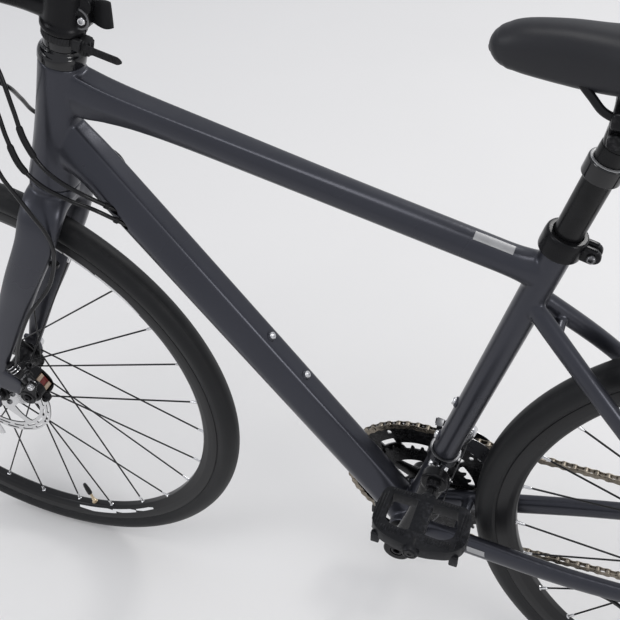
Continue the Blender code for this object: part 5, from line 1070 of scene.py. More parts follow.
def stem_shapes():
    clamp = st_lathe([(0, 585), (21.0, 585), (22.4, 586.2), (22.8, 588.5), (22.4, 591.4), (20.6, 594.4), (20.2, 597), (20.2, 625), (19.4, 626.6), (0, 627)], 72, False)
    neck = loft([
        (st(-4, 0, 607), 16, 17.5, STEER_AXIS, 2.4), (st(-24, 0, 604.6), 15, 16.0, STEER_AXIS, 2.35), (st(-44, 0, 602), 14.5, 15.0, STEER_AXIS, 2.3), (st(-72, 0, 598), 15.5, 15.0, STEER_AXIS, 2.4), (st(-84, 0, 596), 17, 16, STEER_AXIS, 2.6),
    ], 48, 8)
    bar_clamp = cyl(st(BAR_AT[0], -21.8, BAR_AT[1]), st(BAR_AT[0], 21.8, BAR_AT[1]), 20.3, 64, 1.0)
    ear = join(cyl(st(18.6, -8.4, 605), st(18.6, 8.4, 605), 11.4, 56, 1.8), cyl(st(18.6, -6.5, 618), st(18.6, 8.4, 618), 10.4, 56, 1.8))
    skin = welded([clamp, neck, bar_clamp, ear], 0.8, 5)
    skin = boolean(skin, [
        cyl(st(0, 0, 570), st(0, 0, 622.5), 14.7, 48, 0), cyl(st(0, 0, 620), st(0, 0, 640), 16.4, 48, 0),
        cyl(st(BAR_AT[0], -40, BAR_AT[1]), st(BAR_AT[0], 40, BAR_AT[1]), 16.1, 64, 0),
        st_box((26, 1.8, 60), 28.0, 0, 606, 0),
        st_box((1.2, 60, 60), BAR_AT[0] - 3.0, 0, BAR_AT[1], 0),
    ])
    bolts = [socket_bolt(st(22.5, -8.2, 605), (0, -1, 0), 4.1, 3.4, 2.3, 2.2, 36, 0.5), socket_bolt(st(22.5, 8.2, 618.5), (0, 1, 0), 4.1, 3.4, 2.3, 2.2, 36, 0.5)]
    face_bolts = [socket_bolt(st(BAR_AT[0] - 17.6, y, BAR_AT[1] + h), -STEER_BACK, 3.6, 2.8, 2.0, 1.7, 30, 0.4) for y in (-15, 15) for h in (-13.5, 13.5)]
    pads = [cyl(st(BAR_AT[0] - 6, y, BAR_AT[1] + h), st(BAR_AT[0] - 17.8, y, BAR_AT[1] + h), 5.0, 32, 0.6) for y in (-15, 15) for h in (-13.5, 13.5)]
    cap = st_lathe(rounded([(0, 624), (16.0, 624), (16.0, 629.2), (12, 630.4), (5.2, 630.4), (4.8, 628.6), (0, 628.6)], 0.6, 3, closed=False), 72, False)
    cap_bolt = socket_bolt(st(0, 0, 628.0), STEER_AXIS, 4.3, 2.8, 2.4, 2.0, 36, 0.5)
    return skin, bolts, face_bolts, pads, cap, cap_bolt


stem_skin, stem_bolts, face_bolts, face_pads, top_cap, cap_bolt = stem_shapes()
piece("stem_body", [(stem_skin, ANODISED), (join(*face_pads), ANODISED), (top_cap, ANODISED)], "steering", ["stem"], "anodised", angle=40, **STEER)
# A grey metal ring on the clamp ear's outer face: a painted highlight along the ear's rounded rim.
ear_highlight_ring = lathe(rounded([(8.8, -0.2), (11.0, -0.2), (11.0, 0.5), (8.8, 0.5)], 0.3, 2), st(18.6, -8.2, 605), (0, -1, 0), 56, closed=True)
piece("stem_screws_and_highlight_ring", [(join(*stem_bolts, *face_bolts), STEEL_AND_HIGHLIGHT), (cap_bolt, DARK_STEEL_AND_HIGHLIGHT), (ear_highlight_ring, DARK_STEEL_AND_HIGHLIGHT)], "steering", (), "bright_steel", **STEER)
tab_rows = [(st(24.0, 3.5, 611.0), 9.5), (st(31.0, 2.6, 611.5), 12.0), (st(37.0, 1.0, 613.5), 13.2), (st(43.5, -1.2, 617.0), 12.8), (st(48.0, -3.0, 619.5), 11.6)]
rear_tab = loft([(p, 1.2, h, STEER_AXIS + STEER_BACK * (0.05 + 0.2 * i / 4), 6.0) for i, (p, h) in enumerate(tab_rows)], 32, 6, 0.9)
piece("rear_tab", [(rear_tab, RUBBER)], "steering", (), "plastic", **STEER)

bar_ys = np.concatenate([np.linspace(-288, -82, 30), np.linspace(-80, 80, 81), np.linspace(82, 288, 30)])


def bar_radius(y):
    u = min(1.0, max(0.0, (abs(y) - 40.0) / 38.0))
    return 15.9 + (BAR_R - 15.9) * u * u * (3 - 2 * u)


piece("handlebar_tube", [(tube([bar_at(y) for y in bar_ys], [bar_radius(y) for y in bar_ys], 48), ANODISED)], "steering", ["handlebar"], "anodised", about=st(BAR_AT[0], 0, BAR_AT[1]), axis=(0, 1, 0), side=(0, 0, 1), **STEER)


def along(side):
    return unit(bar_at(side * 280) - bar_at(side * 100))


def grip_shape(side):
    prof = [(BAR_R + 0.35, 0.0), (16.2, 0.0), (16.4, 0.8), (16.2, 2.6), (15.4, 4.0)]
    for k in range(24):
        z = 6.0 + k * 4.55
        body = 15.2 + 0.5 * math.exp(-((z - 60) / 30.0) ** 2)
        prof += [(body - 0.75, z), (body - 0.75, z + 1.1), (body, z + 1.6), (body, z + 3.4), (body - 0.75, z + 4.0)]
    prof += [(15.4, 117), (16.2, 119.5), (16.4, 124), (16.3, 127.6), (15.2, 129.8), (13.2, 130.5), (0, 130.5), (0, 127.4), (BAR_R + 0.35, 127.4)]
    return lathe(prof, bar_at(side * 162), along(side), 72, closed=True)


for side, tag in ((-1, "left"), (1, "right")):
    piece("grip_rubber_" + tag, [(grip_shape(side), RUBBER)], "steering", ["grip_" + tag], "soft_rubber", about=bar_at(side * 162), axis=along(side), side=(0, 0, 1), **STEER)

LEVER_DROP, CONTROL_Y = math.radians(34), 140.0


def control_frame(side):
    ahead = -STEER_BACK * math.cos(LEVER_DROP) - STEER_AXIS * math.sin(LEVER_DROP)
    return bar_at(side * CONTROL_Y), ahead, -STEER_BACK * math.sin(LEVER_DROP) + STEER_AXIS * math.cos(LEVER_DROP)


def control_shapes(side):
    c, ahead, up = control_frame(side)
    n = along(side)

    def at(x, y, z):
        """ahead, outwards along the bar, up"""
        return c + ahead * x + n * y + up * z

    ring = cyl(at(0, -8.6, 0), at(0, 8.6, 0), 15.4, 56, 1.2)
    body = loft([(at(8, -6, 1), 12.5, 8.0, up, 2.8), (at(20, -6, 1), 12.0, 8.4, up, 2.8), (at(34, -5, 0.5), 10.5, 8.0, up, 2.9), (at(41, -3, 0), 8.5, 6.5, up, 3.0)], 36, 8)
    pod = loft([(at(-2, -12, -18), 13.5, 9.2, up, 2.8), (at(8, -12, -19), 15.0, 9.8, up, 3.0), (at(22, -12, -19.5), 15.0, 9.6, up, 3.0), (at(30, -12, -19), 11.5, 7.4, up, 2.8)], 40, 8)
    neck = loft([(at(10, -11, -14), 9, 7, n, 2.6), (at(8, -8, -2), 9, 7, n, 2.6)], 24, 4)
    barrel = cyl(at(27, -14, 0), at(27, -33.8, 0), 4.9, 32, 0.6)
    skin = welded([ring, body, pod, neck, barrel], 0.85, 5)
    cut = [cyl(at(0, -30, 0), at(0, 30, 0), BAR_R + 0.3, 48, 0), cyl(at(27, -30, 0), at(27, -40, 0), 2.9, 20, 0), rbox((18, 19, 9.2), at(43, -2, 0), up, n, 0)]
    skin = boolean(skin, cut)
    pin = cyl(at(43, -2, -8.0), at(43, -2, 8.0), 2.4, 28, 0.3)
    ears = join(rbox((15, 14, 3.0), at(42, -2, 6.4), up, n, 1.2), rbox((15, 14, 3.0), at(42, -2, -6.4), up, n, 1.2))
    screw = socket_bolt(at(15.4, 0, 0.0) - ahead * 1.2, ahead, 3.4, 2.6, 1.9, 1.6, 30, 0.4)
    adjuster = knob(at(27, -25.0, 0), at(27, -33.2, 0), 6.2, 12, 0.8)
    lid = cyl(at(12, -12, -9.6), at(12, -12, -8.2), 8.4, 48, 0.5)
    return skin, pin, ears, screw, adjuster, lid, at(43, -2, 0), up, ahead, n


def brake_lever_shape(side):
    c, ahead, up = control_frame(side)
    n = along(side)
    p = c + ahead * 43 - n * 2
    blade = loft([
        (p - n * 2, 6.0, 4.0, up, 2.8), (p + n * 16 + ahead * 5, 7.0, 4.2, up, 2.8), (p + n * 45 + ahead * 9, 5.5, 4.9, up, 2.6),
        (p + n * 85 + ahead * 4, 5.0, 5.3, up, 2.5), (p + n * 112 + ahead * 2.6, 5.2, 5.4, up, 2.5), (p + n * 124 + ahead * 4.4, 5.0, 5.2, up, 2.3),
    ], 36, 10, 3.4)
    boss = cyl(p - up * 4.4, p + up * 4.4, 7.0, 48, 0.8)
    return boolean(blade, [cyl(p - up * 9, p + up * 9, 2.8, 28, 0)], [boss])


def shift_lever_shape(side):
    c, ahead, up = control_frame(side)
    n = along(side)
    p = c + ahead * 10 - up * 33 - n * 12
    boss = cyl(p - up * 2.0, p + up * 3.4, 9.0, 40, 0.8)
    paddle = loft([
        (p - up * 0.2, 6.0, 1.8, up, 2.8), (p - ahead * 16 + n * 12, 5.0, 1.8, up, 2.8), (p - ahead * 26 + n * 22 - up * 2, 8.0, 3.4, up, 2.6), (p - ahead * 29 + n * 26 - up * 2.4, 7.0, 2.8, up, 2.6),
    ], 32, 8, 1.4)
    ribs = [rbox((1.0, 10.0, 0.9), p - ahead * (22 + 2.6 * k) + n * (18.5 + 2.3 * k) - up * (4.9 + 0.1 * k), up, unit(ahead + n), 0.3, 1) for k in range(3)]
    return join(boss, paddle, *ribs)


for side, tag in ((-1, "left"), (1, "right")):
    skin, pin, ears, screw, adjuster, lid, hinge, up, ahead, n = control_shapes(side)
    piece("control_body_" + tag, [(skin, RESIN), (ears, RESIN), (lid, ANODISED), (adjuster, RESIN), (pin, STEEL_AND_HIGHLIGHT), (screw, STEEL_AND_HIGHLIGHT)], "steering", ["control_" + tag], "plastic", angle=42, **STEER)
    piece("brake_blade_" + tag, [(brake_lever_shape(side), ANODISED)], "brake_lever_" + tag, ["brake_lever_" + tag], "anodised", **STEER)
    piece("shift_paddle_" + tag, [(shift_lever_shape(side), RESIN)], "shift_lever_" + tag, ["shift_lever_" + tag], "plastic", **STEER)


# ------------------------------------------------------------------ brakes and wheel fastenings
def caliper_piece(name, node, centre, rotor_y, angle, out_y, body_name, steer, extra=()):
    """The caliper: a rounded casting over the disc with its pad window, a round piston housing, and its screws."""
    r, t = polar(1, angle), polar(1, angle + 90)
    c = np.asarray(centre, float)

    def at(rad, tan, y):
        return c + r * rad + t * tan + pt(0, y, 0)

    casting = loft([
        (at(67.5, 0, rotor_y), 18.0, 11.0, (0, 1, 0), 3.2), (at(75, 1, rotor_y - 0.5), 21.0, 12.2, (0, 1, 0), 3.0), (at(88, 3, rotor_y - 1), 23.5, 12.8, (0, 1, 0), 2.8), (at(96.5, 4, rotor_y - 1), 21.0, 12.0, (0, 1, 0), 2.5),
    ], 48, 8, 1.6)
    barrel = lathe([(0, 0), (14.2, 0), (14.5, 0.6), (14.5, abs(out_y - rotor_y) - 11.4), (13.6, abs(out_y - rotor_y) - 10.4), (0, abs(out_y - rotor_y) - 10.0)], at(90, 0, rotor_y - 10), (0, -1, 0), 64)
    ears = [cyl(at(92, s * 20, rotor_y - 6), at(92, s * 20, rotor_y - 14), 6.2, 32, 0.8) for s in (-1, 1)]
    skin = welded([casting, barrel, *ears, *extra], 0.8, 5)
    slot_y = rbox((60, 3.6, 40), at(62.6, 0, rotor_y), r, (0, 1, 0), 0)
    window = rbox((24, 17, 15), at(99, -1.5, rotor_y - 1), r, (0, 1, 0), 2.6)
    face = cyl(at(90, 0, out_y + 1.2), at(90, 0, out_y - 3), 9.5, 40, 0)
    skin = boolean(skin, [slot_y, window, face])
    stub = cyl(at(90, 0, out_y + 3), at(90, 0, out_y - 7.2), 4.0, 32, 0.5)
    stub_bolt = socket_bolt(at(90, 0, out_y - 7.0), (0, -1, 0), 5.2, 2.6, 2.5, 2.0, 36, 0.5)
    screws = [socket_bolt(at(92, s * 20, rotor_y - 13.8), (0, -1, 0), 4.2, 3.4, 2.2, 2.0, 36, 0.5) for s in (-1, 1)]
    bars = [rbox((5.6, 12.6, 5), at(94.6, s * 7.6 - 1.5, rotor_y - 1), r, (0, 1, 0), 0.8) for s in (-1, 1)]
    spring = join(rbox((8.4, 11.0, 4), at(93.6, -1.5, rotor_y - 1), r, (0, 1, 0), 0.8), rbox((21.0, 2.6, 4), at(94.4, -1.5, rotor_y + 4.6), r, (0, 1, 0), 0.6))
    return skin, stub, stub_bolt, screws, bars, spring, r, t, at


def arm_shape(centre, angle, out_y, reach):
    c = np.asarray(centre, float) + polar(1, angle) * 90 + pt(0, out_y - 3.8, 0)
    d = polar(1, reach)
    body = loft([(c + d * 4, 9.5, 2.4, (0, 1, 0), 3.2), (c + d * 18, 7.5, 2.3, (0, 1, 0), 3.2), (c + d * 30, 6.0, 2.2, (0, 1, 0), 3.2), (c + d * 34, 5.4, 2.2, (0, 1, 0), 2.8)], 36, 6, 0.8)
    ring = lathe(rounded([(4.3, -3.1), (11.2, -3.1), (11.2, 3.1), (4.3, 3.1)], 0.8, 3), c, (0, 1, 0), 56, closed=True)
    rib = lathe([(8.0, 3.0), (10.2, 3.0), (10.2, 3.6), (8.0, 3.6)], c, (0, -1, 0), 56, closed=True)
    skin = boolean(body, [cyl(c - pt(0, 9, 0), c + pt(0, 9, 0), 8.0, 40, 0)])
    clamp = cyl(c + d * 30 - pt(0, 5.6, 0), c + d * 30 + pt(0, 3.2, 0), 4.2, 32, 0.5)
    clamp_bolt = socket_bolt(c + d * 30 - pt(0, 5.4, 0), (0, -1, 0), 3.8, 2.4, 2.0, 1.6, 30, 0.4)
    return join(skin, ring, rib), clamp, clamp_bolt, c, d


def boot(a, b, r, folds=6):
    """A bellows from a to b."""
    a, b = np.asarray(a, float), np.asarray(b, float)
    h = np.linalg.norm(b - a)
    prof = [(0, 0)]
    for k in range(folds):
        z = h * k / folds
        w = h / folds
        prof += [(r * 0.74, z + 0.02), (r, z + w * 0.35), (r, z + w * 0.6), (r * 0.74, z + w * 0.95)]
    prof += [(r * 0.6, h), (0, h)]
    return lathe(prof, a, b - a, 32)


skin, stub, stub_bolt, screws, bars, spring, r, t, at = caliper_piece("front", "front_caliper", F_C, FRONT_ROTOR_Y, 28.0, -62.0, "steering", True)
stop = cyl(F_C + r * 96 + t * 14 + pt(0, -54, 0), F_C + r * 92 + t * 36 + pt(0, -56, 0), 4.2, 32, 0.5)
stop_knob = knob(F_C + r * 93.8 + t * 26 + pt(0, -55.1, 0), F_C + r * 92.4 + t * 34 + pt(0, -55.9, 0), 5.6, 12, 0.7)
lug = rbox((18, 12, 10), F_C + r * 94 + t * 16 + pt(0, -53, 0), r, (0, 1, 0), 2.0)
mount_bolt = socket_bolt(F_C + r * 97 + t * 30 + pt(0, -40, 0), r, 4.6, 4.0, 2.5, 2.4, 36, 0.6)
boot_a, boot_b = F_C + r * 93.0 + t * 32 + pt(0, -55.6, 0), F_C + r * 91.8 + t * 50 + pt(0, -55.2, 0)
bellows = boot(boot_a, boot_b, 6.6, 6)
boot_rings = join(*[lathe([(4.7, -0.5), (6.75, -0.5), (6.75, 0.5), (4.7, 0.5)], boot_a + (boot_b - boot_a) * f, boot_b - boot_a, 32, closed=True) for f in (0.26, 0.5, 0.74)])
piece("front_caliper_body", [(skin, ANODISED), (lug, ANODISED), (stop, DARK_STEEL_AND_HIGHLIGHT), (stop_knob, RESIN), (bellows, RUBBER), (boot_rings, STEEL_AND_HIGHLIGHT), (mount_bolt, ANODISED), (stub, DARK_STEEL_AND_HIGHLIGHT), (stub_bolt, ANODISED), (join(*screws), ANODISED), (join(*bars), CREAM), (spring, RED)],
      "steering", ["front_caliper"], "anodised", angle=42, **STEER)
arm, clamp, clamp_bolt, c_arm, d_arm = arm_shape(F_C, 28.0, -62.0, 62)
piece("front_brake_arm", [(arm, ANODISED), (clamp, STEEL_AND_HIGHLIGHT), (clamp_bolt, STEEL_AND_HIGHLIGHT)], "front_caliper_arm", ["front_caliper_arm"], "anodised", **STEER)

foot = rbox((30, 12, 12), (348, -65, 361.5), (-0.16, 0, 0.987), edge=2.0)
skin, stub, stub_bolt, screws, bars, spring, r, t, at = caliper_piece("rear", "rear_caliper", R_C, REAR_ROTOR_Y, 160.0, -72.0, "frame", False, [foot])
stop = cyl(R_C + r * 96 + t * 8 + pt(0, -66, 0), R_C + r * 104 + t * 28 + pt(0, -73, 0), 4.2, 32, 0.5)
stop_knob = knob(R_C + r * 100.5 + t * 19 + pt(0, -69.9, 0), R_C + r * 103.4 + t * 26.4 + pt(0, -72.5, 0), 5.4, 12, 0.7)
piece("rear_caliper_body", [(skin, ANODISED), (stop, DARK_STEEL_AND_HIGHLIGHT), (stop_knob, RESIN), (stub, STEEL_AND_HIGHLIGHT), (stub_bolt, STEEL_AND_HIGHLIGHT), (join(*screws), STEEL_AND_HIGHLIGHT), (join(*bars), CREAM), (spring, RED)],
      "frame", ["rear_caliper"], "anodised", angle=42)
arm, clamp, clamp_bolt, _, _ = arm_shape(R_C, 160.0, -72.0, 95)
piece("rear_brake_arm", [(arm, ANODISED), (clamp, STEEL_AND_HIGHLIGHT), (clamp_bolt, STEEL_AND_HIGHLIGHT)], "rear_caliper_arm", ["rear_caliper_arm"], "anodised")


def skewer_shape(centre, half, plate_t, slot_r):
    outer = half + 0.3 + plate_t
    prof = [
        (0, -outer - 4.5), (7.2, -outer - 4.5), (7.6, -outer - 4.1), (8.5, -outer - 0.8), (8.5, -outer - 0.3), (slot_r - 0.4, -outer - 0.3), (slot_r - 0.4, -half), (9.1, -half), (9.5, -half + 0.4), (9.5, -half + 3.1),
        (6.2, -half + 3.1), (6.2, half - 3.1), (9.5, half - 3.1), (9.5, half - 0.4), (9.1, half), (slot_r - 0.4, half), (slot_r - 0.4, outer + 0.3), (9.0, outer + 0.3), (9.0, outer + 1.4), (8.4, outer + 2.0), (8.4, outer + 8), (7.4, outer + 11.4), (6.6, outer + 12), (0, outer + 12),
    ]
    return lathe(prof, centre, (0, 1, 0), 48)


def qr_shape(centre, outer, direction):
    c = np.asarray(centre, float) - pt(0, outer + 11.5, 0)
    d = unit(direction)
    across = np.cross(d, pt(0, 1, 0))
    barrel = cyl(c - across * 7, c + across * 7, 6.5, 48, 0.9)
    handle = loft([
        (c + d * 2 - pt(0, 0.5, 0), 5.5, 4.0, (0, 1, 0), 2.6), (c + d * 22 - pt(0, 1.5, 0), 6.5, 2.6, (0, 1, 0), 2.6), (c + d * 42 - pt(0, 1.0, 0), 7.5, 2.4, (0, 1, 0), 2.6), (c + d * 52 + pt(0, 0.4, 0), 6.2, 2.2, (0, 1, 0), 2.4),
    ], 36, 8, 1.8)
    return boolean(handle, [], [barrel])


own = dict(about=F_C, axis=(0, 1, 0), side=(0, 0, 1))
piece("front_axle_skewer", [(skewer_shape(F_C, 50.1, 6.0, 4.9), STEEL_AND_HIGHLIGHT)], "steering", ["front_skewer"], "bright_steel", steer=True, **own)
piece("front_qr_handle", [(qr_shape(F_C, 56.4, (0.12, 0, -1)), STEEL_AND_HIGHLIGHT)], "front_qr_lever", ["front_qr_lever"], "bright_steel", **STEER)
own = dict(about=R_C, axis=(0, 1, 0), side=(0, 0, 1))
piece("rear_axle_skewer", [(skewer_shape(R_C, 67.5, 6.4, 5.6), STEEL_AND_HIGHLIGHT)], "frame", ["rear_skewer"], "bright_steel", **own)
piece("rear_qr_handle", [(qr_shape(R_C, 74.2, (0.75, 0, 0.66)), STEEL_AND_HIGHLIGHT)], "rear_qr_lever", ["rear_qr_lever"], "bright_steel")

# ------------------------------------------------------------------ seat
TILT, RAIL_Z = se(-6, 0, 597), 872.0


def se_lathe(profile, steps=72, closed=True):
    return lathe(profile, BB, SEAT_AXIS, steps, closed=closed)


post = se_lathe([(0, 285), (POST_R - 0.5, 285), (POST_R, 285.6), (POST_R, 578), (POST_R - 0.3, 581), (0, 583)], 96, False)
neck = loft([(se(0, 0, 572), 13.4, 13.4, (0, 1, 0), 2.0), (se(-0.6, 0, 582), 12.4, 12.4, (0, 1, 0), 2.1), (se(-3, 0, 590), 11, 11, (0, 1, 0), 2.2), (TILT, 9, 9, (0, 1, 0), 2.2)], 48, 6)
head = cyl(TILT - pt(0, 12.5, 0), TILT + pt(0, 12.5, 0), 8.4, 56, 0.8)
post_skin = welded([neck, head], 0.7, 5)
pin = cyl(TILT - pt(0, 24, 0), TILT + pt(0, 24, 0), 3.6, 32, 0.3)
nuts = [hex_nut(TILT + pt(0, s * 21.3, 0), (0, s, 0), 12.6, 5.2) for s in (-1, 1)]
piece("seatpost_tube", [(post, POST), (post_skin, POST), (pin, DARK_STEEL_AND_HIGHLIGHT), (join(*nuts), ANODISED)], "seatpost", ["seatpost"], "anodised", about=BB, axis=SEAT_AXIS)
ring = se_lathe(rounded([(POST_R + 0.3, 550), (17.2, 550), (17.6, 551), (17.6, 565.6), (17.0, 567), (POST_R + 0.3, 567)], 0.5, 3), 96)
# The thin pale ring at the bracket's top edge is a painted highlight: it stands in for the light along that edge.
highlight_lip = se_lathe(rounded([(POST_R + 0.2, 566.6), (16.6, 566.6), (16.4, 567.5), (POST_R + 0.2, 567.5)], 0.2, 2), 96)
ear = join(rbox((15, 12, 13), se(22.5, 0, 558.5), SEAT_AXIS, edge=2.4), cyl(se(27, -9, 558.5), se(27, 9, 558.5), 4.4, 36, 1.0))
piece("seatpost_ring", [(ring, GLOSS), (ear, GLOSS), (highlight_lip, LABEL_AND_HIGHLIGHT)], "seatpost", ["seatpost_bracket"], "plastic", about=BB, axis=SEAT_AXIS)

collar = se_lathe(rounded([(SEAT_TUBE_R + 0.3, 464), (19.4, 464), (20.2, 465), (20.4, 468), (20.4, 480), (19.8, 484.6), (18.6, 486), (14.4, 486), (14.4, SEAT_TUBE_TOP + 0.3), (SEAT_TUBE_R + 0.3, SEAT_TUBE_TOP + 0.3)], [0, 0.5, 0.8, 1, 1, 1, 0.7, 0.3, 0, 0], 3), 96)
ears = [rbox((15, 7.2, 16), se(23.6, s * 5.0, 475), SEAT_AXIS, edge=2.6, seg=4) for s in (-1, 1)]
rounds = [cyl(se(29.0, s * 1.6, 475), se(29.0, s * 8.6, 475), 6.6, 40, 1.6) for s in (-1, 1)]
seat_bolt = join(socket_bolt(se(27.0, -8.4, 475), (0, -1, 0), 4.2, 4.0, 2.3, 2.4, 36, 0.6), cyl(se(27.0, -9, 475), se(27.0, 9, 475), 2.6, 24, 0.2), hex_nut(se(27.0, 8.2, 475), (0, 1, 0), 8.4, 3.0))
piece("seat_collar_clamp", [(collar, ANODISED), (join(*ears, *rounds), ANODISED), (seat_bolt, DARK_STEEL_AND_HIGHLIGHT)], "frame", ["seat_collar"], "anodised", about=BB, axis=SEAT_AXIS)

bridge = rbox((28, 58, 15), (TILT[0] + 8, 0, RAIL_Z), edge=3.5, seg=4)
cheeks = [rbox((18, 5.6, 30), (TILT[0] + 2, s * 17.6, TILT[2] + 6), edge=2.0) for s in (-1, 1)]
clamp_skin = boolean(bridge, [
    cyl(TILT - pt(0, 30, 0), TILT + pt(0, 30, 0), 4.0, 28, 0), cyl((TILT[0] - 40, -22, RAIL_Z), (TILT[0] + 50, -22, RAIL_Z), 3.9, 24, 0), cyl((TILT[0] - 40, 22, RAIL_Z), (TILT[0] + 50, 22, RAIL_Z), 3.9, 24, 0),
], cheeks)
piece("saddle_clamp_block", [(clamp_skin, ANODISED)], "saddle_clamp", ["saddle_clamp"], "anodised")

shell = loft([
    ((53.4, 0, 907.6), 3.2, 3.4, (0, 0, 1), 2.0), ((54.6, 0, 908), 6.6, 7.0, (0, 0, 1), 2.1), ((57.4, 0, 908.8), 10.6, 11.2, (0, 0, 1), 2.2), ((61.5, 0, 909.8), 13.6, 14.6, (0, 0, 1), 2.2), ((68, 0, 911.0), 16.2, 17.6, (0, 0, 1), 2.3), ((82, 0, 912.2), 18.6, 20.8, (0, 0, 1), 2.4), ((112, 0, 911), 20.5, 24, (0, 0, 1), 2.5),
    ((147, 0, 909), 24.5, 25, (0, 0, 1), 2.5), ((185, 0, 911), 36, 23, (0, 0, 1), 2.6), ((225, 0, 916), 57, 19, (0, 0, 1), 2.8), ((265, 0, 921), 74, 17.5, (0, 0, 1), 2.9),
    ((298, 0, 924), 75.5, 15.5, (0, 0, 1), 2.7), ((314, 0, 925), 66, 12, (0, 0, 1), 2.5), ((320, 0, 925), 54, 8.5, (0, 0, 1), 2.3), ((323.2, 0, 925), 44, 5, (0, 0, 1), 2.2),
], 96, 10, 0.9)
cushion = piece("saddle_cushion", [(shell, VINYL)], "saddle", ["saddle"], "vinyl", about=(190, 0, 910), angle=60)
rails = [tube(smooth_path([(104, s * 8, 906), (122, s * 13, 898), (136, s * 18, 886.5), (147, s * 21.2, 876.5), (158, s * 22, RAIL_Z + 0.4), (172, s * 22, RAIL_Z), (205, s * 22, RAIL_Z), (228, s * 25, 879), (248, s * 31, 893), (258, s * 33, 906)], 64), 3.5, 24) for s in (-1, 1)]
socket = rbox((34, 26, 8), (114, 0, 896), edge=3.6)
heels = [rbox((24, 12, 12), (256, s * 33, 903), edge=4.0) for s in (-1, 1)]
piece("saddle_rails", [(join(*rails), BLACK_RAIL), (socket, RESIN), (join(*heels), RESIN)], "saddle", (), "bright_steel", about=(190, 0, 880))

# ------------------------------------------------------------------ crankset
def tooth_loop(n, root, tip, phase=0.0):
    loop = []
    for k in range(n):
        for off, r in ((0.0, root), (0.14, root + 0.25), (0.27, root + 1.6), (0.38, tip - 0.7), (0.45, tip), (0.55, tip), (0.62, tip - 0.7), (0.73, root + 1.6), (0.86, root + 0.25)):
            t = phase + 2 * math.pi * (k + off) / n
            loop.append((r * math.cos(t), r * math.sin(t)))
    return loop


def pitch_r(n):
    return PITCH / (2 * math.sin(math.pi / n))


def arc_window(low, high, start, first, last, n=12, ease=2.2):
    loop = [polar(high, start + first + (last - first) * k / n) for k in range(n + 1)] + [polar(low, start + last - (last - first) * k / n) for k in range(n + 1)]
    flat = [np.array([p[0], p[2]]) for p in loop]
    radii = [0] * len(flat)
    for i in (0, n, n + 1, 2 * n + 1):
        radii[i] = ease
    return [tuple(p) for p in rounded(flat, radii, 4)]


def crank_skin(side, degrees, extra=()):
    d, n = polar(1, degrees), pt(0, 1, 0)
    arm = loft([
        (BB + d * -8 + n * (side * 57), 13.5, 8.0, n, 2.5), (BB + d * 8 + n * (side * 57.6), 14.2, 8.2, n, 2.7), (BB + d * 25 + n * (side * 59), 13.0, 7.5, n, 2.9), (BB + d * 85 + n * (side * 64), 11.0, 6.5, n, 3.2),
        (BB + d * 140 + n * (side * 68.4), 12.0, 6.4, n, 3.4), (BB + d * 158 + n * (side * 69.4), 13.4, 6.4, n, 3.0), (BB + d * (CRANK + 7) + n * (side * 69.5), 11.6, 6.0, n, 2.4),
    ], 48, 8, 1.6)
    boss = cyl(BB + n * (side * 47), BB + n * (side * 66), 17.0, 64, 1.6)
    eye = cyl(BB + d * CRANK + n * (side * 62.5), BB + d * CRANK + n * (side * 76.0), 15.0, 64, 1.4)
    return welded([arm, boss, eye, *extra], 1.0, 5)


def pedal_axle(side, degrees):
    d, n = polar(1, degrees), pt(0, 1, 0)
    c = BB + d * CRANK
    collar = lathe([(0, 73.5), (8.0, 73.5), (8.0, 76.6), (7.4, 77.2), (7.4, 84.0), (5.0, 84.6), (5.0, 152), (0, 152)], c, n * side, 40)
    flats = hex_nut(c + n * (side * 77.0), n * side, 15.0, 6.0)
    return join(collar, flats)


left_skin = boolean(crank_skin(-1, CRANK_ANGLE), [cyl((0, -70, BB_Z), (0, -62.4, BB_Z), 8.2, 48, 0), cyl((0, -57, BB_Z), (0, -40, BB_Z), 8.8, 48, 0), cyl(BB + polar(CRANK, CRANK_ANGLE) + pt(0, -60, 0), BB + polar(CRANK, CRANK_ANGLE) + pt(0, -66, 0), 5.0, 6, 0)])
axle_l = pedal_axle(-1, CRANK_ANGLE)
crank_bolt = socket_bolt((0, -61.8, BB_Z), (0, -1, 0), 8.0, 3.8, 4.5, 3.4, 48, 0.8)
own = dict(about=BB, axis=(0, 1, 0), side=(0, 0, 1))
piece("crank_arm_left", [(left_skin, ANODISED), (crank_bolt, ANODISED), (axle_l, ANODISED)], "crankset", ["crank_left"], "anodised", angle=42, **own)

spider = []
for k in range(5):
    d = polar(1, CRANK_ANGLE + 180 + 36 + 72 * k)
    spider.append(loft([
        (BB + d * 8 + pt(0, 52, 0), 11, 4.5, (0, 1, 0), 3.0), (BB + d * 30 + pt(0, 49.0, 0), 8.6, 3.6, (0, 1, 0), 3.0), (BB + d * 52 + pt(0, 46.4, 0), 7.0, 3.0, (0, 1, 0), 3.0), (BB + d * 61 + pt(0, 45.6, 0), 6.6, 2.6, (0, 1, 0), 2.6),
    ], 32, 6, 1.0))
right_skin = crank_skin(1, CRANK_ANGLE + 180, spider)
right_skin = boolean(right_skin, [cyl((0, 57, BB_Z), (0, 70, BB_Z), 10.8, 48, 0)])
axle_r = pedal_axle(1, CRANK_ANGLE + 180)
spindle = cyl((0, -57, BB_Z), (0, 57, BB_Z), 8.5, 48, 0.5)
inner_ring = prism(tooth_loop(34, pitch_r(34) - 3.9, pitch_r(34) + 2.6), 2.0, BB + pt(0, 42.4, 0), holes=[circle(46, 60)])
ring_bolts = []
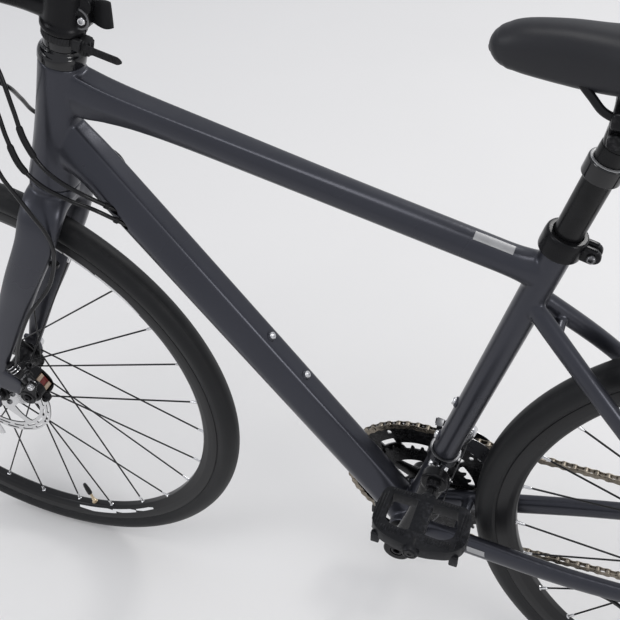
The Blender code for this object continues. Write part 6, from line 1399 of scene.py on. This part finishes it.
for k in range(5):
    p = BB + polar(57, CRANK_ANGLE + 216 + 72 * k)
    ring_bolts.append(socket_bolt(p + pt(0, 43.2, 0), (0, -1, 0), 4.6, 1.9, 2.4, 1.2, 30, 0.3))
    ring_bolts.append(socket_bolt(p + pt(0, 49.4, 0), (0, 1, 0), 5.0, 2.2, 2.5, 1.4, 30, 0.4))
piece("crank_arm_right", [(right_skin, ANODISED), (socket_bolt((0, 55.0, BB_Z), (0, 1, 0), 10.2, 3.6, 5.2, 3.0, 48, 0.8), ANODISED), (axle_r, DARK_STEEL_AND_HIGHLIGHT), (spindle, DARK_STEEL_AND_HIGHLIGHT), (inner_ring, ANODISED), (join(*ring_bolts), DARK_STEEL_AND_HIGHLIGHT)],
      "crankset", ["crank_right"], "anodised", angle=42, **own)


# ------------------------------------------------------------------ the chain's path
def belt(wheels, step=1.0):
    """The closed path over the wheels (x, z, radius, sense, y) as points about 'step' apart, starting where it joins
    the first wheel.
    """
    lines = []
    for a, b in zip(wheels, wheels[1:] + wheels[:1]):
        dx, dz = b[0] - a[0], b[1] - a[1]
        n = math.atan2(dz, dx) + math.acos((a[3] * a[2] - b[3] * b[2]) / math.hypot(dx, dz))
        nx, nz = math.cos(n), math.sin(n)
        lines.append(((a[0] + a[3] * a[2] * nx, a[1] + a[3] * a[2] * nz), (b[0] + b[3] * b[2] * nx, b[1] + b[3] * b[2] * nz)))
    points = []
    for i, w in enumerate(wheels):
        start, end = lines[i - 1][1], lines[i][0]
        t0 = math.atan2(start[1] - w[1], start[0] - w[0])
        t1 = math.atan2(end[1] - w[1], end[0] - w[0])
        turn = -w[3]
        sweep = (t1 - t0) * turn % (2 * math.pi)
        n = max(2, int(sweep * w[2] / step))
        for k in range(n):
            t = t0 + turn * sweep * k / n
            points.append((w[0] + w[2] * math.cos(t), w[4], w[1] + w[2] * math.sin(t)))
        nxt = wheels[(i + 1) % len(wheels)]
        a = pt(lines[i][0][0], w[4], lines[i][0][1])
        b = pt(lines[i][1][0], nxt[4], lines[i][1][1])
        n = max(2, int(np.linalg.norm(b - a) / step))
        points += [tuple(a + (b - a) * k / n) for k in range(n)]
    return np.array(points)


chain_path = belt([(0.0, BB_Z, pitch_r(RING_TEETH), 1, RING_Y), (REAR_X, WHEEL_R, pitch_r(17), 1, COG_Y), (*GUIDE, PULLEY_R, -1, COG_Y), (*TENSION, PULLEY_R, 1, COG_Y)])


def chain_shapes():
    p = np.vstack([chain_path, chain_path[:1]])
    run = np.concatenate([[0.0], np.cumsum(np.linalg.norm(np.diff(p, axis=0), axis=1))])
    count = int(round(run[-1] / PITCH / 2)) * 2
    at = np.arange(count) * run[-1] / count
    pins = np.column_stack([np.interp(at, run, p[:, i]) for i in range(3)])

    def plate_loop(r, waist):
        h = PITCH / 2
        loop = []
        for s in (1, -1):
            for k in range(9):
                t = math.radians(-100 + 200 * k / 8)
                loop.append((s * h + s * r * math.cos(t), s * r * math.sin(t)))
            loop.append((0.0, s * waist))
        return loop

    def extruded(loop, y0, y1):
        m = len(loop)
        v = [(x, y0, z) for x, z in loop] + [(x, y1, z) for x, z in loop]
        faces = [tuple(range(m)), tuple(range(m, 2 * m))[::-1]] + [(k, m + k, m + (k + 1) % m, (k + 1) % m) for k in range(m)]
        return np.array(v, float), faces

    outer = join(extruded(plate_loop(4.1, 2.9), 2.75, 3.55), extruded(plate_loop(4.1, 2.9), -3.55, -2.75))
    inner = join(extruded(plate_loop(4.1, 3.1), 1.75, 2.6), extruded(plate_loop(4.1, 3.1), -2.6, -1.75))
    pin = lathe([(0, -3.95), (1.5, -3.95), (1.75, -3.7), (1.75, 3.7), (1.5, 3.95), (0, 3.95)], (0, 0, 0), (0, 1, 0), 12)
    roller = lathe([(1.8, -1.7), (3.8, -1.7), (3.8, 1.7), (1.8, 1.7)], (0, 0, 0), (0, 1, 0), 18, closed=True)
    plates, rolls = [], []
    for i in range(count):
        a, b = pins[i], pins[(i + 1) % count]
        d = unit(b - a)
        across = unit(pt(0, 1, 0) - d * d[1])
        m = np.column_stack([d, across, np.cross(d, across)])
        kind = outer if i % 2 else inner
        plates.append((kind[0] @ m.T + (a + b) / 2, kind[1]))
        plates.append((pin[0] @ m.T + a, pin[1]))
        rolls.append((roller[0] @ m.T + a, roller[1]))
    return join(*plates), join(*rolls), pins


chain_plates, chain_rollers, chain_pins = chain_shapes()
piece("chain_links", [(chain_plates, CHAIN), (chain_rollers, CHAIN)], "frame", ["chain"], "chain_steel", angle=40)
on_ring = min((q for q in chain_pins if abs(np.hypot(q[0], q[2] - BB_Z) - pitch_r(50)) < 0.2), key=lambda q: q[0])
ring_phase = math.atan2(on_ring[2] - BB_Z, on_ring[0])
windows = [arc_window(low, high, 111.0 + 72 * k, first, last, 12, 3.0) for k in range(5) for low, high, first, last in ((58.5, 70.5, -26, 4), (71.0, 79.0, 9, 25))]
small = [circle(3.0, 20, *(90.4 * math.cos(math.radians(119.8 + 72 * k)), 90.4 * math.sin(math.radians(119.8 + 72 * k)))) for k in range(5)]
outer_ring, outer_walls = by_wall(prism(tooth_loop(RING_TEETH, pitch_r(50) - 3.9, pitch_r(50) + 2.9, ring_phase), 2.0, BB + pt(0, RING_Y, 0), holes=[circle(53, 72), *windows, *small]))
piece("chainring_big", [(outer_ring, ANODISED), (outer_walls, DARK_STEEL_AND_HIGHLIGHT)], "crankset", ["chainring_outer"], "black_steel", **own)

cups = join(*[lathe(rounded([(9.2, s * 34.4), (19.4, s * 34.4), (19.4, s * 36.0), (13.0, s * 36.0), (12.0, s * 35.4), (9.2, s * 35.4)], 0.4, 2), BB, (0, 1, 0), 72, closed=True) for s in (-1, 1)], lathe([(9.0, -34.3), (16.3, -34.3), (16.3, 34.3), (9.0, 34.3)], BB, (0, 1, 0), 48, closed=True))
piece("bottom_bracket_cups", [(cups, ANODISED)], "frame", ["bottom_bracket"], "anodised", **own)


# ------------------------------------------------------------------ pedals
def pedal_shapes(side, degrees):
    c = BB + polar(CRANK, degrees)
    n = pt(0, 1, 0)
    turn = math.radians(PEDAL_TILT)
    xa, za = pt(math.cos(turn), 0, math.sin(turn)), pt(-math.sin(turn), 0, math.cos(turn))

    def at(x, y, z):
        return c + xa * x + n * (side * y) + za * z

    def loop(points, ease):
        pts = [tuple(p) for p in rounded([pt(*q) for q in points], ease, 5)]
        return pts if side > 0 else [(x, -y) for x, y in pts]

    outline = loop([(-42, 99), (42, 99), (49, 106), (52, 128), (50, 147), (38, 157), (14, 163), (-12, 163), (-35, 157), (-47, 147), (-49, 128), (-46, 106)], [6, 6, 5, 8, 8, 10, 8, 8, 10, 8, 8, 5])
    win_a = loop([(-35, 106.5), (-7.8, 106.5), (-7.8, 145), (-24, 146), (-34, 140), (-37, 124)], [3, 3, 3, 4, 6, 6])
    win_b = loop([(7.8, 106.5), (35, 106.5), (39, 124), (37, 140), (26, 146), (7.8, 145)], [3, 3, 6, 6, 4, 3])
    body = prism(outline, 14.6, c, za, (0, 1, 0), [win_a, win_b], edge=1.3, seg=3)
    ribs = []
    for zs in (-1, 1):
        for x, y0, y1 in ((-46.5, 106, 146), (-43.5, 104, 150), (-40.5, 101, 152), (41.5, 101, 152), (44.5, 103, 150), (47.5, 106, 146)):
            ribs.append(rbox((1.3, y1 - y0 - 6, 1.6), at(x, (y0 + y1) / 2 + 2, zs * 7.4), za, n, 0.5, 2))
        for x in np.arange(-36.0, 36.1, 3.0):
            if abs(x) > 9.5:
                ribs.append(rbox((1.2, 4.6, 1.3), at(x, 102.2, zs * 7.25), za, n, 0.45, 2))
                ribs.append(rbox((1.2, 7.6, 1.3), at(x, 150.6, zs * 7.25), za, n, 0.45, 2))
    barrel = lathe([(5.6, 93.2), (7.6, 93.2), (8.2, 94), (8.2, 99), (7.1, 101), (7.1, 150), (8.4, 158), (8.8, 161), (8.8, 165), (8.0, 167.2), (6.6, 168), (6.0, 167.2), (0, 167.0), (0, 156), (5.6, 156)], c, n * side, 56, closed=True)
    tabs = [rbox((9, 5.4, 15), at(x, 152.5, -10.2), za, n, 1.2) for x in (-40.5, 42.5)]
    tabs += [rbox((9, 5.4, 15), at(x, 103.5, -10.2), za, n, 1.2) for x in (-40.5, 42.5)]
    cap = lathe([(0, 166.9), (5.8, 166.9), (5.8, 167.6), (2.4, 168.0), (2.2, 167.2), (0, 167.2)], c, n * side, 6)
    return body, join(*ribs), barrel, join(*tabs), cap


for side, tag, ang in ((-1, "left", CRANK_ANGLE), (1, "right", CRANK_ANGLE + 180)):
    body, ribs, barrel, tabs, cap = pedal_shapes(side, ang)
    piece("pedal_body_" + tag, [(body, PEDAL), (ribs, PEDAL), (barrel, PEDAL), (tabs, PEDAL), (cap, RESIN)], "pedal_" + tag, ["pedal_" + tag], "plastic", about=BB + polar(CRANK, ang), angle=38)

# ------------------------------------------------------------------ cassette
cog_shapes = []
for k, n in enumerate(COGS):
    y = COG_FIRST_Y - COG_STEP * k
    holes = [circle(17.0, 48)]
    if n >= 17:
        rr = pitch_r(n) - 3.9
        holes += [arc_window(19.5, rr - 4.5, 60 * j + 5 * k, -18, 18, 6, 1.4) for j in range(6)]
    cog_shapes.append(prism(tooth_loop(n, pitch_r(n) - 3.9, pitch_r(n) + 2.4, 0.11 * k), 1.8, R_C + pt(0, y, 0), holes=holes))
    if k < len(COGS) - 1:
        cog_shapes.append(lathe([(16.6, -1.5), (19.0, -1.5), (19.0, 1.5), (16.6, 1.5)], R_C + pt(0, y - COG_STEP / 2, 0), (0, 1, 0), 40, closed=True))
lockring = prism([(r * math.cos(2 * math.pi * k / 48), r * math.sin(2 * math.pi * k / 48)) for k in range(48) for r in (16.8 if k % 2 else 16.2,)], 2.0, R_C + pt(0, COG_FIRST_Y + 1.3, 0), holes=[[(r * math.cos(2 * math.pi * k / 24), r * math.sin(2 * math.pi * k / 24)) for k in range(24) for r in (11.4 if k % 2 else 12.6,)]])
freehub = lathe([(7.0, 28.0), (16.6, 28.0), (16.6, COG_FIRST_Y), (14.0, COG_FIRST_Y + 1.0), (7.0, COG_FIRST_Y + 2.0)], R_C, (0, 1, 0), 48, closed=True)
piece("cassette_cogs", [(join(*cog_shapes), DARK_STEEL_AND_HIGHLIGHT), (lockring, STEEL_AND_HIGHLIGHT), (freehub, ANODISED)], "cassette", ["cassette"], "bright_steel", about=R_C, axis=(0, 1, 0), side=(0, 0, 1))

# ------------------------------------------------------------------ front derailleur
FD_1 = pt(46, 30, 428)
FD_2 = FD_1 + pt(0, 12, -19)


def clevis_parts(at, axis, inner, thick, radius, base, size):
    a = unit(axis)
    at, base = np.asarray(at, float), np.asarray(base, float)
    away = base - at
    away = away - a * away.dot(a)
    reach = np.linalg.norm(away)
    away = unit(away)
    out = []
    for s in (-1, 1):
        mid = at + a * s * (inner + thick / 2)
        out.append(cyl(mid - a * thick / 2, mid + a * thick / 2, radius, 36, 0.5))
        out.append(rbox((reach + size / 2 - 1, radius * 1.7, thick - 0.3), mid + away * (reach + size / 2 - 1) / 2, a, np.cross(a, away), 0.8))
    out.append(rbox((size, radius * 1.9, inner * 2 + thick * 2 - 0.3), at + away * reach, a, np.cross(a, away), 1.2))
    pin = cyl(at - a * (inner + thick + 0.4), at + a * (inner + thick + 0.4), 2.2, 24, 0.3)
    return out, pin


def link_shape(a, b, axis, half, radius):
    n = unit(axis)
    a, b = np.asarray(a, float), np.asarray(b, float)
    body = rbox((np.linalg.norm(b - a), radius * 1.5, half * 2 - 0.4), (a + b) / 2, n, np.cross(n, b - a), 1.0)
    ends = [cyl(p - n * half, p + n * half, radius, 36, 0.6) for p in (a, b)]
    return boolean(body, [cyl(p - n * (half + 3), p + n * (half + 3), 2.45, 20, 0) for p in (a, b)], ends)


band = lathe(rounded([(SEAT_TUBE_R + 0.3, 124), (18.0, 124), (18.3, 124.8), (18.3, 138.2), (18.0, 139), (SEAT_TUBE_R + 0.3, 139)], 0.4, 2), BB, SEAT_AXIS, 96, closed=True)
lug_l = rbox((7, 6.4, 14), se(-5, -20.5, 131.5), SEAT_AXIS, edge=1.4)
lug_r = rbox((7, 6.4, 14), se(3.4, -20.5, 131.5), SEAT_AXIS, edge=1.4)
band_bolt = join(cyl(se(-10, -21.5, 131.5), se(8.5, -21.5, 131.5), 2.4, 24, 0.3), socket_bolt(se(-8.4, -21.5, 131.5), -SEAT_BACK, 3.9, 3.6, 2.0, 1.8, 32, 0.5), cyl(se(6.6, -21.5, 131.5), se(10.4, -21.5, 131.5), 3.8, 6, 0.4))
ears_f, pin_f = clevis_parts(FD_1, (1, 0, 0), 6.2, 3.0, 5.0, (46, 19.5, 424), 8)
fd_block = rbox((20, 14, 30), (44, 17, 413), edge=3.0)
# A grey metal ring round the band's top edge: a painted highlight along that edge.
band_highlight_rim = lathe(rounded([(SEAT_TUBE_R + 0.3, 138.4), (18.7, 138.4), (18.7, 139.6), (SEAT_TUBE_R + 0.3, 139.6)], 0.3, 2), BB, SEAT_AXIS, 96, closed=True)
anchor = cyl((61, 26, 418), (61, 37, 413.9), 6.0, 36, 0.8)
anchor_bolt = socket_bolt((61, 26.2, 418), (0, -0.936, 0.351), 3.8, 3.0, 2.1, 1.8, 32, 0.5)
anchor_arm = loft([((53, 15, 412), 4.4, 3.6, (0, 0, 1), 2.6), ((58.5, 20, 413), 4.2, 3.4, (0, 0, 1), 2.6), ((61.5, 28, 415), 4.0, 3.2, (0, 0, 1), 2.6)], 28, 5, 0.8)
piece("fd_band", [(band, BAND), (join(lug_l, lug_r), BAND), (band_highlight_rim, DARK_STEEL_AND_HIGHLIGHT), (band_bolt, STEEL_AND_HIGHLIGHT), (join(*ears_f), DARK_STEEL_AND_HIGHLIGHT), (fd_block, BAND), (pin_f, STEEL_AND_HIGHLIGHT), (anchor, STEEL_AND_HIGHLIGHT), (anchor_arm, DARK_STEEL_AND_HIGHLIGHT), (anchor_bolt, STEEL_AND_HIGHLIGHT)], "frame", ["fd_clamp"], "anodised")
piece("fd_link_arm", [(link_shape(FD_1, FD_2, (1, 0, 0), 5.8, 4.6), STEEL_AND_HIGHLIGHT)], "fd_link", ["fd_link"], "bright_steel")


def fd_plate_shape(y, low, high, first, last):
    loop = [polar(low, first + (last - first) * k / 24) for k in range(25)]
    top = [polar(high, last), polar(high + 5, first * 0.25 + last * 0.75), polar(high + 1.5, first * 0.55 + last * 0.45), polar(high - 1, (first * 2 + last) / 3), polar(high - 4, first)]
    flat = [(p[0], p[2]) for p in loop] + [(p[0], p[2]) for p in spline(top, 6)]
    return prism(flat, 1.2, BB + pt(0, y, 0), edge=0.35, seg=1)


over = rbox((26, 12.4, 1.6), BB + pt(37, 48.85, 115.2), (0.3, 0, 1), edge=0.6)
ears_c, pin_c = clevis_parts(FD_2, (1, 0, 0), 6.2, 3.0, 4.6, FD_2 + pt(0, 3.0, -13.5), 6)
nose = rbox((9, 12.4, 1.4), BB + polar(121, 81) + pt(0, 48.85, 0), polar(1, 81), edge=0.5)
# The plates' cut edges in bright steel are a painted highlight along the cage's edges; the plate faces stay dark.
plate_a, highlight_walls_a = by_wall(fd_plate_shape(42.9, 104, 124.5, 82, 42))
plate_b, highlight_walls_b = by_wall(fd_plate_shape(54.8, 109.5, 124, 84, 44))
piece("fd_cage_plates", [(join(plate_a, plate_b), BAND), (join(highlight_walls_a, highlight_walls_b), STEEL_AND_HIGHLIGHT), (join(over, nose), DARK_STEEL_AND_HIGHLIGHT), (join(*ears_c), DARK_STEEL_AND_HIGHLIGHT), (pin_c, STEEL_AND_HIGHLIGHT)], "fd_cage", ["fd_cage"], "bright_steel")

# ------------------------------------------------------------------ rear derailleur
SLANT = pt(0, -0.6, 0.8)
RD_1 = pt(419, 88, 302)
RD_2 = RD_1 + pt(-36, -12, -9)
RD_P = pt(410, 0, 276)
ears_k, pin_k = clevis_parts(RD_1, SLANT, 5.3, 3.0, 6.0, RD_1 + pt(13, 0, 9.0), 9)
knuckle = cyl((435, 74.6, 313), (435, 94.6, 313), 9.0, 56, 1.2)
hanger_bolt = socket_bolt((435, 93.8, 313), (0, 1, 0), 6.0, 2.6, 3.0, 2.0, 36, 0.6)
piece("rd_top_knuckle", [(knuckle, ANODISED), (join(*ears_k), ANODISED), (pin_k, STEEL_AND_HIGHLIGHT), (hanger_bolt, STEEL_AND_HIGHLIGHT)], "frame", ["rd_knuckle"], "anodised")
piece("rd_link_arm", [(link_shape(RD_1, RD_2, SLANT, 5.0, 5.6), ANODISED)], "rd_link", ["rd_link"], "anodised")
ears_p, pin_p = clevis_parts(RD_2, SLANT, 5.3, 3.0, 6.0, RD_2 + pt(8, -8, -10), 8)
p_shell = cyl(RD_P + pt(0, 49.6, 0), RD_P + pt(0, 70, 0), 12.0, 64, 1.6)
p_neck = cyl(RD_2 + pt(8, -8, -10), RD_P + pt(-2, 62, 0), 6.0, 36, 1.0)
p_skin = boolean(p_shell, [cyl(RD_P + pt(0, 45, 0), RD_P + pt(0, 60, 0), 6.4, 40, 0)], [p_neck])
piece("rd_lower_knuckle", [(p_skin, ANODISED), (join(*ears_p), ANODISED), (pin_p, STEEL_AND_HIGHLIGHT), (socket_bolt(RD_P + pt(0, 69.6, 0), (0, 1, 0), 5.4, 1.6, 2.6, 1.2, 36, 0.4), STEEL_AND_HIGHLIGHT)], "rd_body", ["rd_body"], "anodised")


def cage_loop(a, b, ra, rb, holes=True):
    a, b = pt(a[0], 0, a[1]), pt(b[0], 0, b[1])
    base = math.atan2(b[2] - a[2], b[0] - a[0])
    loop = [(a[0] + ra * math.cos(base + math.pi / 2 + math.pi * k / 14), a[2] + ra * math.sin(base + math.pi / 2 + math.pi * k / 14)) for k in range(15)]
    loop += [(b[0] + rb * math.cos(base - math.pi / 2 + math.pi * k / 14), b[2] + rb * math.sin(base - math.pi / 2 + math.pi * k / 14)) for k in range(15)]
    return loop


g2, t2 = (GUIDE[0], GUIDE[1] - BB_Z), (TENSION[0], TENSION[1] - BB_Z)
mid = ((g2[0] + t2[0]) / 2, (g2[1] + t2[1]) / 2)
dx, dz = unit((t2[0] - g2[0], t2[1] - g2[1], 0))[:2]
hole_loop = [(p[0], p[1]) for p in cage_loop((mid[0] - dx * 10, mid[1] - dz * 10), (mid[0] + dx * 10, mid[1] + dz * 10), 4.2, 4.2)]
plate_out = prism(cage_loop(g2, t2, 10, 9.4), 1.6, BB + pt(0, COG_Y + 6.6, 0), holes=[hole_loop], edge=0.4, seg=2)
plate_in = prism(cage_loop(g2, t2, 8, 8), 1.6, BB + pt(0, COG_Y - 6.0, 0), holes=[hole_loop], edge=0.4, seg=2)
axles = [join(cyl((x, COG_Y - 8.6, z), (x, COG_Y + 8.0, z), 2.6, 28, 0.3), socket_bolt((x, COG_Y + 7.2, z), (0, 1, 0), 4.4, 1.8, 2.0, 1.2, 30, 0.4)) for x, z in (GUIDE, TENSION)]
boss = cyl(RD_P + pt(0, COG_Y + 6, 0), RD_P + pt(0, 59.4, 0), 6.0, 40, 0.4)
piece("rd_cage_plates", [(plate_out, DARK_STEEL_AND_HIGHLIGHT), (plate_in, DARK_STEEL_AND_HIGHLIGHT), (join(*axles), STEEL_AND_HIGHLIGHT), (boss, DARK_STEEL_AND_HIGHLIGHT)], "rd_cage", ["rd_cage"], "anodised")
for name, (x, z) in (("rd_pulley_upper", GUIDE), ("rd_pulley_lower", TENSION)):
    c = pt(x, COG_Y, z)
    wheel_loop = tooth_loop(11, pitch_r(11) - 3.9, pitch_r(11) + 2.4)
    body = prism(wheel_loop, 2.0, c, holes=[circle(2.9, 20), *[circle(2.0, 12, 11.5 * math.cos(2 * math.pi * k / 5), 11.5 * math.sin(2 * math.pi * k / 5)) for k in range(5)]], edge=0.3, seg=1)
    hub_p = lathe(rounded([(2.9, -3.6), (6.0, -3.6), (7.2, -1.0), (7.2, 1.0), (6.0, 3.6), (2.9, 3.6)], 0.4, 2), c, (0, 1, 0), 40, closed=True)
    piece(name + "_wheel", [(body, RESIN), (hub_p, STEEL_AND_HIGHLIGHT)], name, [name], "plastic", about=c, axis=(0, 1, 0), side=(0, 0, 1))

# ------------------------------------------------------------------ cables
HOUSING_R = 2.35
SLEEVES = {"rear_brake": (792.0, 757.0), "rear_shift": (772.0, 742.0)}


def bracket_end(side):
    c, ahead, up = control_frame(side)
    n = along(side)
    return c + ahead * 27 - n * 34.5, -n, c + ahead * 22 - n * 29.5 - up * 19


def ferrule(path, at_start, length=9.0, r=3.1):
    p = np.asarray(path if at_start else path[::-1])
    return cyl(p[0], p[0] + unit(p[2] - p[0]) * length, r, 24, 0.5)


start, way, pod_start = bracket_end(-1)
front_brake = smooth_path([start, start + way * 22, *[unsteered(p) for p in (
    (-451, -66, 898), (-442, -62, 862), (-430, -66, 805), (-418, -70, 747), (-412, -64, 718), (-404, -60, 692), (-401, -52, 665), (-403, -46, 640), (-412, -42, 612), (-428, -44.5, 575),
)], st(5, -57, 215), st(-6, -60, 150), st(-8, -58, 122), F_C + polar(1, 28.0) * 91.6 + polar(1, 118.0) * 40 + pt(0, -55.4, 0)], 190)
piece("front_brake_hose", [(tube(front_brake, HOUSING_R, 16), CABLE), (ferrule(front_brake, True), ANODISED), (ferrule(front_brake, False), ANODISED)],
      "steering", ["front_brake_cable"], "plastic", **STEER)


def through_frame(port, sides, lift, leave):
    a, b = (pt(*p) for p in CABLE_PORTS[port])
    out_a, out_b = (pt(*p) for p in CABLE_PORTS[leave])
    inner = [DT_TOP + DT_DOWN * run + DT_UP * 0 + pt(0.791, 0, 0.612) * lift + pt(0, y, 0) for run, y in zip((110, 200, 300, 400), sides)]
    return [a + (a - b) * 0.3, a + (b - a) * 0.4, b, *inner, out_a, out_a + (out_b - out_a) * 0.6, out_b + pt(1, 0, -2), pt(-22, out_b[1], 255.5), pt(0, out_b[1], 252.8)]


start_r, way_r, pod_r = bracket_end(1)
start_l, way_l, pod_l = bracket_end(-1)
routes = {
    "rear_brake": ([steered(start_r), steered(start_r + way_r * 24), (-468, 48, 904), (-458, 4, 894), (-432, -26, 874), (-408, -39, 850), (-400, -44, 809), (-396, -46, 776), (-385, -44, 745), (-368, -42, 728)],
                   through_frame(0, (-13, -13, -13, -13), 2, 3),
                   [(24, -16, 256), (60, -24, 264), (110, -32, 271), (200, -46, 285.5), (244, -55, 292), (272, -70, 299), (292, -81, 320), (306.5, -77.0, 343.5)]),
    "rear_shift": ([steered(pod_r), steered(pod_r + way_r * 20), (-462, 60, 880), (-462, 10, 866), (-438, -32, 842), (-416, -49, 808), (-411, -53, 780), (-404, -54, 750), (-388, -50, 726), (-364, -43, 708)],
                   through_frame(1, (-8, 0, 8, 12), -9, 5),
                   [(24, 18, 256), (60, 28, 264.5), (110, 38.5, 272.5), (200, 51, 286), (300, 63, 304), (352, 80, 315), (400, 97, 325), (440, 99, 330), (472, 97, 326), (481, 93, 313), (470, 88, 303), (446, 86, 311)]),
    "front_shift": ([steered(pod_l), steered(pod_l + way_l * 18), (-453, -93, 882), (-430, -60, 855), (-415, -30, 827), (-430, 4, 792), (-440, 30, 760), (-424, 46, 738), (-384, 45, 724)],
                    through_frame(2, (12, 8, 3, 0), 8, 4),
                    [(20, 1, 256), (33, 2, 274), (39, 5, 310), (47, 12, 350), (56, 22, 388), (60, 28, 412)]),
}
BARE = {"rear_shift": ((60, 28, 264.5), (300, 63, 304)), "front_shift": ((20, 1, 256), (60, 28, 412))}


def nearest(path, at):
    return int(np.argmin(np.linalg.norm(path - pt(*at), axis=1)))


port_rims = []
for name, (loose, inside, rear) in routes.items():
    whole = smooth_path([*[pt(*p) for p in loose], *inside, *[pt(*p) for p in rear]], 620)
    port = inside[1]
    cut = int(np.argmin(np.linalg.norm(whole - port, axis=1)))
    ahead_part, fixed_part = whole[:cut + 1], whole[cut:]
    groups = [(tube(ahead_part, HOUSING_R, 16), CABLE), (ferrule(ahead_part, True), ANODISED)]
    if name in SLEEVES:
        high, low = (int(np.argmin(np.abs(ahead_part[:, 2] - z))) for z in SLEEVES[name])
        part = ahead_part[high:low + 1]
        groups.append((tube(part, [HOUSING_R + (0.4 if i in (0, len(part) - 1) else 1.15) for i in range(len(part))], 20), RUBBER))
    piece(name + "_housing", groups, None, [name + "_cable"], "plastic", blend=(ahead_part[-1], ahead_part[0]))
    if name in BARE:
        i, j = (nearest(fixed_part, q) for q in BARE[name])
        housed = [fixed_part[:i + 1]] + ([fixed_part[j:]] if j < len(fixed_part) - 4 else [])
        caps = [cyl(fixed_part[i - 3], fixed_part[i], 3.0, 24, 0.4)]
        if len(housed) > 1:
            caps += [cyl(fixed_part[j], fixed_part[j + 3], 3.0, 24, 0.4), ferrule(fixed_part, False, 8.0, 3.0)]
        piece(name + "_run", [(join(*[tube(part, HOUSING_R, 16) for part in housed]), CABLE), (tube(fixed_part[i:j + 1], 0.85, 8), DARK_STEEL_AND_HIGHLIGHT), (join(*caps), ANODISED)], "frame", (), "plastic")
    else:
        piece(name + "_run", [(tube(fixed_part, HOUSING_R, 16), CABLE), (ferrule(fixed_part, False, 8.0, 3.0), ANODISED)], "frame", (), "plastic")
for (a, b) in CABLE_PORTS[:3]:
    a, b = pt(*a), pt(*b)
    port_rims.append(lathe(rounded([(2.5, -4), (3.5, -4), (3.5, 0.0), (3.2, 0.5), (2.5, 0.5)], 0.3, 2), a + (b - a) * 0.34, unit(a - b), 32, closed=True))
piece("port_grommets", [(join(*port_rims), RUBBER)], "frame", (), "soft_rubber")
clip = join(lathe([(2.5, -2.6), (4.0, -2.6), (4.0, 2.6), (2.5, 2.6)], st(25.8, -36, 300), STEER_AXIS, 28, closed=True), rbox((5, 5, 5.2), st(20.5, -37.5, 300), STEER_AXIS, edge=0.8))
piece("fork_cable_clip", [(clip, RESIN)], "steering", (), "plastic", **STEER)
